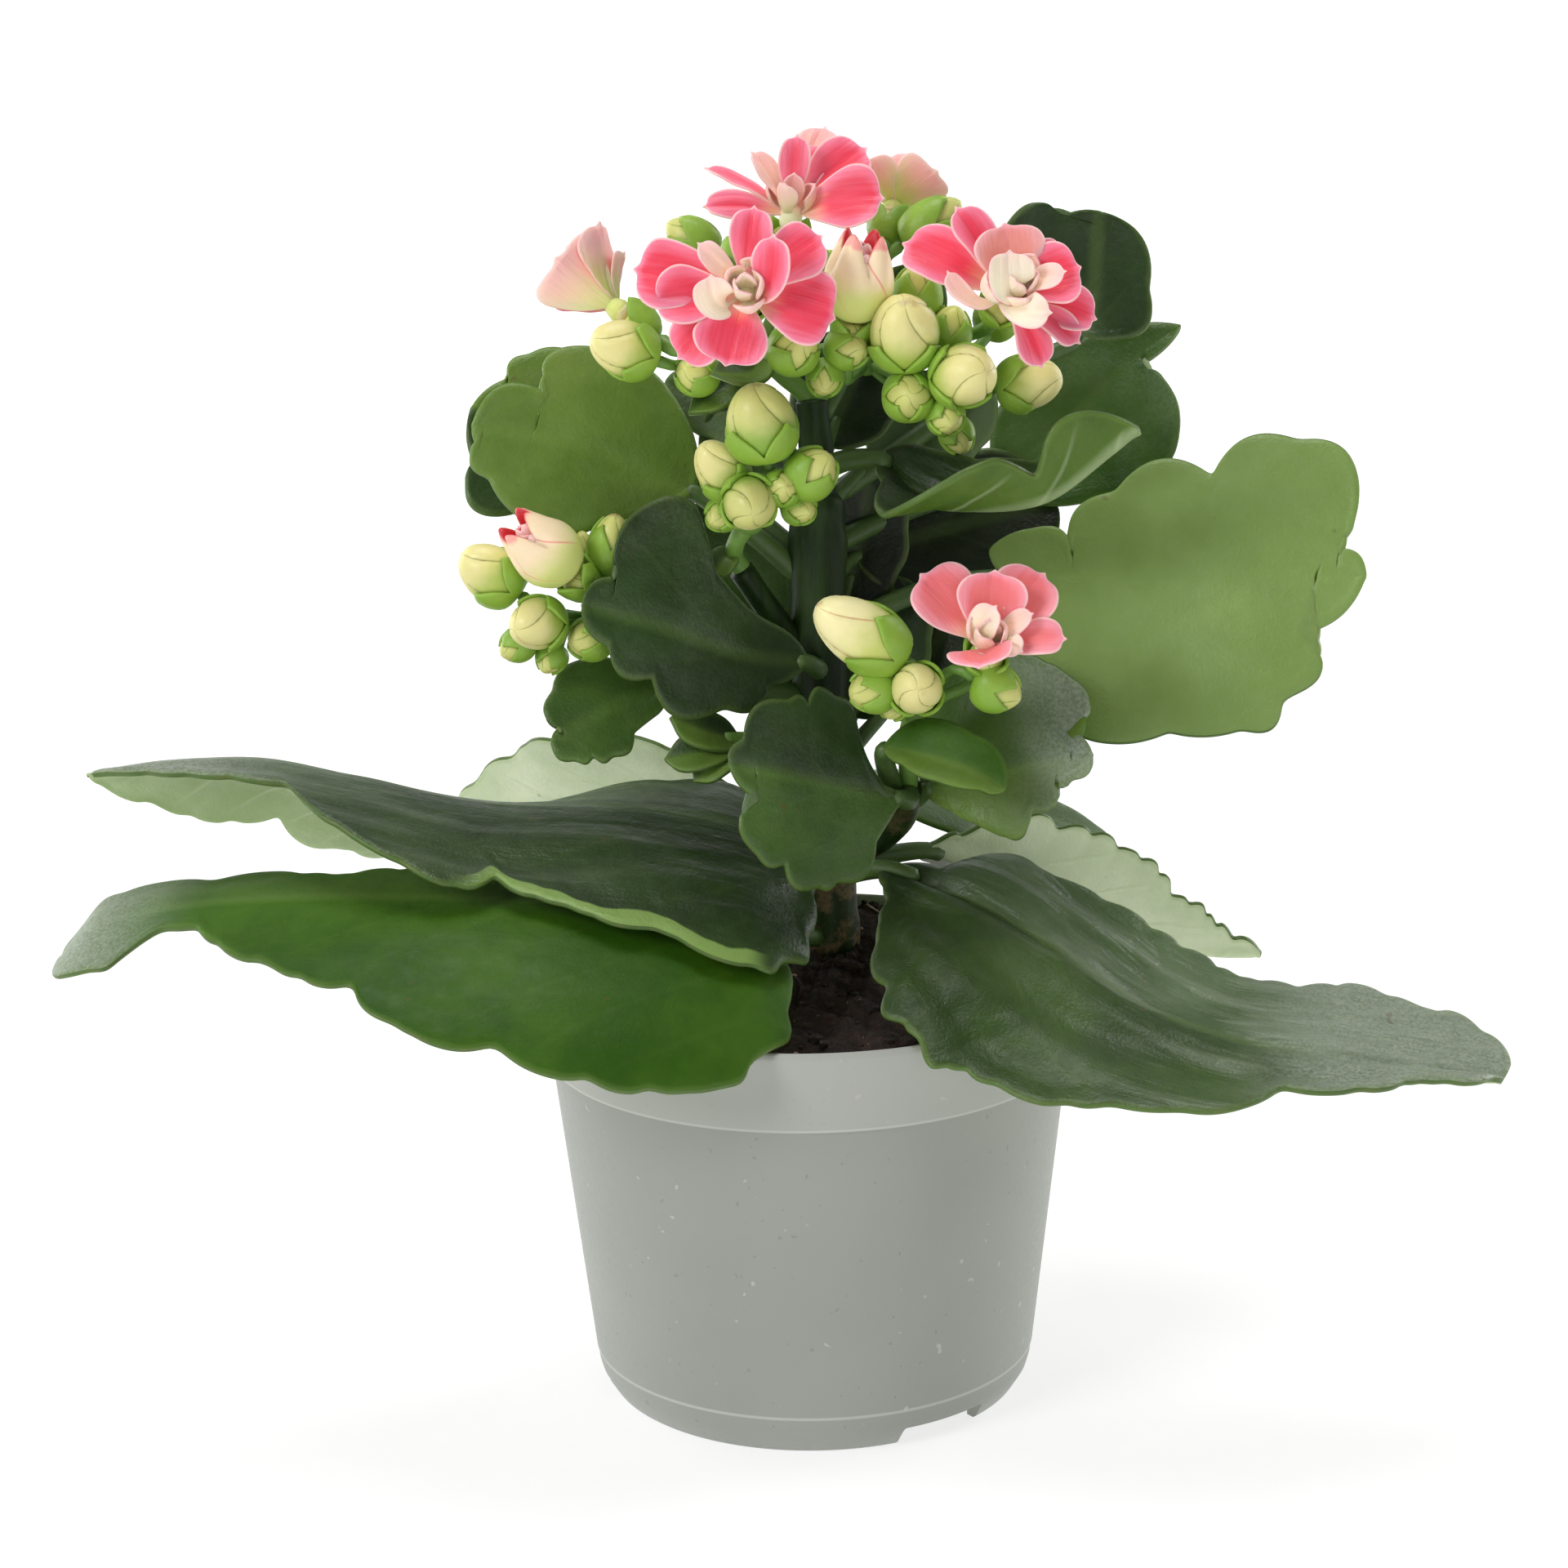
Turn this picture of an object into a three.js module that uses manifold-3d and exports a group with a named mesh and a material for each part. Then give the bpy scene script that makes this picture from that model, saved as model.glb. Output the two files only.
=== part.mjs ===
// A potted kalanchoe in a small grower pot: pot, soil, stems, leaves, flower sprays and double blooms.
// Millimetres, +Z up. The pot stands on its foot ring and its axis is near the middle of the plant.
import * as THREE from "three";
import { mergeVertices } from "three/addons/utils/BufferGeometryUtils.js";
import Module from "manifold-3d";

const wasm = await Module();
wasm.setup();

// Driving dimensions of the pot and its filling. The lip is the thin bright rim on top of the wall.
const POT_HEIGHT = 55.4;
const RIM_RADIUS = 35;
const STEP_HEIGHT = 45;
const STEP_DEPTH = 0.35;
const LIP_HEIGHT = 0.9;
const LIP_WIDTH = 0.8;
const LIP_EASE = 0.1;
const HEEL_HEIGHT = 5.1;
const HEEL_RADIUS = 28.7;
const FOOT_RADIUS = 26.8;
const WALL = 1.0;
const FLOOR_UNDERSIDE = 2.8;
const FLOOR_THICKNESS = 1.2;
const FOOT_RING_WIDTH = 1.6;
const FOOT_NOTCH_COUNT = 3;
const FOOT_NOTCH_TURN = 36;
const FOOT_NOTCH_WIDTH = 12.6;
const FOOT_NOTCH_HEIGHT = 2.6;
const DRAIN_HOLE_COUNT = 4;
const DRAIN_HOLE_RADIUS = 2.5;
const DRAIN_HOLE_CIRCLE = 16;
const SOIL_EDGE_HEIGHT = 51;
const SOIL_MOUND_HEIGHT = 58.5;
const SOIL_SLOPE = 0.06;
const SOIL_RINGS = [1, 0.86, 0.7, 0.52, 0.34, 0.18, 0];
const CRUMB_HEIGHT = 0.7;
const CRUMB_FADE = 6;

// Driving dimensions of the plant
const STEM_RADIUS = 3.5;
const STEM_TOP_RADIUS = 2.6;
const SHOOT_RADIUS = 1.9;
const UPPER_SHOOT_RADIUS = 1.6;
const AXIL_STALK_RADIUS = 1.4;
const PETIOLE_RADIUS = 1.3;
const PEDUNCLE_RADIUS = 1.1;
const PEDICEL_RADIUS = 0.65;
const CUP_PEDICEL_RADIUS = 0.85;
const HUB_RADIUS = 1.7;
const LEAF_THICKNESS = 1.2;
const LEAF_RIM_THICKNESS = 0.7;
const PETAL_THICKNESS = 0.7;
const PETAL_RISE = 1.6;
const HEART_RADIUS = 1.5;
const CUP_LENGTH = 4;
const BIG_BUD_RADIUS = 3;
const ROOT_DEPTH = 0.6;
const CLEARANCE = 0.3;

// How finely the round shapes are cut
const POT_SEGMENTS = 28;
const HOLE_SEGMENTS = 8;
const STEM_SIDES = 8;
const TUBE_SIDES = 5;
const PEDICEL_SIDES = 3;
const CUP_SIDES = 6;
const OPENING_SIDES = 12;
const SHORTEST_EDGE = 0.01;
const THINNEST_TRIANGLE = 0.003;
const MOST_MENDS = 200;

const DEGREE = Math.PI / 180;
const VIEW_TILT = 10 * DEGREE;
const UP = new THREE.Vector3(0, 0, 1);

const potPlastic = new THREE.MeshStandardMaterial({ color: 0x9fa29b, roughness: 0.55, metalness: 0 });
const peat = new THREE.MeshStandardMaterial({ color: 0x2a1f19, roughness: 1, metalness: 0 });
const stemGreen = new THREE.MeshStandardMaterial({ color: 0x3f5d33, roughness: 0.5, metalness: 0 });
const leafGreen = new THREE.MeshStandardMaterial({ color: 0x3a5f2c, roughness: 0.45, metalness: 0 });
const budGreen = new THREE.MeshStandardMaterial({ color: 0x9fb955, roughness: 0.5, metalness: 0 });
const petalPink = new THREE.MeshStandardMaterial({ color: 0xe8637c, roughness: 0.55, metalness: 0 });

const vec = (point) => new THREE.Vector3(...point);
const mix = (a, b, t) => a + (b - a) * t;

// A closed geometry as a solid that can be joined and cut.
function toSolid(geometry) {
  const bare = geometry.clone();
  bare.deleteAttribute("normal");
  bare.deleteAttribute("uv");
  const merged = mergeVertices(bare, 1e-4);
  const mesh = new wasm.Mesh({
    numProp: 3,
    vertProperties: new Float32Array(merged.attributes.position.array),
    triVerts: new Uint32Array(merged.index.array),
  });
  return new wasm.Manifold(mesh);
}

// The points that share an edge with a point.
function neighbours(triangles, point) {
  const around = triangles.filter((triangle) => triangle.includes(point)).flat();
  return new Set(around.filter((other) => other !== point));
}

// Closes up the first edge that is too short, unless that would pinch the surface. Returns null if none is.
function closeShortEdge(points, triangles) {
  for (const triangle of triangles) {
    for (let i = 0; i < 3; i += 1) {
      const kept = triangle[i];
      const gone = triangle[(i + 1) % 3];
      if (points[kept].distanceTo(points[gone]) < SHORTEST_EDGE) {
        const around = neighbours(triangles, kept);
        const shared = [...neighbours(triangles, gone)].filter((point) => around.has(point));
        if (shared.length === 2) {
          const moved = triangles.map((corners) => corners.map((point) => (point === gone ? kept : point)));
          return moved.filter(([a, b, c]) => a !== b && b !== c && c !== a);
        }
      }
    }
  }
  return null;
}

// Swaps the long edge of the first triangle that is almost a line, or returns null if there is none.
function swapLongEdge(points, triangles) {
  for (const triangle of triangles) {
    const [first, second, third] = triangle.map((point) => points[point]);
    const sides = [first.distanceTo(second), second.distanceTo(third), third.distanceTo(first)];
    const longest = Math.max(...sides);
    const doubleArea = second.clone().sub(first).cross(third.clone().sub(first)).length();
    if (doubleArea < longest * THINNEST_TRIANGLE) {
      const turn = sides.indexOf(longest);
      const [a, b, c] = [0, 1, 2].map((i) => triangle[(i + turn) % 3]);
      const across = triangles.find((other) => other !== triangle && other.includes(a) && other.includes(b));
      const d = across.find((point) => point !== a && point !== b);
      if (!neighbours(triangles, c).has(d)) {
        const others = triangles.filter((other) => other !== triangle && other !== across);
        return [...others, [c, a, d], [c, d, b]];
      }
    }
  }
  return null;
}

// The largest body of a solid, as a geometry: a scrap that a cut leaves is dropped, and so are the
// slivers that a join leaves.
function toGeometry(solid) {
  const bodies = solid.decompose().sort((a, b) => b.volume() - a.volume());
  const mesh = bodies[0].getMesh();
  const points = [];
  for (let i = 0; i < mesh.vertProperties.length; i += mesh.numProp) {
    points.push(new THREE.Vector3(...mesh.vertProperties.subarray(i, i + 3)));
  }
  let triangles = [];
  for (let i = 0; i < mesh.triVerts.length; i += 3) triangles.push([...mesh.triVerts.subarray(i, i + 3)]);
  let cleaner = triangles;
  for (let round = 0; cleaner && round < MOST_MENDS; round += 1) {
    triangles = cleaner;
    cleaner = closeShortEdge(points, triangles) ?? swapLongEdge(points, triangles);
  }
  const geometry = new THREE.BufferGeometry().setFromPoints(points);
  geometry.setIndex(triangles.flat());
  geometry.computeVertexNormals();
  return geometry;
}

const fuse = (solids) => solids.reduce((all, one) => all.add(one));

// A round rod along a curve through the points.
function rod(points, radius, steps = 6, sides = TUBE_SIDES) {
  const section = new THREE.Shape();
  for (let i = 0; i < sides; i += 1) {
    const turn = (i / sides) * 2 * Math.PI;
    const x = radius * Math.cos(turn);
    const y = radius * Math.sin(turn);
    if (i === 0) section.moveTo(x, y);
    else section.lineTo(x, y);
  }
  section.closePath();
  const path = new THREE.CatmullRomCurve3(points.map(vec), false, "centripetal");
  return toSolid(new THREE.ExtrudeGeometry(section, { steps, extrudePath: path, bevelEnabled: false }));
}

// The margin down one side of a blade, as a row of points from the tip to the base. A station is
// [share of the rib from its base, distance out from the rib, bulge of the arc that leads to it].
function marginRow(stations, rows, length) {
  const all = [[1, 0, 0], ...stations, [0, 0, 0.1]];
  const chord = (i) => Math.hypot((all[i + 1][0] - all[i][0]) * length, all[i + 1][1] - all[i][1]);
  const counts = all.slice(1).map(() => 1);
  for (let spare = rows - counts.length; spare > 0; spare -= 1) {
    const span = (i) => chord(i) / counts[i];
    const longest = counts.reduce((best, count, i) => (span(i) > span(best) ? i : best), 0);
    counts[longest] += 1;
  }
  const row = [[1, 0]];
  counts.forEach((count, i) => {
    const [along0, out0] = all[i];
    const [along1, out1, bulge] = all[i + 1];
    for (let step = 1; step <= count; step += 1) {
      const share = step / count;
      const arch = 4 * bulge * share * (1 - share);
      row.push([
        mix(along0, along1, share) + (arch * (out1 - out0)) / length,
        mix(out0, out1, share) + arch * (along0 - along1) * length,
      ]);
    }
  });
  return row;
}

// Stations of a plain oval margin with even shallow teeth.
function toothed(half, teeth = 5, widest = 0.5) {
  const stations = [];
  for (let i = 1; i < teeth; i += 1) {
    const turn = (i / teeth) * Math.PI;
    const reach = turn < Math.PI / 2 ? 1 - widest : widest;
    stations.push([widest + reach * Math.cos(turn), half * Math.sin(turn) ** 0.8, 0.15]);
  }
  return stations;
}

const SIDE = { half: 10, fold: [0, 0], curl: [0, 0] };

// A thin blade along a rib: its sides fold up from the rib and curl over their half width, in degrees.
function blade({
  rib, facing, left, right, rows = 14, columns = 1, thick = LEAF_THICKNESS, rim = LEAF_RIM_THICKNESS,
}) {
  const path = new THREE.CatmullRomCurve3(rib.map(vec), false, "centripetal");
  const length = path.getLength();
  const faceBase = vec(facing[0]);
  const faceTip = vec(facing[1] ?? facing[0]);
  const sides = [{ ...SIDE, ...left, sign: -1 }, { ...SIDE, ...(right ?? left), sign: 1 }];
  const widest = Math.max(...sides.flatMap((side) => side.margin.map(([, out]) => out)));
  const at = (along, out, side) => {
    const t = Math.min(1, Math.max(0, along));
    const tangent = path.getTangentAt(t);
    const normal = faceBase.clone().lerp(faceTip, t).projectOnPlane(tangent).normalize();
    const across = tangent.clone().cross(normal);
    const fold = mix(side.fold[0], side.fold[1], t) * DEGREE;
    const bend = (mix(side.curl[0], side.curl[1], t) * DEGREE) / side.half;
    const straight = Math.abs(bend) < 1e-5;
    const turned = fold + bend * out;
    const level = straight ? out * Math.cos(fold) : (Math.sin(turned) - Math.sin(fold)) / bend;
    const rise = straight ? out * Math.sin(fold) : (Math.cos(fold) - Math.cos(turned)) / bend;
    const point = path.getPointAt(t).addScaledVector(tangent, (along - t) * length);
    return point.addScaledVector(across, side.sign * level).addScaledVector(normal, rise);
  };
  const margins = sides.map((side) => marginRow(side.margin, rows, length));
  const meanAlong = (row) => (margins[0][row][0] + margins[1][row][0]) / 2;
  const ribShares = margins[0].map((_, row) => mix(meanAlong(row), 1 - row / rows, 0.5));
  ribShares.sort((one, other) => other - one);
  const points = [];
  const shares = [];
  const index = new Map();
  const place = (key, along, out, side) => {
    index.set(key, points.length);
    points.push(at(along, out, side));
    shares.push(1 - Math.min(1, out / widest) ** 2);
  };
  place("tip", 1, 0, sides[0]);
  for (let row = 1; row < rows; row += 1) {
    place(`rib ${row}`, ribShares[row], 0, sides[0]);
    sides.forEach((side, k) => {
      const [along, out] = margins[k][row];
      for (let column = 1; column <= columns; column += 1) {
        const share = column / columns;
        place(`${k} ${row} ${column}`, mix(ribShares[row], along, share), out * share, side);
      }
    });
  }
  place("base", 0, 0, sides[0]);
  const find = (k, row, column) => {
    if (row === 0) return index.get("tip");
    if (row === rows) return index.get("base");
    return column === 0 ? index.get(`rib ${row}`) : index.get(`${k} ${row} ${column}`);
  };
  const faces = [];
  const face = (a, b, c) => {
    if (a !== b && b !== c && a !== c) faces.push([a, b, c]);
  };
  for (let row = 0; row < rows; row += 1) {
    for (let column = 0; column < columns; column += 1) {
      const corners = [[row, column], [row, column + 1], [row + 1, column + 1], [row + 1, column]];
      const [near, far] = [0, 1].map((k) => corners.map((corner) => find(k, ...corner)));
      face(near[0], near[1], near[2]);
      face(near[0], near[2], near[3]);
      face(far[0], far[2], far[1]);
      face(far[0], far[3], far[2]);
    }
  }
  const edge = [];
  for (let row = 0; row < rows; row += 1) edge.push(find(0, row, columns));
  for (let row = rows; row > 0; row -= 1) edge.push(find(1, row, columns));
  return thickened(points, faces, edge, shares.map((share) => mix(rim, thick, share) / 2));
}

// A sheet of triangles as a closed plate: both faces are split alike, and the edge is walled round.
function thickened(points, faces, edge, offsets) {
  const sheet = new THREE.BufferGeometry().setFromPoints(points);
  sheet.setIndex(faces.flat());
  sheet.computeVertexNormals();
  const count = points.length;
  const positions = [];
  [1, -1].forEach((sign) => {
    points.forEach((point, i) => {
      const normal = new THREE.Vector3().fromBufferAttribute(sheet.attributes.normal, i);
      positions.push(point.clone().addScaledVector(normal, sign * offsets[i]));
    });
  });
  const closed = faces.flatMap(([a, b, c]) => [a, b, c, a + count, c + count, b + count]);
  edge.forEach((a, i) => {
    const b = edge[(i + 1) % edge.length];
    closed.push(b, a, a + count, b, a + count, b + count);
  });
  const geometry = new THREE.BufferGeometry().setFromPoints(positions);
  geometry.setIndex(closed);
  return geometry;
}

// A leaf is a blade with a round stalk whose end is sunk into the rib.
function leaf({ stalk, ...shape }) {
  const path = new THREE.CatmullRomCurve3(shape.rib.map(vec), false, "centripetal");
  const sunk = [0.01, 0.07].map((t) => path.getPointAt(t).toArray());
  return toSolid(blade(shape)).add(rod([...stalk, ...sunk], PETIOLE_RADIUS, 4));
}

// The radius of the pot's tapered wall, without the step of its rim band.
function outerRadius(z) {
  return mix(HEEL_RADIUS, RIM_RADIUS - STEP_DEPTH, (z - HEEL_HEIGHT) / (POT_HEIGHT - HEEL_HEIGHT));
}

// The pot: a tapered wall with a shallow step below the rim band, a floor with drain holes, a notched foot.
function potSolid() {
  const floorTop = FLOOR_UNDERSIDE + FLOOR_THICKNESS;
  const lipStart = POT_HEIGHT - LIP_HEIGHT;
  const heelMiddle = mix(FOOT_RADIUS, HEEL_RADIUS, 0.7);
  const profile = [
    [0, FLOOR_UNDERSIDE],
    [FOOT_RADIUS - FOOT_RING_WIDTH, FLOOR_UNDERSIDE],
    [FOOT_RADIUS - FOOT_RING_WIDTH, 0],
    [FOOT_RADIUS, 0],
    [heelMiddle, HEEL_HEIGHT * 0.45],
    [HEEL_RADIUS, HEEL_HEIGHT],
    [outerRadius(STEP_HEIGHT), STEP_HEIGHT - STEP_DEPTH],
    [outerRadius(STEP_HEIGHT) + STEP_DEPTH, STEP_HEIGHT],
    [RIM_RADIUS - LIP_EASE, lipStart - LIP_EASE],
    [RIM_RADIUS, lipStart],
    [RIM_RADIUS - LIP_EASE, POT_HEIGHT],
    [RIM_RADIUS - LIP_EASE - LIP_WIDTH, POT_HEIGHT],
    [RIM_RADIUS - WALL - STEP_DEPTH, lipStart - LIP_EASE],
    [outerRadius(STEP_HEIGHT) - WALL, STEP_HEIGHT],
    [HEEL_RADIUS - WALL, HEEL_HEIGHT],
    [heelMiddle - WALL, floorTop],
    [0, floorTop],
  ];
  const points = profile.map(([x, y]) => new THREE.Vector2(x, y));
  let pot = toSolid(upright(new THREE.LatheGeometry(points, POT_SEGMENTS)));
  for (let i = 0; i < FOOT_NOTCH_COUNT; i += 1) {
    const turn = FOOT_NOTCH_TURN * DEGREE + (i / FOOT_NOTCH_COUNT) * 2 * Math.PI - Math.PI / 2;
    const notch = new THREE.BoxGeometry(4 * FOOT_RING_WIDTH, FOOT_NOTCH_WIDTH, 2 * FOOT_NOTCH_HEIGHT);
    notch.translate(FOOT_RADIUS, 0, 0);
    notch.rotateZ(turn);
    pot = pot.subtract(toSolid(notch));
  }
  for (let i = 0; i < DRAIN_HOLE_COUNT; i += 1) {
    const turn = (i / DRAIN_HOLE_COUNT) * 2 * Math.PI;
    const round = new THREE.CylinderGeometry(
      DRAIN_HOLE_RADIUS, DRAIN_HOLE_RADIUS, 4 * FLOOR_THICKNESS, HOLE_SEGMENTS);
    const hole = upright(round);
    hole.translate(DRAIN_HOLE_CIRCLE * Math.cos(turn), DRAIN_HOLE_CIRCLE * Math.sin(turn), floorTop);
    pot = pot.subtract(toSolid(hole));
  }
  return pot;
}

// A geometry made round the y axis, stood up round the z axis.
function upright(geometry) {
  return geometry.rotateX(Math.PI / 2);
}

// The peat fills the pot to just under the rim and rises to a low crumbly mound round the stem.
function soilSolid(stemHole) {
  const floorTop = FLOOR_UNDERSIDE + FLOOR_THICKNESS + CLEARANCE;
  const gap = WALL + CLEARANCE;
  const edge = outerRadius(SOIL_EDGE_HEIGHT);
  const profile = [
    [0, floorTop],
    [FOOT_RADIUS - gap - CLEARANCE, floorTop],
    [HEEL_RADIUS - gap, HEEL_HEIGHT + CLEARANCE],
  ];
  SOIL_RINGS.forEach((ring) => {
    const mound = (1 - ring ** 2.6) * (SOIL_MOUND_HEIGHT - SOIL_EDGE_HEIGHT);
    profile.push([ring * (edge - gap), SOIL_EDGE_HEIGHT + mound]);
  });
  const points = profile.map(([x, y]) => new THREE.Vector2(x, y));
  const geometry = upright(new THREE.LatheGeometry(points, POT_SEGMENTS));
  const position = geometry.attributes.position;
  for (let i = 0; i < position.count; i += 1) {
    const x = position.getX(i);
    const y = position.getY(i);
    const z = position.getZ(i);
    const radius = Math.hypot(x, y);
    if (z > SOIL_EDGE_HEIGHT - 0.01) {
      const crumb = CRUMB_HEIGHT * Math.sin(x * 0.9 + y * 0.4) * Math.cos(y * 0.8 - x * 0.3);
      const fade = Math.min(1, (edge - radius) / CRUMB_FADE, radius / CRUMB_FADE);
      position.setZ(i, z + SOIL_SLOPE * y + crumb * fade);
    }
  }
  return toSolid(geometry).subtract(stemHole);
}

// The main stem stands in the soil; a side shoot leaves it low on the right and thinner branches higher up.
const STEM_RUNS = [
  { points: [[3, 0, 47], [3, 0, 59], [2.2, 0, 80], [2, 1, 100], [2, 2, 118]], radius: STEM_RADIUS },
  { points: [[2, 2, 114], [2, 2.5, 122], [1.5, 3, 129]], radius: STEM_TOP_RADIUS },
  { points: [[3.5, 0, 70], [8, 1, 71.5], [12, -1, 75.5], [13, -4, 81]], radius: SHOOT_RADIUS },
  { points: [[2, 0.5, 94], [-3, -1, 101], [-8, -3, 109]], radius: UPPER_SHOOT_RADIUS },
];

function stemSolid(extra = 0) {
  const run = ({ points, radius }) => rod(points, radius + extra, points.length + 1, STEM_SIDES);
  return fuse(STEM_RUNS.map(run));
}

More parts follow.
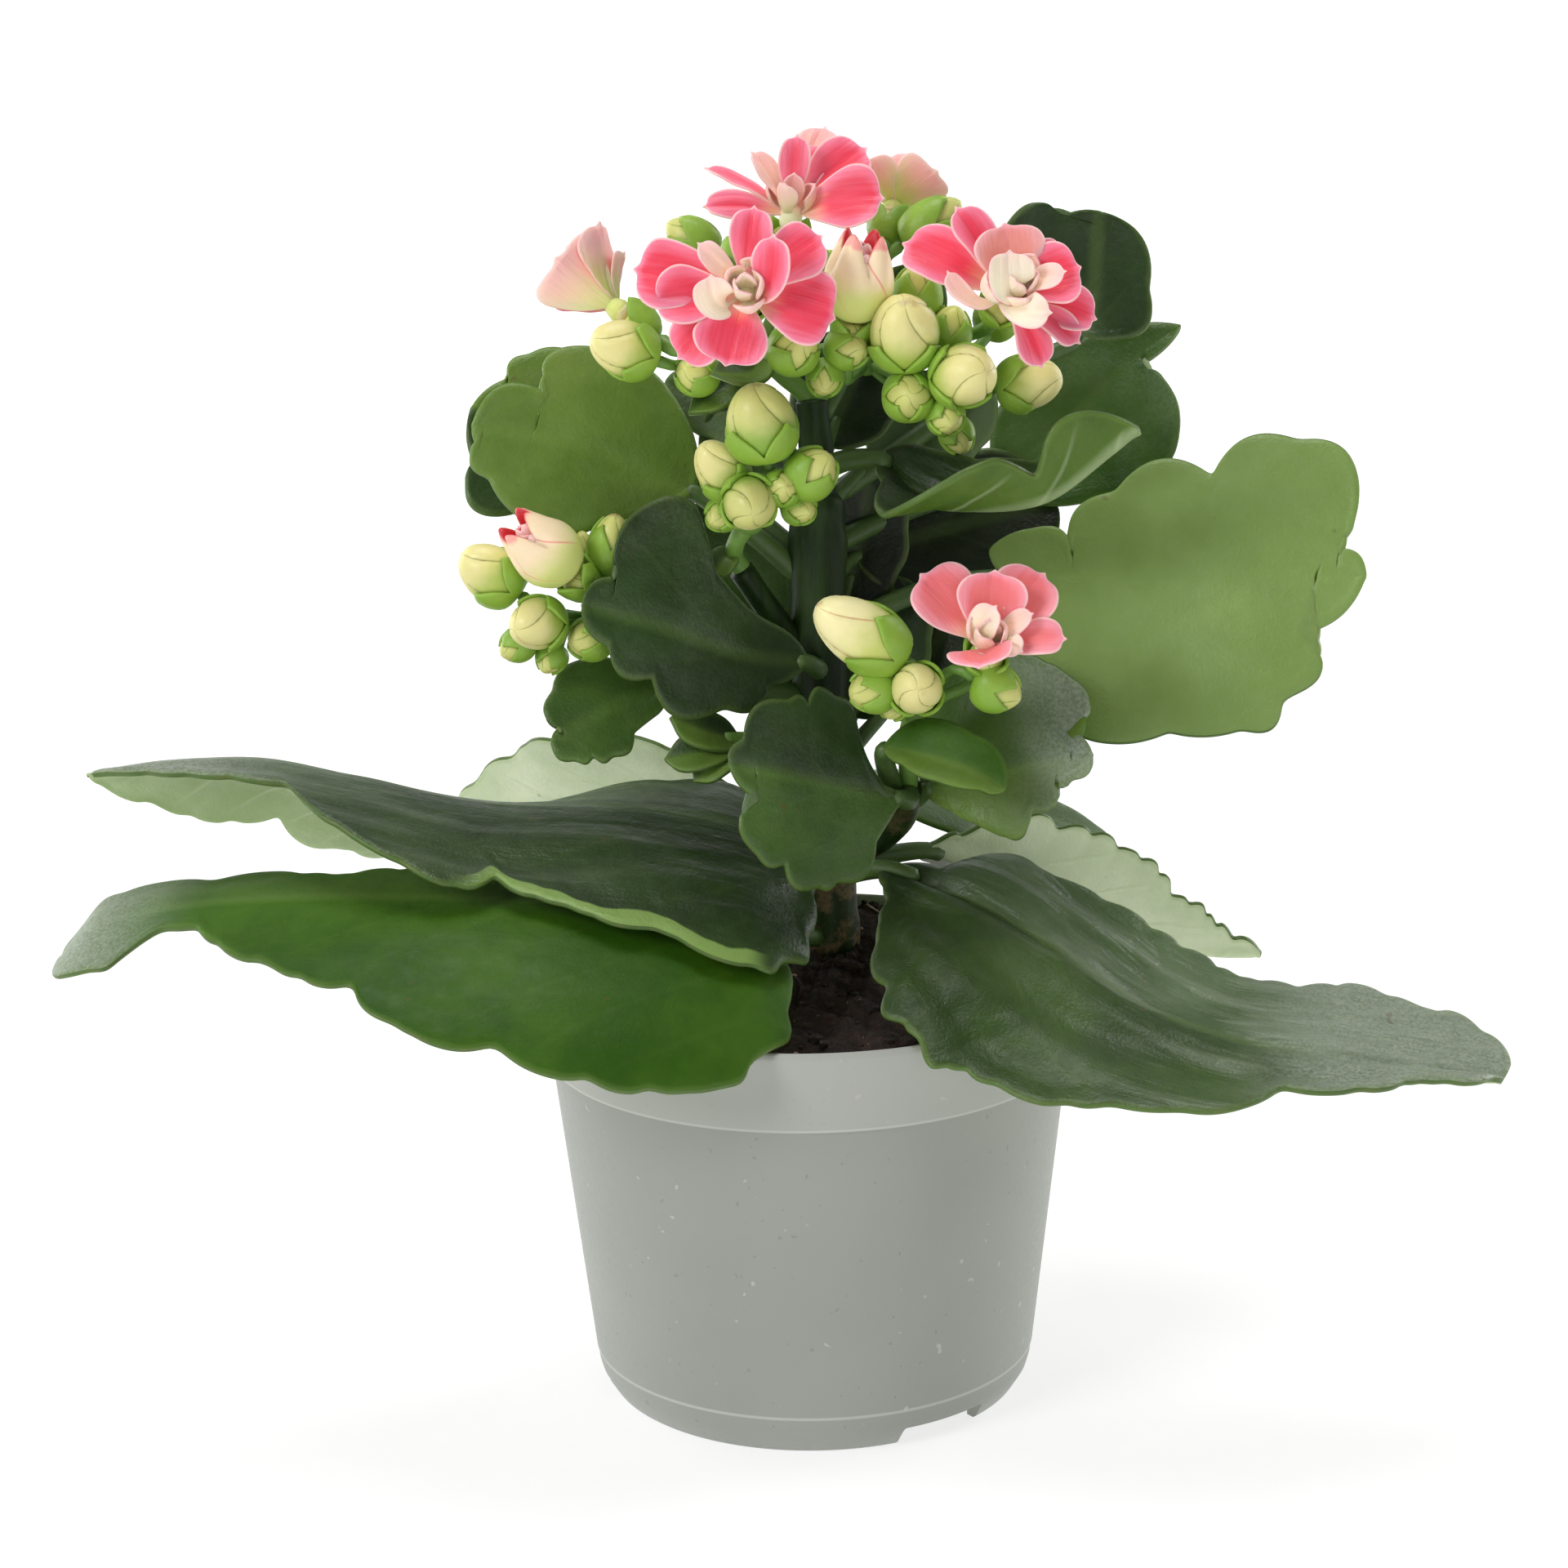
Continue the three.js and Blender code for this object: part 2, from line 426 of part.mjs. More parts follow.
const LEAVES = {
  leaf_low_left_upper: {
    stalk: [[1.8, 0, 70.5], [1, -1, 71]],
    rib: [[-0.3, -2, 71.3], [-9, -4, 75.5], [-23, -6, 78.7], [-40, -7, 79.8], [-56, -8, 84],
      [-68, -8, 86.3],
      [-80, -8, 86.1], [-90, -8, 84.8]],
    facing: [[0, -0.15, 1], [0, 0, 1]],
    left: {
      half: 27, fold: [-8, -4], curl: [-18, -4],
      margin: [[0.71, 7.9, 0.06], [0.65, 14.6, 0], [0.49, 21.9, 0.05], [0.43, 18.5, 0.15],
        [0.34, 22.9, 0.12],
        [0.23, 25.5, 0.15], [0.09, 28.2, 0.1], [0.05, 25, 0.3], [0.01, 19.5, 0.35], [0, 10.4, 0.1]],
    },
    right: {
      half: 20, fold: [16, -70], curl: [0, -40],
      margin: [[0.92, 6.5, 0.1], [0.74, 11.8, 0.1], [0.62, 19, 0.15], [0.5, 22, 0.15],
        [0.33, 15, 0.1], [0.19, 13, 0.1],
        [0.05, 8.4, 0.1]],
    },
    rows: 20, columns: 2,
  },
  leaf_low_left_lower: {
    stalk: [[2.5, 0, 59.8], [1, -2.5, 60.4]],
    rib: [[-0.5, -6, 61.4], [-14, -18, 68], [-29, -22, 70.8], [-49, -22.5, 71.9], [-69, -21, 71.2],
      [-81, -20, 69.9],
      [-88.4, -20, 67.9], [-92.1, -19, 64.3]],
    facing: [[0.1, -0.2, 1], [-0.1, -0.1, 1]],
    left: {
      half: 27, fold: [2, -6], curl: [-58, -10],
      margin: [[0.92, 12.1, 0.2], [0.84, 5.3, -0.05], [0.8, 5, 0.05], [0.69, 14.1, 0.12], [0.59, 17.9, 0.1],
        [0.56, 22.3, 0.1], [0.52, 24.3, 0.1], [0.43, 25.7, 0.1], [0.33, 29, 0.08], [0.24, 28.8, 0.08],
        [0.19, 24.5, 0.3], [0.15, 18.3, 0.25], [0.12, 9, 0.1]],
    },
    right: {
      half: 14, fold: [0, 4], curl: [-8, -8],
      margin: [[0.96, 7, 0.2], [0.81, 8, 0.1], [0.65, 7, 0.1], [0.52, 8.5, 0.1], [0.36, 11, 0.1],
        [0.2, 8, 0.1]],
    },
    rows: 20, columns: 2,
  },
  leaf_low_right: {
    stalk: [[4, 0, 67.5], [6.5, -2, 68.8]],
    rib: [[9.5, -4, 69.8], [21.5, -13, 68.2], [30.4, -18, 63.2], [39, -23, 57.7], [48.7, -27, 54],
      [64.4, -29, 51.9],
      [84.9, -27, 48.5]],
    facing: [[0, -0.2, 1], [0, -0.1, 1]],
    left: {
      half: 25, fold: [2, 12], curl: [-12, 4],
      margin: [[0.99, 9.6, 0.2], [0.91, 13, 0.2], [0.7, 14, 0.17], [0.59, 14.7, 0.12], [0.36, 14.5, 0.05],
        [0.23, 11.7, 0.05], [0.09, 3.9, 0.25]],
    },
    right: {
      half: 26, fold: [-10, 4], curl: [-26, 0],
      margin: [[0.86, 4.6, 0.15], [0.67, 10.4, 0.1], [0.51, 18.9, 0.13], [0.41, 23.6, 0.12],
        [0.36, 23.4, 0.2],
        [0.27, 24.5, 0.3], [0.23, 22.8, 0.2], [0.17, 20.2, 0.35], [0.1, 13.7, 0.15], [0.06, 6, 0.1]],
    },
    rows: 20, columns: 2,
  },
  leaf_back_right: {
    stalk: [[4, 2, 68], [9, 3, 69.2]],
    rib: [[15, 4, 69.9], [28.1, 12, 65], [42.7, 18, 58.2], [52.8, 20, 52.3], [61, 20, 50.1]],
    facing: [[0.1, 0.2, 1]],
    left: { half: 13, fold: [5, 5], curl: [-20, -20], margin: toothed(13) },
    right: {
      half: 14, fold: [58, 55],
      margin: [[0.93, 3.1, 0.15], [0.84, 4.5, 0.15], [0.69, 4.2, 0.15], [0.51, 7.6, 0.15],
        [0.31, 8.1, 0.1], [0.1, 5, 0.2]],
    },
  },
  leaf_back_right_hidden: {
    stalk: [[3, 3, 73], [5, 10, 74]],
    rib: [[9, 18, 73.5], [21, 27, 71], [33, 33, 66], [43, 35, 60]],
    facing: [[0.1, -0.2, 1]],
    left: { half: 13, fold: [0, 0], curl: [-20, -20], margin: toothed(13) },
    rows: 10,
  },
  leaf_back_left: {
    stalk: [[1, 2, 71.5], [-0.5, 4, 72.2]],
    rib: [[-2.9, 6, 72.9], [-13.6, 14, 74.8], [-26.9, 22, 75.8], [-38.4, 30, 73.4], [-47.8, 34, 69.6]],
    facing: [[0, 0.1, 1]],
    left: {
      half: 14, fold: [60, 55],
      margin: [[0.92, 2.8, 0.15], [0.75, 5, 0.15], [0.58, 7, 0.15], [0.35, 9.4, 0.1], [0.12, 5, 0.1]],
    },
    right: { half: 13, fold: [5, 5], curl: [-20, -20], margin: toothed(13) },
    rows: 12,
  },
  leaf_back_low: {
    stalk: [[2, 2, 61.5], [0, 7, 62]],
    rib: [[-2, 12, 62.5], [-6, 30, 61.5], [-12, 50, 55], [-16, 68, 45]],
    facing: [[0, 0.1, 1], [0, 0.3, 1]],
    left: { half: 18, fold: [8, 0], curl: [-20, -30], margin: toothed(18, 7) },
    rows: 10,
  },
  leaf_mid_left_large: {
    stalk: [[0.5, 1.5, 106], [-6, 1, 112]],
    rib: [[-13.3, 2.5, 117.3], [-19.3, 0.5, 120.4], [-28.2, -1.5, 124.3], [-40.5, -2.5, 127]],
    facing: [[0.1, -0.85, 0.5], [0, -0.9, 0.4]],
    left: {
      half: 12, fold: [4, 4], curl: [-10, -10],
      margin: [[0.97, 2.4, 0.1], [0.9, 6.4, 0.35], [0.72, 11, 0.1], [0.34, 8.2, 0.2]],
    },
    right: {
      half: 14, fold: [4, 4], curl: [-10, -10],
      margin: [[0.68, 5.3, 0.33], [0.59, 13.1, 0.4], [0.15, 9.2, 0.13]],
    },
    columns: 2,
  },
  leaf_mid_left_behind: {
    stalk: [[1.5, 4, 107], [-7, 7, 114]],
    rib: [[-18.7, 11, 120.4], [-25, 13, 121.2], [-33.2, 13, 124.5], [-41.9, 12, 126.9]],
    facing: [[0.1, -0.85, 0.5]],
    left: { half: 12, margin: [[0.93, 7.6, 0.1], [0.96, 10.1, 0.2], [0.77, 13.7, 0.3], [0.35, 6.6, 0.1]] },
    right: { half: 12, margin: [[0.83, 5.3, 0.1], [0.76, 9.1, 0.3], [0.51, 10.7, 0.2], [0.14, 8.8, 0.1]] },
    rows: 10,
  },
  leaf_mid_left_dark: {
    stalk: [[1.8, 0, 94.5], [1.6, -3.4, 95.8]],
    rib: [[0.6, -5, 96.8], [-8.5, -10, 99.3], [-17.3, -13, 103.2], [-26.9, -15, 106.6]],
    facing: [[0.2, -0.95, 0.3], [0.1, -0.9, 0.4]],
    left: {
      half: 11, fold: [4, 4], curl: [-8, -8],
      margin: [[0.86, 4.1, 0.2], [0.66, 6.3, 0.33], [0.35, 7.1, 0.33], [0.2, 3.6, 0.3]],
    },
    right: {
      half: 16, fold: [4, 4], curl: [-8, -8],
      margin: [[0.89, 4.7, 0.25], [0.82, 15.2, 0.2], [0.66, 16.5, 0.15], [0.54, 9.3, 0],
        [0.16, 4.3, -0.03]],
    },
    columns: 2,
  },
  leaf_mid_left_small: {
    stalk: [[0.5, -0.5, 91.5], [-9, -1.5, 93.2]],
    rib: [[-17.4, -3, 93.2], [-22.9, -7, 92.4], [-26.9, -9, 90.9], [-31.4, -11, 88.3]],
    facing: [[0, -0.9, 0.5]],
    left: {
      half: 7,
      margin: [[0.93, 3.5, 0.3], [0.81, 4.3, 0.4], [0.68, 5.7, 0.4], [0.43, 4.3, 0.3], [0.14, 2.8, 0]],
    },
    right: { half: 7, margin: [[0.86, 1.2, 0.2], [0.76, 5.7, 0.35], [0.61, 7.7, 0.1], [0.19, 4.5, 0.1]] },
  },
  leaf_mid_centre: {
    stalk: [[12.9, -4.5, 79.6], [12.8, -7, 79.4]],
    rib: [[12, -9, 80.1], [5.4, -14, 82.9], [-2.6, -19, 86.1], [-9.2, -21, 87.9]],
    facing: [[0.1, -0.9, 0.4]],
    left: {
      half: 13, fold: [4, 4], curl: [-8, -8],
      margin: [[0.83, 3.8, 0.15], [0.82, 10.6, 0.38], [0.68, 11, 0.3], [0.48, 13.1, 0.35], [0.38, 12, 0.3],
        [0.18, 6.6, 0.3], [0.05, 1.6, 0]],
    },
    right: {
      half: 12, fold: [4, 4], curl: [-8, -8],
      margin: [[0.95, 3.4, 0.25], [0.74, 9.3, 0.28], [0.64, 9.1, 0.4], [0.48, 11, 0.4],
        [0.36, 9.9, 0.2], [0.14, 1.2, -0.1]],
    },
    rows: 18,
  },
  leaf_mid_right_dark: {
    stalk: [[12.5, -1.5, 77], [14, -1.8, 78.3]],
    rib: [[15.2, -3, 79.6], [20.9, -7, 81.9], [27.8, -10, 84.3], [35.6, -12, 86.1]],
    facing: [[0, -0.9, 0.4]],
    left: {
      half: 13, fold: [3, 3], curl: [-8, -8],
      margin: [[0.85, 3.3, 0.25], [0.9, 11.3, 0.45], [0.48, 15.5, 0.1], [0.05, 8.6, 0.15]],
    },
    right: {
      half: 10, fold: [3, 3], curl: [-8, -8],
      margin: [[0.87, 2.7, 0.3], [0.78, 3.1, 0.4], [0.63, 5.6, 0.45], [0.38, 7.1, 0.42], [0.08, 2.2, 0]],
    },
  },
  leaf_mid_small_folded: {
    stalk: [[11.4, -3.5, 79], [10.2, -7.5, 83.5]],
    rib: [[9.7, -14, 87.8], [14.4, -18, 87.9], [19.3, -20, 86.8], [24.2, -21, 84.1]],
    facing: [[0, -0.6, 0.8]],
    left: { half: 4, fold: [30, 20], margin: [[0.63, 4.5, 0.2], [0.19, 4.2, 0.1]] },
    right: { half: 4.5, fold: [-10, -10], margin: [[0.85, 1.7, 0.2], [0.52, 3.1, 0.1], [0.25, 2, 0.1]] },
    rows: 8,
  },
  leaf_right_large: {
    stalk: [[4, 2.5, 99], [12, 5, 102.5], [19, 6, 104.5]],
    rib: [[25.9, 5.5, 105.3], [43.1, 3, 106.1], [58.2, 0, 106.3], [70.4, -2, 106]],
    facing: [[0.15, -0.9, 0.4], [-0.1, -0.9, 0.4]],
    left: {
      half: 19, fold: [4, 4], curl: [-8, -8],
      margin: [[0.91, 3.4, 0.3], [0.97, 12.3, 0.12], [0.8, 17.4, 0.25], [0.57, 12.4, 0.26],
        [0.31, 10.5, 0.28],
        [0.19, 2.6, 0.3], [0.08, 6.1, 0.3], [-0.05, 3.5, 0.1]],
    },
    right: {
      half: 18, fold: [4, 4], curl: [-8, -8],
      margin: [[0.8, 8, 0.18], [0.79, 16.3, 0.55], [0.68, 20.3, 0.35], [0.47, 20.8, 0.08],
        [0.24, 21.8, 0.08],
        [0.06, 15.4, 0.1]],
    },
    rows: 20, columns: 2,
  },
  leaf_right_upper_back: {
    stalk: [[2, 4.5, 109], [10, 9, 112], [18, 13, 114]],
    rib: [[23.6, 15, 114.8], [32.9, 20, 120.2], [41.6, 23, 128.1], [49.9, 25, 134.3]],
    facing: [[0.2, -0.85, 0.5], [-0.1, -0.8, 0.6]],
    left: { half: 11, margin: [[0.75, 5.6, 0.1], [0.45, 7.6, 0.2], [0.12, 4, 0.2]] },
    right: { half: 13, fold: [10, 10], margin: [[0.78, 0.9, 0.1], [0.61, 13.5, 0.25], [0.32, 10.5, 0.15]] },
  },
  leaf_top_right: {
    stalk: [[3, 4.5, 115.5], [14, 10, 122], [27, 15, 130]],
    rib: [[36.9, 17, 134.1], [37.9, 19, 138.8], [38.4, 21, 144.3], [38.8, 22, 149.4]],
    facing: [[0, -0.95, 0.3]],
    left: { half: 11, margin: [[0.95, 4.8, 0.1], [0.91, 11.4, 0.3], [0.25, 10.3, 0.2]] },
    right: { half: 8, margin: [[0.42, 7.2, 0.25], [0.02, 4, 0.3]] },
    rows: 12,
  },
  leaf_right_narrow: {
    stalk: [[3.5, 1.5, 120.5], [6, -0.5, 121.6]],
    rib: [[9.6, -2, 122.1], [14.9, -9, 119.2], [21.7, -13, 117.9], [30.6, -14, 119], [41, -13, 126.9]],
    facing: [[0, -0.35, 0.95], [-0.3, -0.1, 0.95]],
    left: {
      half: 8, fold: [10, 20], curl: [10, 20],
      margin: [[0.7, 5, 0.1], [0.37, 6.4, 0.1], [0.05, 4.3, 0.05]],
    },
    right: { half: 7, fold: [60, 75], curl: [10, 10], margin: [[0.63, 3.8, 0.4], [0.12, 2.5, 0.35]] },
    rows: 12,
  },
};

// Half profiles of the lathed shapes. The buds' are shares of the radius and the length.
const BUD_SHAPE = [[0, 0], [0.93, 0.24], [0.97, 0.52], [0.5, 0.9], [0, 1]];
const SMALL_BUD_SHAPE = [[0, 0], [0.95, 0.3], [0.8, 0.7], [0, 1]];
const CUP_SHAPE = [[0, 0], [0.9, 0.2], [2, 2.2], [2.3, CUP_LENGTH], [0, CUP_LENGTH - 0.4]];
const OPENING_SHAPE = [
  [0, 0], [0.55, 0.02], [0.95, 0.3], [0.95, 0.55], [0.62, 0.94], [0.42, 0.9], [0.3, 0.7], [0, 0.66],
];
const SEPAL_RIM = [0.4, 0.62];
const SEPAL_WAVE = 0.1;
const PETAL_RIM = 0.85;
const PETAL_WAVE = 0.07;

// Moves a lathed shape from the z axis to a place, with its axis along a direction.
function aimed(geometry, at, toward) {
  geometry.applyQuaternion(new THREE.Quaternion().setFromUnitVectors(UP, vec(toward).normalize()));
  return geometry.translate(...at);
}

// Waves the band of a lathed shape between two heights into four points.
function waved(geometry, low, high, wave) {
  const position = geometry.attributes.position;
  for (let i = 0; i < position.count; i += 1) {
    const z = position.getZ(i);
    if (z > low && z < high) {
      const turn = Math.atan2(position.getY(i), position.getX(i));
      position.setZ(i, z + wave * Math.cos(4 * turn));
    }
  }
  return geometry;
}

// A closed bud: cream petals in a cone over a calyx whose rim is cut into four pointed sepals.
function budSolid({ at, toward, length, radius }) {
  const big = radius > BIG_BUD_RADIUS;
  const shape = big ? BUD_SHAPE : SMALL_BUD_SHAPE;
  const points = shape.map(([r, z]) => new THREE.Vector2(r * radius, z * length));
  const geometry = upright(new THREE.LatheGeometry(points, big ? 8 : 6));
  waved(geometry, SEPAL_RIM[0] * length, SEPAL_RIM[1] * length, SEPAL_WAVE * length);
  return toSolid(aimed(geometry.translate(0, 0, -length / 2), at, toward));
}

// The green cup that holds a bloom: it ends just short of the bloom's heart.
function cupSolid(heart, axis) {
  const points = CUP_SHAPE.map(([r, z]) => new THREE.Vector2(r, z));
  const geometry = upright(new THREE.LatheGeometry(points, CUP_SIDES));
  geometry.translate(0, 0, -CUP_LENGTH - HEART_RADIUS - CLEARANCE);
  return toSolid(aimed(geometry, heart, axis.toArray()));
}

// Petals are placed in the frame of a viewer in front of the plant: right, up and towards the viewer.
const VIEW_UP = new THREE.Vector3(0, Math.sin(VIEW_TILT), Math.cos(VIEW_TILT));
const VIEW_TOWARD = new THREE.Vector3(0, -Math.cos(VIEW_TILT), Math.sin(VIEW_TILT));

function fromView([x, y, z]) {
  return new THREE.Vector3(x, 0, 0).addScaledVector(VIEW_UP, y).addScaledVector(VIEW_TOWARD, z);
}

// One petal: it leaves the heart along via, spreads to its tip, and shows its upper face to the axis.
function petalSolid(heart, axis, { tip, via, half, roll = 0, fold = 8, curl = 12 }) {
  const start = vec(heart);
  const end = start.clone().add(fromView(tip));
  const bend = via
    ? start.clone().add(fromView(via))
    : start.clone().addScaledVector(axis, PETAL_RISE).addScaledVector(fromView(tip), 0.4);
  const curve = new THREE.QuadraticBezierCurve3(start, bend, end);
  const rib = [0.08, 0.4, 0.7, 1].map((t) => curve.getPoint(t).toArray());
  const chord = end.clone().sub(start).normalize();
  const face = axis.clone().applyAxisAngle(chord, roll * DEGREE).toArray();
  const margin = [[0.93, 0.6 * half, 0], [0.66, half, 0], [0.3, 0.55 * half, 0]];
  const side = { half, margin, fold: [fold, fold], curl: [curl, curl] };
  const even = { thick: PETAL_THICKNESS, rim: PETAL_THICKNESS };
  return toSolid(blade({ rib, facing: [face], left: side, rows: 4, ...even }));
}

const BLOOMS = {
  bloom_front_left: {
    heart: [-6.1, -17, 144.4], axis: [0, 0.25, 1],
    petals: [
      { tip: [-13.4, 3.2, 0.5], half: 4.6 },
      { tip: [-11.2, -0.8, 2.2], half: 3.8 },
      { tip: [-8.3, -7.6, 0], half: 3.6 },
      { tip: [-2.6, -8.6, 3], half: 5 },
      { tip: [10.6, -3.2, 1], half: 5 },
      { tip: [9.2, 6.8, 0], half: 3.8 },
      { tip: [1.2, 10.4, 1.5], half: 2.8 },
      { tip: [3.4, 6.8, 5], via: [3.5, -3, 3], half: 2.6, roll: -30 },
      { tip: [-4, 2.2, 5], via: [-4, -4, 2], half: 2.6 },
      { tip: [-5.6, 6, 3.8], half: 1.4 },
    ],
  },
  bloom_back_top: {
    heart: [-0.7, 2, 151.5], axis: [0.1, 0.85, 0.5],
    petals: [
      { tip: [11.6, 1.8, 3], half: 3.8 },
      { tip: [9.6, 8.4, -1], half: 3.2 },
      { tip: [1, 10, 2], half: 2.2 },
      { tip: [4.4, 9, -3], half: 2.6 },
      { tip: [-4.8, 8, 1], half: 2.2 },
      { tip: [-10.6, 6.2, 0], half: 1.6 },
      { tip: [-10.8, 1.2, 3], half: 2 },
      { tip: [4.6, 11.6, -6], half: 2.4 },
    ],
  },
  bloom_front_right: {
    heart: [25.2, -11.5, 143], axis: [0.25, 0.4, 0.9],
    petals: [
      { tip: [-12.6, 6.6, -1], half: 4.4 },
      { tip: [-6.2, 10.8, 0.5], half: 2.7 },
      { tip: [-0.4, 8.6, 2.5], half: 4.8 },
      { tip: [8.8, 3.2, 2], half: 4.2 },
      { tip: [7, 6, -1], half: 2.6 },
      { tip: [10.8, -3, -0.5], half: 3.3 },
      { tip: [8.6, -6, 2], half: 2.2 },
      { tip: [4, -8.8, 1.5], half: 2.6 },
      { tip: [0, 5.2, 5.5], via: [0, -1, 6.5], half: 3 },
      { tip: [5, -2.4, 6.5], via: [-1, -2.5, 6], half: 2.4 },
      { tip: [6.8, 2.6, 5], half: 1.5 },
      { tip: [-7.4, 3, 3.5], via: [-5, -3, 3], half: 1.3 },
    ],
  },
  bloom_low_right: {
    heart: [22.1, -21, 102], axis: [0, 0.45, 0.9],
    petals: [
      { tip: [-8, 9, 0], half: 4.4 },
      { tip: [1, 9.4, 2.4], half: 4.6, curl: 24 },
      { tip: [7.2, 8.8, -1], half: 4.4 },
      { tip: [9.4, 1, 4], half: 2.6 },
      { tip: [-1.4, -2.2, 7.5], half: 4.6, roll: 25 },
      { tip: [1, 5.2, 5], via: [-2.6, 0.5, 3], half: 1.7 },
      { tip: [4, -0.4, 5.6], half: 1.5 },
      { tip: [5.4, 4.2, 4.6], half: 1.1 },
    ],
  },
  bloom_far_left: {
    heart: [-21.6, -7, 141.4], axis: [-0.75, 0.55, -0.35],
    petals: [
      { tip: [-7.2, 7, 2.6], half: 4.6 },
      { tip: [-3.4, 10.8, -1], half: 2.8 },
      { tip: [-10.4, 2.2, -2], half: 2.6 },
      { tip: [-6.6, 8.4, -4.5], half: 2.4 },
      { tip: [0.6, 7.4, -3], half: 2.4 },
      { tip: [-5.5, 3.5, -6], half: 2.8 },
    ],
  },
  bloom_far_back: {
    heart: [12, 10, 151.2], axis: [0.2, 0.7, -0.7],
    petals: [
      { tip: [5.8, 4.8, 1.5], half: 4.4 },
      { tip: [-3.6, 6.4, 0.5], half: 3.4 },
      { tip: [3.4, 7.2, -4], half: 3 },
      { tip: [-2, 4, -8], half: 3.4 },
      { tip: [5, 1, -7.5], half: 3.4 },
    ],
  },
};

// Buds that begin to open: at is the foot of the petals, whose rim parts into four tips round a hollow.
const HALF_OPEN = {
  half_open_centre: { at: [6.7, -9, 140.2], toward: [0.14, -0.12, 1], length: 9.6, radius: 4.4 },
  half_open_left: { at: [-28.4, -11, 110], toward: [-0.66, -0.28, 0.68], length: 9, radius: 4.3 },
};

function halfOpenSolid({ at, toward, length, radius }) {
  const points = OPENING_SHAPE.map(([r, z]) => new THREE.Vector2(r * radius, z * length));
  const geometry = upright(new THREE.LatheGeometry(points, OPENING_SIDES));
  waved(geometry, PETAL_RIM * length, length, PETAL_WAVE * length);
  return toSolid(aimed(geometry, at, toward));
}

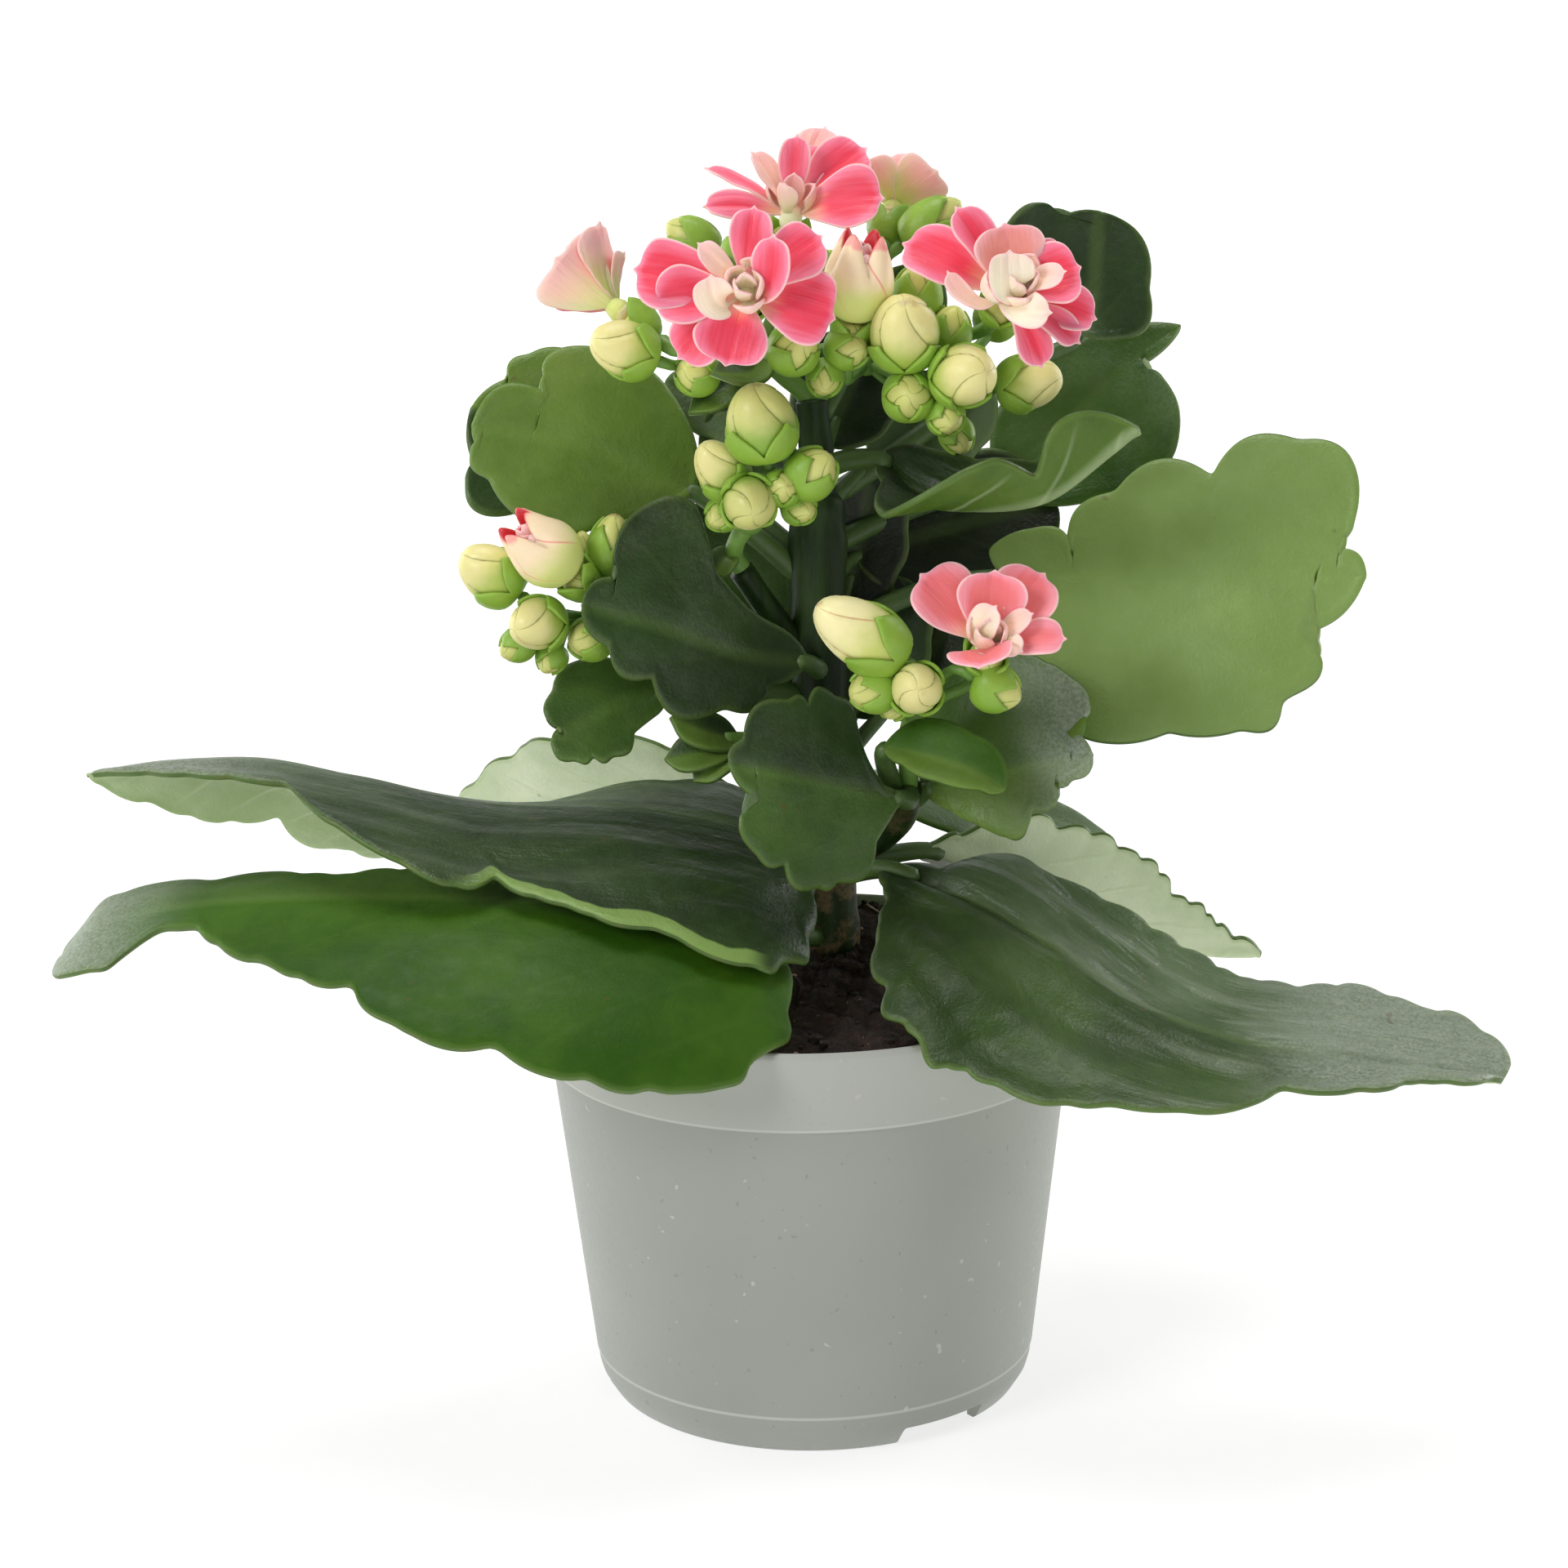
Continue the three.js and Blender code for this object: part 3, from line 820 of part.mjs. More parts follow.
const SPRAYS = {
  spray_top_right: {
    stalk: [[2.5, 3, 129.2], [5, 2, 131.5]],
    hub: [8.3, 1, 133.5],
    cups: ["bloom_front_right", "bloom_far_back"],
    opening: ["half_open_centre"],
    buds: [
      { at: [12.7, -12, 139.2], toward: [0, -0.6, 0.8], length: 9.6, radius: 4.3 },
      { at: [20.1, -14, 133.9], toward: [0.5, -0.8, 0.2], length: 8.4, radius: 3.8 },
      { at: [13.2, -12, 131.2], toward: [0, -0.95, 0.2], length: 6.4, radius: 2.9 },
      { at: [17.8, -12, 128.4], toward: [0.2, -0.9, -0.3], length: 4.6, radius: 2.1 },
      { at: [28.2, -8, 132], toward: [0.95, -0.3, 0.2], length: 8, radius: 3.4 },
      { at: [19.4, -7, 125.2], toward: [0.3, -0.6, -0.6], length: 4.6, radius: 1.9 },
      { at: [16.9, 4, 150.4], toward: [0.8, 0, 0.6], length: 8.6, radius: 2.8 },
      { at: [6.2, -10, 136.8], toward: [0.6, -0.7, 0.1], length: 5.4, radius: 2.4 },
      { at: [3.1, -10, 133], toward: [-0.1, -0.8, -0.4], length: 4.6, radius: 2 },
      { at: [25, 3, 139], toward: [0.5, 0.6, 0.6], length: 6, radius: 2.6 },
    ],
  },
  spray_top_left: {
    stalk: [[0.8, 3, 129.2], [-2, 1.5, 132], [-4.4, 0.2, 134.6]],
    hub: [-4.9, -0.1, 135.2],
    cups: ["bloom_front_left", "bloom_back_top", "bloom_far_left"],
    bracts: [
      { rib: [[-5, -1.5, 134.3], [-6.2, -8, 133.5], [-10.5, -14, 134.6]], half: 2.8 },
      { rib: [[-5.3, -0.9, 133.8], [-9, -6, 131.4], [-13.6, -9, 129]], half: 2.6 },
    ],
    buds: [
      { at: [-21.2, -12, 137.6], toward: [-0.8, -0.4, 0.35], length: 8.4, radius: 3.5 },
      { at: [-13, -1, 149.4], toward: [-0.7, 0, 0.5], length: 7, radius: 2.6 },
      { at: [-12.6, -10, 134.2], toward: [-0.4, -0.7, 0.3], length: 5.4, radius: 2.5 },
      { at: [-0.4, -12.4, 137.3], toward: [0.3, -0.8, 0.4], length: 6.6, radius: 2.9 },
      { at: [-7, 9, 146], toward: [-0.2, 0.7, 0.7], length: 6.6, radius: 2.8 },
      { at: [4, 11, 144], toward: [0.2, 0.8, 0.6], length: 6, radius: 2.5 },
    ],
  },
  spray_centre: {
    stalk: [[-8.7, -3.3, 110], [-8, -5, 112.5]],
    hub: [-6.4, -6, 115],
    cups: [],
    bracts: [{ rib: [[-8.2, -3.4, 110.6], [-9.6, -4.6, 110], [-11.2, -5.6, 108]], half: 2 }],
    buds: [
      { at: [-4.8, -13, 128.6], toward: [-0.15, -0.2, 1], length: 9.6, radius: 4.4 },
      { at: [-9.8, -11, 122.6], toward: [-0.5, -0.3, 0.8], length: 8, radius: 3.1 },
      { at: [-6.2, -15, 118.8], toward: [0.1, -0.9, -0.2], length: 6.8, radius: 3.3 },
      { at: [1.6, -13, 122.4], toward: [0.6, -0.5, 0.6], length: 6.6, radius: 3 },
      { at: [-2.2, -14, 120.6], toward: [0.2, -0.9, 0.2], length: 4.4, radius: 2 },
      { at: [-10, -9.5, 116.4], toward: [-0.5, -0.7, -0.2], length: 3.8, radius: 1.8 },
      { at: [0, -12, 117.6], toward: [0.5, -0.8, -0.2], length: 4, radius: 1.9 },
    ],
  },
  spray_left: {
    stalk: [[-1.8, -0.6, 97.5], [-12, 0.5, 98.6], [-20, -3, 101]],
    hub: [-22.5, -5, 102.4],
    cups: [],
    opening: ["half_open_left"],
    buds: [
      { at: [-38.4, -9, 109.8], toward: [-0.75, -0.1, 0.6], length: 8.6, radius: 3.6 },
      { at: [-32.8, -13, 104], toward: [-0.6, -0.7, 0], length: 7, radius: 3.3 },
      { at: [-35.6, -10, 100.6], toward: [-0.7, -0.3, -0.4], length: 4.2, radius: 1.9 },
      { at: [-26.6, -11, 101.6], toward: [-0.6, -0.6, 0.1], length: 5.6, radius: 2.5 },
      { at: [-23.4, -8, 112.8], toward: [0.15, -0.2, 1], length: 8.4, radius: 2.8 },
      { at: [-26.8, -7.5, 111.6], toward: [-0.1, 0, 1], length: 6, radius: 1.8 },
      { at: [-31.4, -9, 98.6], toward: [-0.4, -0.5, -0.6], length: 3.8, radius: 1.7 },
    ],
  },
  spray_low_right: {
    stalk: [[13, -4.2, 81.4], [12.9, -5, 83.4], [12.8, -6.5, 87.5], [13.4, -9, 90.5]],
    hub: [13.6, -10.5, 92],
    cups: ["bloom_low_right"],
    buds: [
      { at: [6.8, -19, 103.6], toward: [-0.75, -0.2, 0.55], length: 13, radius: 4.1 },
      { at: [8, -19, 96.4], toward: [-0.8, -0.5, 0], length: 5.8, radius: 2.6 },
      { at: [13.6, -21, 97], toward: [0, -1, 0.2], length: 6.6, radius: 3.2 },
      { at: [10.8, -17, 93.8], toward: [-0.4, -0.7, -0.5], length: 3.6, radius: 1.6 },
      { at: [23.6, -19, 96.2], toward: [0.8, -0.3, -0.35], length: 6, radius: 2.8 },
    ],
  },
};

function bloomAxis(name) {
  return fromView(BLOOMS[name].axis).normalize();
}

function bloomSolid(name) {
  const { heart, petals } = BLOOMS[name];
  const axis = bloomAxis(name);
  const core = new THREE.OctahedronGeometry(HEART_RADIUS, 0).rotateX(0.5).translate(...heart);
  return fuse([toSolid(core), ...petals.map((petal) => petalSolid(heart, axis, petal))]);
}

// A small plain leaf, such as a bract at the foot of a spray.
function bractSolid({ rib, half }) {
  const side = { half, margin: toothed(half, 3), fold: [20, 10] };
  return toSolid(blade({ rib, facing: [[0, -0.7, 0.7]], left: side, rows: 4 }));
}

// The young shoot in a leaf axil: a short stalk with small unopened leaves.
const AXIL_SHOOT = {
  stalk: [[1.5, -1, 85.5], [-5, -3.5, 86.3], [-11, -6.5, 87.2]],
  leaves: [
    { rib: [[-8, -5, 86.8], [-13, -8, 89], [-16.8, -8.5, 91]], half: 3 },
    { rib: [[-9, -6, 86.8], [-14, -9, 86.2], [-17.6, -9, 85.6]], half: 3 },
    { rib: [[-8, -6, 86.4], [-11.5, -9, 85], [-13.9, -9.5, 82.8]], half: 2.6 },
  ],
};

// A spray is its stalk, a thin pedicel to each bud and each bloom's cup, and the buds themselves.
function spraySolid({ stalk, hub, cups, buds, opening = [], bracts = [] }) {
  const pieces = [rod([...stalk, hub], PEDUNCLE_RADIUS, 4), ...bracts.map(bractSolid)];
  pieces.push(toSolid(new THREE.OctahedronGeometry(HUB_RADIUS, 0).rotateX(0.5).rotateZ(0.4).translate(...hub)));
  const addPedicel = (end, way, radius) => {
    const back = vec(end).addScaledVector(way, -3);
    const start = vec(hub).addScaledVector(back.clone().sub(vec(hub)).normalize(), 0.7 * HUB_RADIUS);
    const points = [start, back, vec(end).addScaledVector(way, ROOT_DEPTH)];
    pieces.push(rod(points.map((point) => point.toArray()), radius, 2, PEDICEL_SIDES));
  };
  const addCup = (heart, way) => {
    const foot = vec(heart).addScaledVector(way, -CUP_LENGTH - HEART_RADIUS - CLEARANCE);
    addPedicel(foot.toArray(), way, CUP_PEDICEL_RADIUS);
    pieces.push(cupSolid(heart, way));
  };
  buds.forEach((bud) => {
    const way = vec(bud.toward).normalize();
    addPedicel(vec(bud.at).addScaledVector(way, -bud.length / 2).toArray(), way, PEDICEL_RADIUS);
    pieces.push(budSolid(bud));
  });
  cups.forEach((name) => addCup(BLOOMS[name].heart, bloomAxis(name)));
  opening.forEach((name) => {
    const way = vec(HALF_OPEN[name].toward).normalize();
    addCup(vec(HALF_OPEN[name].at).addScaledVector(way, HEART_RADIUS).toArray(), way);
  });
  return fuse(pieces);
}

const group = new THREE.Group();
const plant = new THREE.Group();
group.add(plant);

function addMesh(name, solid, material) {
  const mesh = new THREE.Mesh(toGeometry(solid), material);
  mesh.name = name;
  plant.add(mesh);
}

const stemRoom = stemSolid(CLEARANCE);
addMesh("pot", potSolid(), potPlastic);
addMesh("soil", soilSolid(stemRoom), peat);
addMesh("stem", stemSolid(), stemGreen);
for (const [name, shape] of Object.entries(LEAVES)) {
  addMesh(name, leaf(shape).subtract(stemRoom), leafGreen);
}


const axilShoot = fuse([rod(AXIL_SHOOT.stalk, AXIL_STALK_RADIUS, 4), ...AXIL_SHOOT.leaves.map(bractSolid)]);
addMesh("axil_shoot", axilShoot.subtract(stemRoom), budGreen);
for (const name of Object.keys(BLOOMS)) addMesh(name, bloomSolid(name), petalPink);
for (const [name, shape] of Object.entries(HALF_OPEN)) addMesh(name, halfOpenSolid(shape), petalPink);
for (const [name, shape] of Object.entries(SPRAYS)) {
  addMesh(name, spraySolid(shape).subtract(stemRoom), budGreen);
}

// The part's origin is the middle of its bounding box, on the surface that the pot stands on.
const bounds = new THREE.Box3().setFromObject(group);
plant.position.set(-(bounds.min.x + bounds.max.x) / 2, -(bounds.min.y + bounds.max.y) / 2, -bounds.min.z);

export default group;
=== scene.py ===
# %% [markdown]
# # A potted kalanchoe, from the pot up to the petals
# The real object is a small flowering succulent in the thin plastic pot it was grown in: fleshy leaves
# in crossed pairs up one stem, thin shoots in their axils, and sprays of buds that open as double pink
# blooms. The solids of the part already hold every leaf, spray and bloom in its place, as plain facets.
# A scene could subdivide those facets, but that only rounds them off. Here each one is modelled again
# from the same ribs and margins with many more rows, so that it keeps its place and gains its detail.

# %% Load the frame and keep its box
import math
import bpy
import numpy as np
from mathutils import Matrix, Vector


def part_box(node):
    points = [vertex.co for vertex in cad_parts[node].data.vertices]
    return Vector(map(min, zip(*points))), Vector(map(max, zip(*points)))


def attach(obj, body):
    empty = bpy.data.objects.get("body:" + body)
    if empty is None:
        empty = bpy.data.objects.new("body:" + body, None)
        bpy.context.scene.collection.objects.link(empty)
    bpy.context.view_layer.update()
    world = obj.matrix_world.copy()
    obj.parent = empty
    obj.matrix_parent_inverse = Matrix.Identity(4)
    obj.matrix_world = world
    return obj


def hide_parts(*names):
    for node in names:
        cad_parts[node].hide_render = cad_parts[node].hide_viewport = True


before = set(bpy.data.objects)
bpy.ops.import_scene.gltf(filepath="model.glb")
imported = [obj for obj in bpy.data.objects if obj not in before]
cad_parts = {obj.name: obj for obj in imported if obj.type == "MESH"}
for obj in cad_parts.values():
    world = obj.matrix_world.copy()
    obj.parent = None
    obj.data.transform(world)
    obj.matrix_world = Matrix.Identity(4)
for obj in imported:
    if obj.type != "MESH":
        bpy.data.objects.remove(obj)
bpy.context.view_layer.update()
MM = 0.001
pot_low, pot_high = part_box("pot")
POT_AXIS = np.array([(pot_low[0] + pot_high[0]) / 2, (pot_low[1] + pot_high[1]) / 2, 0.0])
print("pot axis at", POT_AXIS.round(5), "and pot height", round(pot_high[2] * 1000, 1), "mm")

# %% [markdown]
# ## Camera, floor and light
# The picture was taken from a little above the rim with a long lens, on a white table under broad soft
# lamps. The camera could be placed by eye, but the ellipses of the pot's rim and foot fix it, so its
# place and tilts are given as numbers. A large white floor also throws light up under the leaves.

# %% Camera
CAMERA_BACK = 0.453415
CAMERA_HEIGHT = 0.197402
SENSOR_WIDTH = 36
LENS = 84.375
PITCH, YAW, ROLL = math.radians(14.52195), math.radians(-0.34791), math.radians(-1.0273)

ahead = Vector((math.sin(YAW) * math.cos(PITCH), math.cos(YAW) * math.cos(PITCH), -math.sin(PITCH)))
aside = Vector((math.cos(YAW), -math.sin(YAW), 0))
upward = aside.cross(ahead)
turned_x = aside * math.cos(ROLL) + upward * math.sin(ROLL)
turned_y = upward * math.cos(ROLL) - aside * math.sin(ROLL)
camera_data = bpy.data.cameras.new("camera")
camera_data.sensor_width = SENSOR_WIDTH
camera_data.lens = LENS
camera = bpy.data.objects.new("camera", camera_data)
bpy.context.collection.objects.link(camera)
turn = Matrix((turned_x, turned_y, -ahead)).transposed().to_4x4()
camera_place = Vector(POT_AXIS) + Vector((0, -CAMERA_BACK, CAMERA_HEIGHT))
camera.matrix_world = Matrix.Translation(camera_place) @ turn
camera_data.clip_start = 0.01
bpy.context.scene.camera = camera
print("camera looks along", [round(x, 3) for x in ahead])

# %% [markdown]
# Node trees are wired many times below, so one small helper adds a node, sets it and links its inputs.

# %% A helper that adds a node
def node(tree, kind, inputs=None, **settings):
    """Adds a node; an input that is given a socket is linked, and any other value is set on the socket."""
    made = tree.nodes.new(kind)
    for key, value in settings.items():
        setattr(made, key, value)
    for key, value in (inputs or {}).items():
        if isinstance(value, bpy.types.NodeSocket):
            tree.links.new(value, made.inputs[key])
        else:
            made.inputs[key].default_value = value
    return made


def blank(name):
    """A new material: its tree and its Principled shader."""
    made = bpy.data.materials.new(name)
    made.use_nodes = True
    return made, made.node_tree, made.node_tree.nodes["Principled BSDF"]


def finish(tree, shader, colour, roughness, height, strength, distance):
    """Links the colour and roughness, and a bump of the height that is at most distance metres deep."""
    tree.links.new(colour, shader.inputs["Base Color"])
    tree.links.new(roughness, shader.inputs["Roughness"])
    bump = node(tree, "ShaderNodeBump", {"Height": height, "Strength": strength, "Distance": distance})
    tree.links.new(bump.outputs["Normal"], shader.inputs["Normal"])


def let_light_in(shader, weight, radius, scale):
    """Thin plant tissue lets light in and out again, most of all in its own colour."""
    shader.inputs["Subsurface Weight"].default_value = weight
    shader.inputs["Subsurface Radius"].default_value = radius
    shader.inputs["Subsurface Scale"].default_value = scale


# %% Helpers for masks and colours
def calc(tree, operation, *values):
    made = node(tree, "ShaderNodeMath", dict(enumerate(values)), operation=operation)
    return made.outputs[0]


def times(tree, a, b):
    return calc(tree, "MULTIPLY", a, b)


def plus(tree, a, b):
    return calc(tree, "ADD", a, b)


def step(tree, value, low, high, at_low=0.0, at_high=1.0):
    """A smooth step from low to high."""
    inputs = {"Value": value, "From Min": low, "From Max": high, "To Min": at_low, "To Max": at_high}
    return node(tree, "ShaderNodeMapRange", inputs, interpolation_type="SMOOTHSTEP").outputs["Result"]


def blend(tree, factor, a, b, blend_type="MIX"):
    """Two colours mixed by a factor."""
    made = node(tree, "ShaderNodeMix", data_type="RGBA", blend_type=blend_type)
    for key, value in (("Factor", factor), ("A", a), ("B", b)):
        socket = next(s for s in made.inputs if s.name == key and s.enabled)
        if isinstance(value, bpy.types.NodeSocket):
            tree.links.new(value, socket)
        else:
            socket.default_value = value if key == "Factor" else (*value, 1)
    return next(s for s in made.outputs if s.enabled)


def noise(tree, scale, detail=3.0, roughness=0.5, vector=None):
    """Noise in object space, whose unit is a metre."""
    vector = vector or node(tree, "ShaderNodeTexCoord").outputs["Object"]
    inputs = {"Vector": vector, "Scale": scale, "Detail": detail, "Roughness": roughness}
    return node(tree, "ShaderNodeTexNoise", inputs).outputs[0]


# %% Floor
FLOOR_SIZE = 12
bpy.ops.object.select_all(action="DESELECT")
bpy.ops.mesh.primitive_plane_add(size=FLOOR_SIZE, location=(0, 0, 0))
floor = bpy.context.object
floor.name = "floor"
paper, tree, shader = blank("white_table")
tree.links.new(blend(tree, noise(tree, 300, 2), (0.34,) * 3, (0.38,) * 3), shader.inputs["Base Color"])
where = node(tree, "ShaderNodeTexCoord").outputs["Object"]
away = node(tree, "ShaderNodeVectorMath", {0: where}, operation="LENGTH").outputs["Value"]
glow = step(tree, away, 0.15, 1.2, 0.72, 1.0)
tree.links.new(glow, shader.inputs["Emission Strength"])
shader.inputs["Emission Color"].default_value = (1, 1, 1, 1)
shader.inputs["Roughness"].default_value = 0.7
shader.inputs["Specular IOR Level"].default_value = 0.1
floor.data.materials.append(paper)

# %% Backdrop and lamps
world = bpy.context.scene.world or bpy.data.worlds.new("world")
bpy.context.scene.world = world
world.use_nodes = True
world.node_tree.nodes["Background"].inputs["Color"].default_value = (1, 1, 1, 1)
world.node_tree.nodes["Background"].inputs["Strength"].default_value = 0.2
bpy.context.scene.view_settings.view_transform = "Standard"


def lamp(name, place, aim, size, power, tint=(1, 1, 1)):
    """A square soft lamp at a place, in metres, that faces a point."""
    data = bpy.data.lights.new(name, "AREA")
    data.shape = "SQUARE"
    data.size = size
    data.energy = power
    data.color = tint
    made = bpy.data.objects.new(name, data)
    bpy.context.collection.objects.link(made)
    made.location = place
    made.rotation_euler = (Vector(aim) - Vector(place)).to_track_quat("-Z", "Y").to_euler()


PLANT_MIDDLE = (0, 0, 0.09)
lamp("key_lamp", (-0.9, -0.8, 0.75), PLANT_MIDDLE, 0.5, 8.5)
lamp("top_lamp", (-0.05, 0.05, 1.2), PLANT_MIDDLE, 0.6, 6.5)
lamp("left_wall", (-1.35, 0.95, 0.5), PLANT_MIDDLE, 1.1, 14)
lamp("right_wall", (1.35, 0.95, 0.5), PLANT_MIDDLE, 1.1, 14)
lamp("fill_lamp", (0.4, -1.2, 0.3), PLANT_MIDDLE, 0.6, 1.5)
lamp("window_behind", (-0.3, 1.7, 0.55), PLANT_MIDDLE, 1.6, 4)
print("six soft lamps round a floor", FLOOR_SIZE, "m wide")

# %% [markdown]
# ## One way to make every thin or round shape
# Leaves, petals, buds, stalks and the crumbly top of the peat have no straight edge between them. Each
# could be pulled out of a cube by hand, but all of them are one sheet bent through space, so each starts
# as a flat grid that Blender adds, whose rows and columns are then laid on a curved surface.

# %% Sheets: a grid laid on a surface
def bare():
    """Leaves edit mode and selects nothing, because an operator acts on all that is selected."""
    if bpy.context.mode != "OBJECT":
        bpy.ops.object.mode_set(mode="OBJECT")
    bpy.ops.object.select_all(action="DESELECT")


def mark(piece, name, values):
    """Keeps a vector for each vertex, which materials read as an attribute."""
    kept = piece.data.attributes.new(name, "FLOAT_VECTOR", "POINT")
    kept.data.foreach_set("vector", np.ascontiguousarray(values, dtype=np.float32).ravel())


def paint(piece, *materials):
    """Fills the piece's material slots in order."""
    for material in materials:
        piece.data.materials.append(material)


WELD_DISTANCE = 2e-6


def sheet(name, rows, columns, surface):
    """A grid laid on surface(u, v), which gives places in millimetres and marks for shares 0 to 1."""
    bare()
    bpy.ops.mesh.primitive_grid_add(x_subdivisions=rows, y_subdivisions=columns, size=1, calc_uvs=False)
    piece = bpy.context.object
    piece.name = name
    flat = np.empty(len(piece.data.vertices) * 3)
    piece.data.vertices.foreach_get("co", flat)
    u, v = flat[0::3] + 0.5, flat[1::3] + 0.5
    places, marks = surface(u, v)
    piece.data.vertices.foreach_set("co", (POT_AXIS + places * MM).ravel())
    for key, values in marks.items():
        mark(piece, key, values)
    bpy.ops.object.mode_set(mode="EDIT")
    bpy.ops.mesh.select_all(action="SELECT")
    bpy.ops.mesh.remove_doubles(threshold=WELD_DISTANCE)
    bpy.ops.object.mode_set(mode="OBJECT")
    bpy.ops.object.shade_smooth()
    return piece


# %% Joining, applying and handing over
def joined(name, parts):
    """The parts as one object."""
    bare()
    for part in parts:
        part.select_set(True)
    bpy.context.view_layer.objects.active = parts[0]
    if len(parts) > 1:
        bpy.ops.object.join()
    parts[0].name = name
    return parts[0]


def apply_all(piece):
    """Applies every modifier in order."""
    bare()
    piece.select_set(True)
    bpy.context.view_layer.objects.active = piece
    for modifier in list(piece.modifiers):
        bpy.ops.object.modifier_apply(modifier=modifier.name)


triangle_counts = []


def hand_over(piece, nodes):
    """Hangs a finished piece under the root, hides the solids that it stands for, and counts its triangles.
    """
    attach(piece, "root")
    if nodes:
        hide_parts(*nodes)
    faces = sum(len(polygon.vertices) - 2 for polygon in piece.data.polygons)
    print(piece.name, faces, "triangles")
    triangle_counts.append(faces)

# %% [markdown]
# A rib is a smooth line through a few points: the midrib of a leaf, or the middle of a stalk. A bevelled
# curve object would give a stalk, but not the flat and folded blade beside it, so the line is worked out
# in code, as a centripetal Catmull-Rom curve, and sheets of both kinds are laid along it.

# %% Ribs
def mix(a, b, share):
    return a + (b - a) * share


def unit(vectors):
    return vectors / np.linalg.norm(vectors, axis=-1, keepdims=True)


class Rib:
    """A smooth curve through points in millimetres, measured along its length."""

    FINE_STEPS = 60

    def __init__(self, points):
        points = np.array(points, float)
        first, last = 2 * points[0] - points[1], 2 * points[-1] - points[-2]
        all_points = np.vstack([first, points, last])
        dense = [points[0]]
        for a, b, c, d in zip(all_points, all_points[1:], all_points[2:], all_points[3:]):
            ab, bc, cd = (math.sqrt(np.linalg.norm(q - p)) or 1.0 for p, q in ((a, b), (b, c), (c, d)))
            leave = ((b - a) / ab - (c - a) / (ab + bc) + (c - b) / bc) * bc
            arrive = ((c - b) / bc - (d - b) / (bc + cd) + (d - c) / cd) * bc
            cubic = 2 * b - 2 * c + leave + arrive
            square = -3 * b + 3 * c - 2 * leave - arrive
            for k in range(1, self.FINE_STEPS + 1):
                w = k / self.FINE_STEPS
                dense.append(b + leave * w + square * w**2 + cubic * w**3)
        self.dense = np.array(dense)
        steps = np.linalg.norm(np.diff(self.dense, axis=0), axis=1)
        self.length = steps.sum()
        self.shares = np.concatenate([[0], np.cumsum(steps)]) / self.length
        self.ways = unit(np.gradient(self.dense, axis=0))

    def read(self, table, share):
        return np.stack([np.interp(share, self.shares, table[:, i]) for i in range(3)], axis=-1)

    def at(self, share):
        return self.read(self.dense, share)

    def way(self, share):
        return unit(self.read(self.ways, share))


print("a test rib is", round(Rib([[0, 0, 0], [10, 0, 2], [20, 0, 0]]).length, 2), "mm long")

# %% Tubes: a sheet rolled round a rib
END_ROUNDING = 0.04


def tube(name, points, radii, rows=14, sides=12, marks=None, rough=0.0):
    """A round stalk along points, in millimetres; radii are spread evenly along it and both ends close."""
    path = Rib(points)
    reach = np.abs(path.dense[-1] - path.dense[0])
    reference = np.eye(3)[int(np.argmin(reach))]

    def surface(u, v):
        way = path.way(u)
        across = unit(np.cross(way, reference))
        over = np.cross(way, across)
        turn = -2 * math.pi * v
        end = np.minimum(1, np.minimum(u, 1 - u) / END_ROUNDING)
        radius = np.interp(u, np.linspace(0, 1, len(radii)), radii) * np.sqrt(1 - (1 - end) ** 2)
        radius = radius * (1 + rough * np.sin(7 * u * path.length / 5 + 2 * np.cos(turn)))
        ring = across * np.cos(turn)[:, None] + over * np.sin(turn)[:, None]
        place = np.stack([u * path.length, np.cos(turn), u], axis=-1)
        return path.at(u) + ring * radius[:, None], {"place": place, **(marks(u, v) if marks else {})}

    return sheet(name, rows, sides, surface)


# %% [markdown]
# A blade is a sheet along a rib, with a margin on each side. The margin of these leaves is lobed and
# notched, so it is kept as stations of (share of the rib, millimetres from it, bulge of the arc that
# reaches it), from the tip to the base. Each side folds up from the rib and curls over its half width.
# A flat outline with a bend modifier would be quicker, but it can't fold each side by its own angle.

# %% Margins
ARC_STEPS = 24
EVEN_STEPS = 1200
CORNER_ROUNDING = 0.7


def toothed(half, teeth=5, widest=0.5):
    """Stations of a plain oval margin with even shallow teeth."""
    stations = []
    for i in range(1, teeth):
        turn = i / teeth * math.pi
        reach = 1 - widest if turn < math.pi / 2 else widest
        stations.append([widest + reach * math.cos(turn), half * math.sin(turn) ** 0.8, 0.15])
    return stations


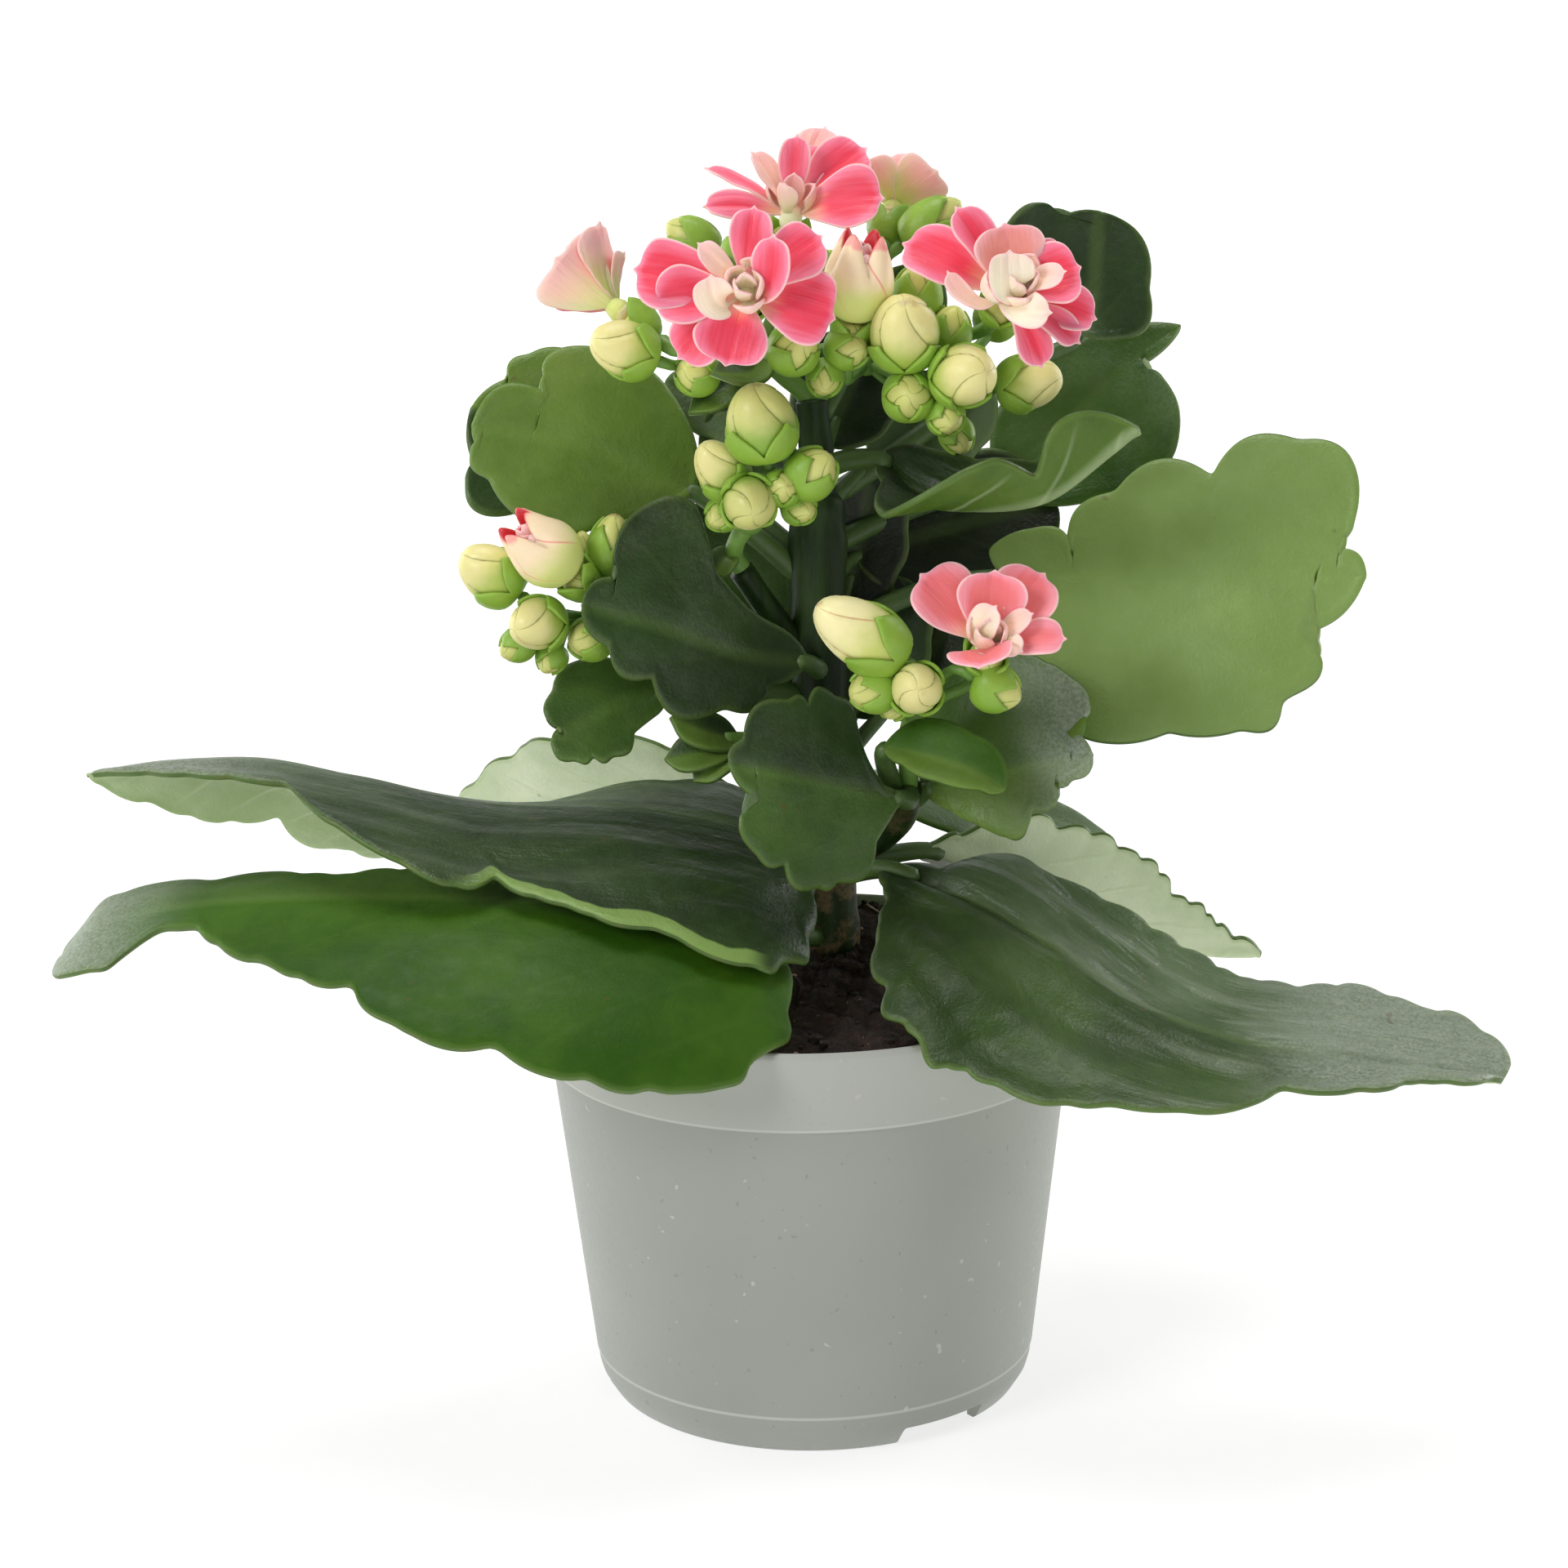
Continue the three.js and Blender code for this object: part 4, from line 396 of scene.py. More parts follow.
def margin(stations, length, u, smooth, teeth=None):
    """The margin at shares u from tip to base: how far along the rib it is, and how far out; teeth are
    (depth, spacing) in mm of small scallops with sharp notches."""
    corners = [[1, 0, 0], *stations, [0, 0, 0.1]]
    if smooth:
        line = Rib([[along * length, out, 0] for along, out, _ in corners]).at(u)
        return line[:, 0] / length, line[:, 1]
    arcs, travelled = [[1.0, 0.0]], [0.0]
    for (along0, out0, _), (along1, out1, bulge) in zip(corners, corners[1:]):
        chord = math.hypot((along1 - along0) * length, out1 - out0)
        for share in np.linspace(0, 1, ARC_STEPS + 1)[1:]:
            arch = 4 * bulge * share * (1 - share)
            arcs.append([
                mix(along0, along1, share) + arch * (out1 - out0) / length,
                mix(out0, out1, share) + arch * (along0 - along1) * length,
            ])
            travelled.append(travelled[-1] + chord / ARC_STEPS)
    arcs, travelled = np.array(arcs), np.array(travelled)
    even = np.linspace(0, travelled[-1], EVEN_STEPS)
    wide = max(3, int(EVEN_STEPS * CORNER_ROUNDING / travelled[-1])) | 1
    soft = []
    for column in range(2):
        line = np.interp(even, travelled, arcs[:, column])
        padded = np.pad(line, wide // 2, mode="reflect", reflect_type="odd")
        soft.append(np.interp(u * travelled[-1], even, np.convolve(padded, np.ones(wide) / wide, "valid")))
    if teeth:
        depth, spacing = teeth
        travel = u * travelled[-1]
        warped = travel / spacing + 0.35 * np.sin(travel / 7.3 + length)
        notch = (1 - np.abs(np.sin(math.pi * warped))) ** 1.6
        soft[1] = soft[1] - depth * notch * np.clip(soft[1] / 4, 0, 1)
    return soft[0], soft[1]


# %% [markdown]
# The blade itself is laid between its two margins. On it each vertex keeps its place, because veins, rims
# and wrinkles follow the leaf and not the room. A UV map would do for pictures, but three plain numbers in
# millimetres are easier to use in formulas.

# %% Blades
SIDE = {"half": 10, "fold": [0, 0], "curl": [0, 0]}
NEARLY_FLAT = 1e-5


def blade(name, rib, facing, left, right=None, rows=48, columns=16, smooth=False, teeth=None, relief=None,
          marks=None):
    """The middle surface of a leaf or petal; it marks each place: along, out and from the margin, in mm."""
    path = Rib(rib)
    sides = [{**SIDE, **left, "sign": -1}, {**SIDE, **(right or left), "sign": 1}]
    base_face, tip_face = np.array(facing[0], float), np.array(facing[-1], float)

    def surface(u, v):
        u = u**1.35 if smooth else u
        dense = np.linspace(0, 1, EVEN_STEPS)
        lines = [margin(side["margin"], path.length, dense, smooth, teeth) for side in sides]
        shares = mix((lines[0][0] + lines[1][0]) / 2, 1 - dense, 0.5)
        rib_share = np.interp(u, dense, -np.sort(-shares))
        reach = np.abs(2 * v - 1)
        places = np.empty((len(u), 3))
        place = np.empty((len(u), 3))
        for side, (line_along, line_out) in zip(sides, lines):
            here = v <= 0.5 if side["sign"] < 0 else v > 0.5
            widths = np.interp(u[here], dense, line_out)
            out = widths * reach[here]
            along = mix(rib_share[here], np.interp(u[here], dense, line_along), reach[here])
            t = np.clip(along, 0, 1)
            way = path.way(t)
            face = mix(base_face, tip_face, t[:, None])
            face = unit(face - way * np.sum(face * way, axis=1, keepdims=True))
            across = np.cross(way, face)
            fold = np.radians(np.interp(t, np.linspace(0, 1, len(side["fold"])), side["fold"]))
            bend = np.radians(mix(side["curl"][0], side["curl"][1], t)) / side["half"]
            bend = np.where(np.abs(bend) < NEARLY_FLAT, NEARLY_FLAT, bend)
            turned = fold + bend * out
            level = side["sign"] * (np.sin(turned) - np.sin(fold)) / bend
            rise = (np.cos(fold) - np.cos(turned)) / bend
            normal = face * np.cos(turned)[:, None] - across * (side["sign"] * np.sin(turned))[:, None]
            spot = path.at(t) + way * ((along - t) * path.length)[:, None]
            spot += across * level[:, None] + face * rise[:, None]
            lines_here = np.stack([along * path.length, side["sign"] * out, widths - out], axis=-1)
            if relief:
                spot += normal * relief(lines_here, side["half"])[:, None]
            places[here], place[here] = spot, lines_here
        return places, {"place": place, **(marks(u, v) if marks else {})}

    return sheet(name, rows, columns, surface)


# %% Thickness
def thicken(piece, thick, rim=1.0, under=0, edge=0, level=1, band=6.0):
    """Gives a sheet its thickness, thinner in a band at the margin; under and edge are slot offsets."""
    place = np.empty(len(piece.data.vertices) * 3, dtype=np.float32)
    piece.data.attributes["place"].data.foreach_get("vector", place)
    group = piece.vertex_groups.new(name="thick")
    for index, gap in enumerate(place[2::3]):
        group.add([index], mix(rim, 1.0, min(1.0, max(0.0, gap / band))), "REPLACE")
    solidify = piece.modifiers.new("thickness", "SOLIDIFY")
    solidify.thickness = thick * MM
    solidify.offset = 0
    solidify.vertex_group = "thick"
    solidify.material_offset = under
    solidify.material_offset_rim = edge
    if level:
        rounding = piece.modifiers.new("rounding", "SUBSURF")
        rounding.levels = rounding.render_levels = level
    apply_all(piece)
    bpy.ops.object.shade_smooth()
    return piece


# %% [markdown]
# ## What a leaf looks like
# A kalanchoe leaf has a waxy, finely pored skin. Its veins are sunk above and raised below, it is mottled
# in two greens, and its margin is paler. Each of these is a mask that both faces of the leaf and several
# greens use, so the masks are worked out once, in a node group, from the place marked on the blade.

# %% Leaf pattern group
def place_of(tree, name="place"):
    """The three marked numbers of a vertex attribute."""
    read = node(tree, "ShaderNodeAttribute", attribute_name=name)
    return node(tree, "ShaderNodeSeparateXYZ", {"Vector": read.outputs["Vector"]}).outputs


def new_group(name, outputs):
    tree = bpy.data.node_groups.new(name, "ShaderNodeTree")
    for key in outputs:
        tree.interface.new_socket(key, in_out="OUTPUT", socket_type="NodeSocketFloat")
    return tree, tree.nodes.new("NodeGroupOutput")


VEIN_SPACING = 12.0
VEIN_LEAN = 1.6
PATTERNS = ["Veins", "Midrib", "Margin", "Mottle", "Side", "Grain", "Skin", "Ridges"]
leaf_pattern, exit_node = new_group("leaf_pattern", PATTERNS)
tree = leaf_pattern
along, out, gap = place_of(tree)
wide = calc(tree, "ABSOLUTE", out)
wander = times(tree, calc(tree, "SUBTRACT", noise(tree, 90, 2), 0.5), 5.0)
lean = calc(tree, "SUBTRACT", along, times(tree, wide, VEIN_LEAN))
beside = calc(tree, "PINGPONG", plus(tree, lean, wander), VEIN_SPACING / 2)
laterals = times(tree, step(tree, beside, 1.0, 0.1), step(tree, gap, 0.5, 6))
wiggle = plus(tree, gap, times(tree, noise(tree, 260, 2), 0.9))
pores = noise(tree, 2400, 2, 0.6)
drawn_out = {"X": times(tree, along, 0.045), "Y": times(tree, out, 0.3)}
lengthwise = node(tree, "ShaderNodeCombineXYZ", drawn_out).outputs["Vector"]
for key, value in {
    "Veins": laterals,
    "Midrib": step(tree, wide, 1.5, 0.2),
    "Margin": step(tree, wiggle, 1.5, 0.7),
    "Mottle": step(tree, noise(tree, 70, 4, 0.6), 0.34, 0.68),
    "Side": step(tree, out, -0.6, 0.6),
    "Grain": plus(tree, times(tree, pores, 0.6), noise(tree, 500, 3)),
    "Skin": pores,
    "Ridges": noise(tree, 1.0, 3, 0.45, lengthwise),
}.items():
    leaf_pattern.links.new(value, exit_node.inputs[key])
print("leaf pattern:", len(leaf_pattern.nodes), "nodes")

# %% [markdown]
# The greens differ from leaf to leaf and from one half of a leaf to the other: old leaves darken, and a
# half that faces the light is given a lighter tone, as painted light. One material with vertex paint could
# hold them all, but a few named tones and a function that makes a leaf material of two of them are easier
# to read and to tune.

# %% Leaf tones
def rgb(red, green, blue):
    """A colour given in display values of 0 to 255, as the linear values that shaders take."""
    bright = [((x / 255 + 0.055) / 1.055) ** 2.4 if x > 10 else x / 255 / 12.92 for x in (red, green, blue)]
    return tuple(bright)


TONES = {
    "deep": (rgb(30, 50, 16), rgb(44, 68, 26)),
    "olive": (rgb(56, 84, 28), rgb(72, 102, 38)),
    "mid": (rgb(86, 114, 40), rgb(104, 132, 54)),
    "fresh": (rgb(42, 80, 6), rgb(60, 98, 14)),
    "moss": (rgb(42, 66, 20), rgb(62, 88, 32)),
    "meadow": (rgb(68, 98, 28), rgb(86, 114, 40)),
    # painted shade: the darkest green, for leaves that stand in shade behind the stem
    "shade": (rgb(16, 28, 10), rgb(28, 44, 18)),
    "pale": (rgb(116, 142, 72), rgb(126, 152, 82)),
    # a grey-green; on the far half of the big low right leaf it stands for painted sheen
    "grey": (rgb(66, 88, 50), rgb(92, 112, 76)),
    "back": (rgb(152, 172, 122), rgb(176, 192, 150)),
    "chalk": (rgb(196, 208, 172), rgb(214, 222, 192)),
}
MARGIN_GREEN = rgb(120, 146, 70)
FOLDED_GREEN = rgb(134, 164, 86)
# The grey of a leaf's bloom: partly waxy skin, partly painted sheen.
WAX_AND_SHEEN_GREY = rgb(128, 140, 116)
# The grey of a painted sheen towards the tips of the big leaves.
TIP_SHEEN_GREY = rgb(148, 157, 140)
SHADED_GREEN = rgb(22, 38, 10)
SPOT_BROWN = rgb(96, 74, 44)
print("leaf tones:", ", ".join(TONES))

# %% Leaf materials
NO_TIP = (200, 300)
SHINES_FROM = 0.3
SHADED_FROM = 0.9
leaf_materials = {}


def leaf_material(left, right, wax_and_sheen, under=False, band=0.0, tip=NO_TIP, ridged=0.0):
    """A leaf face with a tone on each side of its rib; wax is the share of grey bloom on it, partly waxy and
    partly painted sheen, band is the width in mm of a paler folded margin on its left side, tip is where
    along the rib, in mm, a painted grey sheen begins and is full, and ridged is how strongly it is wrinkled
    lengthwise, which above a threshold also paints sheen on its ridges, and higher still painted shade at its
    base."""
    key = f"leaf_{left}_{right}_{round(wax_and_sheen * 100)}_{round(ridged * 10)}_{tip[0]}"
    key += ("_under" if under else "") + ("_band" if band else "")
    if key in leaf_materials:
        return leaf_materials[key]
    made, tree, shader = blank(key)
    pattern = node(tree, "ShaderNodeGroup", node_tree=leaf_pattern).outputs
    halves = [blend(tree, pattern["Mottle"], *TONES[tone]) for tone in (left, right)]
    colour = blend(tree, pattern["Side"], *halves)
    vein_colour = rgb(196, 212, 168) if under else rgb(120, 150, 72)
    colour = blend(tree, times(tree, pattern["Veins"], 0.3 if under else 0.03), colour, vein_colour)
    colour = blend(tree, times(tree, pattern["Midrib"], 0.4 if under else 0.14), colour, vein_colour)
    # grey bloom on the skin, partly waxy and partly painted sheen
    bloom = times(tree, step(tree, noise(tree, 42, 5, 0.65), 0.42, 0.68), wax_and_sheen)
    bloom = times(tree, bloom, step(tree, pattern["Skin"], 0.3, 0.7, 0.5, 1.2))
    along, out, gap = place_of(tree)
    # painted sheen: a grey shine that grows towards the tip
    far = times(tree, step(tree, along, *tip), step(tree, pattern["Skin"], 0.3, 0.7, 0.45, 0.95))
    creased = calc(tree, "MAXIMUM", step(tree, along, 36, 54), step(tree, out, 9, 1))
    # painted sheen: grey along the raised wrinkles of a strongly wrinkled leaf
    if ridged > SHINES_FROM:
        raised = times(tree, step(tree, pattern["Ridges"], 0.46, 0.68), creased)
        raised = times(tree, raised, step(tree, along, 8, 40))
        bloom = calc(tree, "MAXIMUM", bloom, times(tree, raised, 0.5 * ridged))
    colour = blend(tree, bloom, colour, WAX_AND_SHEEN_GREY)
    colour = blend(tree, far, colour, TIP_SHEEN_GREY)
    if ridged > SHADED_FROM:
        colour = blend(tree, times(tree, step(tree, along, 30, 4), 0.55), colour, SHADED_GREEN)
    colour = blend(tree, times(tree, pattern["Margin"], 0.22), colour, MARGIN_GREEN)
    if band:
        near = plus(tree, gap, times(tree, noise(tree, 120, 3), 2.5))
        folded = times(tree, step(tree, near, band + 1.5, band + 1.0), step(tree, along, 46, 38))
        folded = times(tree, folded, step(tree, along, 6, 10))
        folded = times(tree, folded, step(tree, out, 0, -2))
        colour = blend(tree, times(tree, folded, 0.85), colour, FOLDED_GREEN)
    spots = step(tree, noise(tree, 420, 1), 0.76, 0.8)
    colour = blend(tree, times(tree, spots, 0.35), colour, SPOT_BROWN)
    dull = 0.14 if left == "fresh" else 0.0
    roughness = step(tree, pattern["Grain"], 0.4, 1.1, 0.3 + dull, 0.46 + dull)
    veined = times(tree, pattern["Veins"], 0.8 if under else -0.1)
    height = plus(tree, pattern["Grain"], veined)
    if ridged:
        waves = times(tree, times(tree, pattern["Ridges"], 12 * ridged), creased)
        height = plus(tree, height, waves)
    finish(tree, shader, colour, roughness, height, 0.3 if left == "fresh" else 0.5, 0.00028)
    let_light_in(shader, 0.15, (0.6, 1.0, 0.15), 0.002)
    shader.inputs["Specular IOR Level"].default_value = 0.2 if under or left == "fresh" else 0.34
    leaf_materials[key] = made
    return made


# %% Plain green skin
def plain_green(name, dark, light, scale, stain=0.0):
    """Green skin without veins, for stalks and cups; stain is the share of brown corky patches."""
    made, tree, shader = blank(name)
    colour = blend(tree, noise(tree, scale, 4), dark, light)
    patches = times(tree, step(tree, noise(tree, scale * 2.4, 5, 0.7), 0.5, 0.62), stain)
    colour = blend(tree, patches, colour, rgb(128, 104, 70))
    fine = noise(tree, 1500, 3)
    finish(tree, shader, colour, step(tree, fine, 0.3, 0.8, 0.4, 0.6), fine, 0.35, 0.0002)
    let_light_in(shader, 0.15, (0.6, 1.0, 0.3), 0.0015)
    return made


leaf_rim = plain_green("leaf_rim", rgb(58, 86, 30), rgb(92, 120, 48), 160, 0.15)
stalk_green = plain_green("stalk_green", rgb(56, 82, 36), rgb(84, 110, 52), 120)

# %% [markdown]
# ## The leaves
# Each leaf is named after its place. Its skin is not smooth: the midrib lies in a groove, the blade puffs
# up between the side veins, and an old leaf is wrinkled. Bump alone would leave the outline of a groove
# flat where it crosses the light, so this relief moves the sheet itself, before it is thickened.

# %% Leaf shapes
# Points are in mm. The stalk leads from the stem to the rib, and facing is the way that the upper skin
# looks, at the base and at the tip. A side has its half width, its fold up from the rib and its curl over
# that half width, both in degrees, and the stations of its margin; a leaf without a right side is even.
LEAVES = {
    "leaf_low_left_upper": {
        "stalk": [[1.8, 0, 70.5], [1, -1, 71]],
        "rib": [[-0.3, -2, 71.3], [-9, -4, 75.5], [-23, -6, 78.7], [-40, -7, 79.8], [-56, -8, 84],
            [-68, -8, 86.3], [-80, -8, 86.1], [-90, -8, 84.8]],
        "facing": [[0, -0.15, 1], [0, 0, 1]],
        "left": {
            "half": 27, "fold": [-8, -4], "curl": [-18, -4],
            "margin": [[0.71, 7.9, 0.06], [0.65, 14.6, 0], [0.49, 21.9, 0.05], [0.43, 18.5, 0.15],
                [0.34, 22.9, 0.12], [0.23, 25.5, 0.15], [0.09, 28.2, 0.1], [0.05, 25, 0.3],
                [0.01, 19.5, 0.35], [0, 10.4, 0.1]],
        },
        "right": {
            "half": 20, "fold": [16, -70], "curl": [0, -40],
            "margin": [[0.92, 6.5, 0.1], [0.74, 11.8, 0.1], [0.62, 19, 0.15], [0.5, 22, 0.15],
                [0.33, 15, 0.1], [0.19, 13, 0.1], [0.05, 8.4, 0.1]],
        },
    },
    "leaf_low_left_lower": {
        "stalk": [[2.5, 0, 59.8], [1, -2.5, 60.4]],
        "rib": [[-0.5, -6, 61.4], [-14, -18, 68], [-29, -22, 70.8], [-49, -22.5, 71.9], [-69, -21, 71.2],
            [-81, -20, 69.9], [-88.4, -20, 67.9], [-92.1, -19, 64.3]],
        "facing": [[0.1, -0.2, 1], [-0.1, -0.1, 1]],
        "left": {
            "half": 27, "fold": [2, -6], "curl": [-58, -10],
            "margin": [[0.92, 12.1, 0.2], [0.84, 5.3, -0.05], [0.8, 5, 0.05], [0.69, 14.1, 0.12],
                [0.59, 17.9, 0.1], [0.56, 22.3, 0.1], [0.52, 24.3, 0.1], [0.43, 25.7, 0.1],
                [0.33, 29, 0.08], [0.24, 28.8, 0.08], [0.19, 24.5, 0.3], [0.15, 18.3, 0.25], [0.12, 9, 0.1]],
        },
        "right": {
            "half": 14, "fold": [0, 4], "curl": [-8, -8],
            "margin": [[0.96, 7, 0.2], [0.81, 8, 0.1], [0.65, 7, 0.1], [0.52, 8.5, 0.1], [0.36, 11, 0.1],
                [0.2, 8, 0.1]],
        },
    },
    "leaf_low_right": {
        "stalk": [[4, 0, 67.5], [6.5, -2, 68.8]],
        "rib": [[9.5, -4, 69.8], [21.5, -13, 68.2], [30.4, -18, 63.2], [39, -23, 57.7], [48.7, -27, 54],
            [64.4, -29, 51.9], [84.9, -27, 48.5]],
        "facing": [[0, -0.2, 1], [0, -0.1, 1]],
        "left": {
            "half": 25, "fold": [2, 12], "curl": [-12, 4],
            "margin": [[0.99, 9.6, 0.2], [0.91, 13, 0.2], [0.7, 14, 0.17], [0.59, 14.7, 0.12],
                [0.36, 14.5, 0.05], [0.23, 11.7, 0.05], [0.09, 3.9, 0.25]],
        },
        "right": {
            "half": 26, "fold": [-10, 4], "curl": [-26, 0],
            "margin": [[0.86, 4.6, 0.15], [0.67, 10.4, 0.1], [0.51, 18.9, 0.13], [0.41, 23.6, 0.12],
                [0.36, 23.4, 0.2], [0.27, 24.5, 0.3], [0.23, 22.8, 0.2], [0.17, 20.2, 0.35],
                [0.1, 13.7, 0.15], [0.06, 6, 0.1]],
        },
    },
    "leaf_back_right": {
        "stalk": [[4, 2, 68], [9, 3, 69.2]],
        "rib": [[15, 4, 69.9], [28.1, 12, 63.6], [42.7, 18, 55.8], [52.8, 20, 50.4], [61, 20, 50.1]],
        "facing": [[0.1, 0.2, 1]],
        "left": {"half": 13, "fold": [5, 5], "curl": [-20, -20], "margin": toothed(13)},
        "right": {
            "half": 14, "fold": [58, 55],
            "margin": [[0.93, 3.4, 0.15], [0.84, 6, 0.15], [0.69, 6.6, 0.15], [0.51, 10, 0.15],
                [0.31, 9.6, 0.1], [0.1, 5, 0.2]],
        },
    },
    "leaf_back_right_hidden": {
        "stalk": [[3, 3, 73], [5, 10, 74]],
        "rib": [[9, 18, 73.5], [21, 27, 71], [33, 33, 66], [43, 35, 60]],
        "facing": [[0.1, -0.2, 1]],
        "left": {"half": 13, "fold": [0, 0], "curl": [-20, -20], "margin": toothed(13)},
    },
    "leaf_back_left": {
        "stalk": [[1, 2, 71.5], [-0.5, 4, 72.2]],
        "rib": [[-2.9, 6, 71.9], [-13.6, 14, 71.6], [-26.9, 22, 72.4], [-38.4, 30, 70.6], [-47.8, 34, 69]],
        "facing": [[0, 0.1, 1]],
        "left": {
            "half": 14, "fold": [60, 55],
            "margin": [[0.92, 3.6, 0.15], [0.75, 8, 0.15], [0.58, 10.6, 0.15], [0.35, 13, 0.1],
                [0.12, 7, 0.1]],
        },
        "right": {"half": 13, "fold": [5, 5], "curl": [-20, -20], "margin": toothed(13)},
    },
    "leaf_back_low": {
        "stalk": [[2, 2, 61.5], [0, 7, 62]],
        "rib": [[-2, 12, 62.5], [-6, 30, 61.5], [-12, 50, 55], [-16, 68, 45]],
        "facing": [[0, 0.1, 1], [0, 0.3, 1]],
        "left": {"half": 18, "fold": [8, 0], "curl": [-20, -30], "margin": toothed(18, 7)},
    },
    "leaf_mid_left_large": {
        "stalk": [[0.5, 1.5, 106], [-6, 1, 112]],
        "rib": [[-13.3, 2.5, 117.3], [-19.3, 0.5, 120.4], [-28.2, -1.5, 124.3], [-40.5, -2.5, 127]],
        "facing": [[0.1, -0.85, 0.5], [0, -0.9, 0.4]],
        "left": {
            "half": 12, "fold": [4, 4], "curl": [-10, -10],
            "margin": [[0.97, 2.4, 0.1], [0.9, 6.4, 0.35], [0.72, 11, 0.1], [0.34, 8.2, 0.2]],
        },
        "right": {
            "half": 14, "fold": [4, 4], "curl": [-10, -10],
            "margin": [[0.68, 5.3, 0.33], [0.59, 13.1, 0.4], [0.15, 9.2, 0.13]],
        },
    },
    "leaf_mid_left_behind": {
        "stalk": [[1.5, 4, 107], [-7, 7, 114]],
        "rib": [[-18.7, 11, 120.4], [-25, 13, 121.2], [-33.2, 13, 124.5], [-41.9, 12, 126.9]],
        "facing": [[0.1, -0.85, 0.5]],
        "left": {
            "half": 12,
            "margin": [[0.93, 7.6, 0.1], [0.96, 10.1, 0.2], [0.77, 13.7, 0.3], [0.35, 6.6, 0.1]],
        },
        "right": {
            "half": 12,
            "margin": [[0.83, 5.3, 0.1], [0.76, 9.1, 0.3], [0.51, 10.7, 0.2], [0.14, 8.8, 0.1]],
        },
    },
    "leaf_mid_left_dark": {
        "stalk": [[1.8, 0, 94.5], [1.6, -3.4, 95.8]],
        "rib": [[0.6, -5, 96.8], [-8.5, -10, 99.3], [-17.3, -13, 103.2], [-26.9, -15, 106.6]],
        "facing": [[0.2, -0.95, 0.3], [0.1, -0.9, 0.4]],
        "left": {
            "half": 11, "fold": [4, 4], "curl": [-8, -8],
            "margin": [[0.86, 4.1, 0.2], [0.66, 6.3, 0.33], [0.35, 7.1, 0.33], [0.2, 3.6, 0.3]],
        },
        "right": {
            "half": 16, "fold": [4, 4], "curl": [-8, -8],
            "margin": [[0.89, 4.7, 0.25], [0.82, 15.2, 0.2], [0.66, 16.5, 0.15], [0.54, 9.3, 0],
                [0.16, 4.3, -0.03]],
        },
    },
    "leaf_mid_left_small": {
        "stalk": [[0.5, -0.5, 91.5], [-9, -1.5, 93.2]],
        "rib": [[-17.4, -3, 93.2], [-22.9, -7, 92.4], [-26.9, -9, 90.9], [-31.4, -11, 88.3]],
        "facing": [[0, -0.9, 0.5]],
        "left": {
            "half": 7,
            "margin": [[0.93, 3.5, 0.3], [0.81, 4.3, 0.4], [0.68, 5.7, 0.4], [0.43, 4.3, 0.3],
                [0.14, 2.8, 0]],
        },
        "right": {
            "half": 7,
            "margin": [[0.86, 1.2, 0.2], [0.76, 5.7, 0.35], [0.61, 7.7, 0.1], [0.19, 4.5, 0.1]],
        },
    },
    "leaf_mid_centre": {
        "stalk": [[12.9, -4.5, 79.6], [12.8, -7, 79.4]],
        "rib": [[12, -9, 80.1], [5.4, -14, 82.9], [-2.6, -19, 86.1], [-9.2, -21, 87.9]],
        "facing": [[0.1, -0.9, 0.4]],
        "left": {
            "half": 13, "fold": [4, 4], "curl": [-8, -8],
            "margin": [[0.83, 3.8, 0.15], [0.82, 10.6, 0.38], [0.68, 11, 0.3], [0.48, 13.1, 0.35],
                [0.38, 12, 0.3], [0.18, 6.6, 0.3], [0.05, 1.6, 0]],
        },
        "right": {
            "half": 12, "fold": [4, 4], "curl": [-8, -8],
            "margin": [[0.95, 3.4, 0.25], [0.74, 9.3, 0.28], [0.64, 9.1, 0.4], [0.48, 11, 0.4],
                [0.36, 9.9, 0.2], [0.14, 1.2, -0.1]],
        },
    },
    "leaf_mid_right_dark": {
        "stalk": [[12.5, -1.5, 77], [14, -1.8, 78.3]],
        "rib": [[15.2, -3, 79.6], [20.9, -7, 81.9], [27.8, -10, 84.3], [35.6, -12, 86.1]],
        "facing": [[0, -0.9, 0.4]],
        "left": {
            "half": 13, "fold": [3, 3], "curl": [-8, -8],
            "margin": [[0.85, 3.3, 0.25], [0.9, 11.3, 0.45], [0.48, 15.5, 0.1], [0.05, 8.6, 0.15]],
        },
        "right": {
            "half": 10, "fold": [3, 3], "curl": [-8, -8],
            "margin": [[0.87, 2.7, 0.3], [0.78, 3.1, 0.4], [0.63, 5.6, 0.45], [0.38, 7.1, 0.42],
                [0.08, 2.2, 0]],
        },
    },
    "leaf_mid_small_folded": {
        "stalk": [[11.4, -3.5, 79], [10.2, -7.5, 83.5]],
        "rib": [[9.7, -14, 87.8], [14.4, -18, 87.9], [19.3, -20, 86.8], [24.2, -21, 84.1]],
        "facing": [[0, -0.6, 0.8]],
        "left": {"half": 4, "fold": [30, 20], "margin": [[0.63, 4.5, 0.2], [0.19, 4.2, 0.1]]},
        "right": {
            "half": 4.5, "fold": [-10, -10],
            "margin": [[0.85, 1.7, 0.2], [0.52, 3.1, 0.1], [0.25, 2, 0.1]],
        },
    },
    "leaf_right_large": {
        "stalk": [[4, 2.5, 99], [12, 5, 102.5], [19, 6, 104.5]],
        "rib": [[25.9, 5.5, 105.3], [43.1, 3, 106.1], [58.2, 0, 106.3], [70.4, -2, 106]],
        "facing": [[0.15, -0.9, 0.4], [-0.1, -0.9, 0.4]],
        "left": {
            "half": 19, "fold": [4, 4], "curl": [-8, -8],
            "margin": [[0.91, 3.4, 0.3], [0.97, 12.3, 0.12], [0.8, 17.4, 0.25], [0.57, 12.4, 0.26],
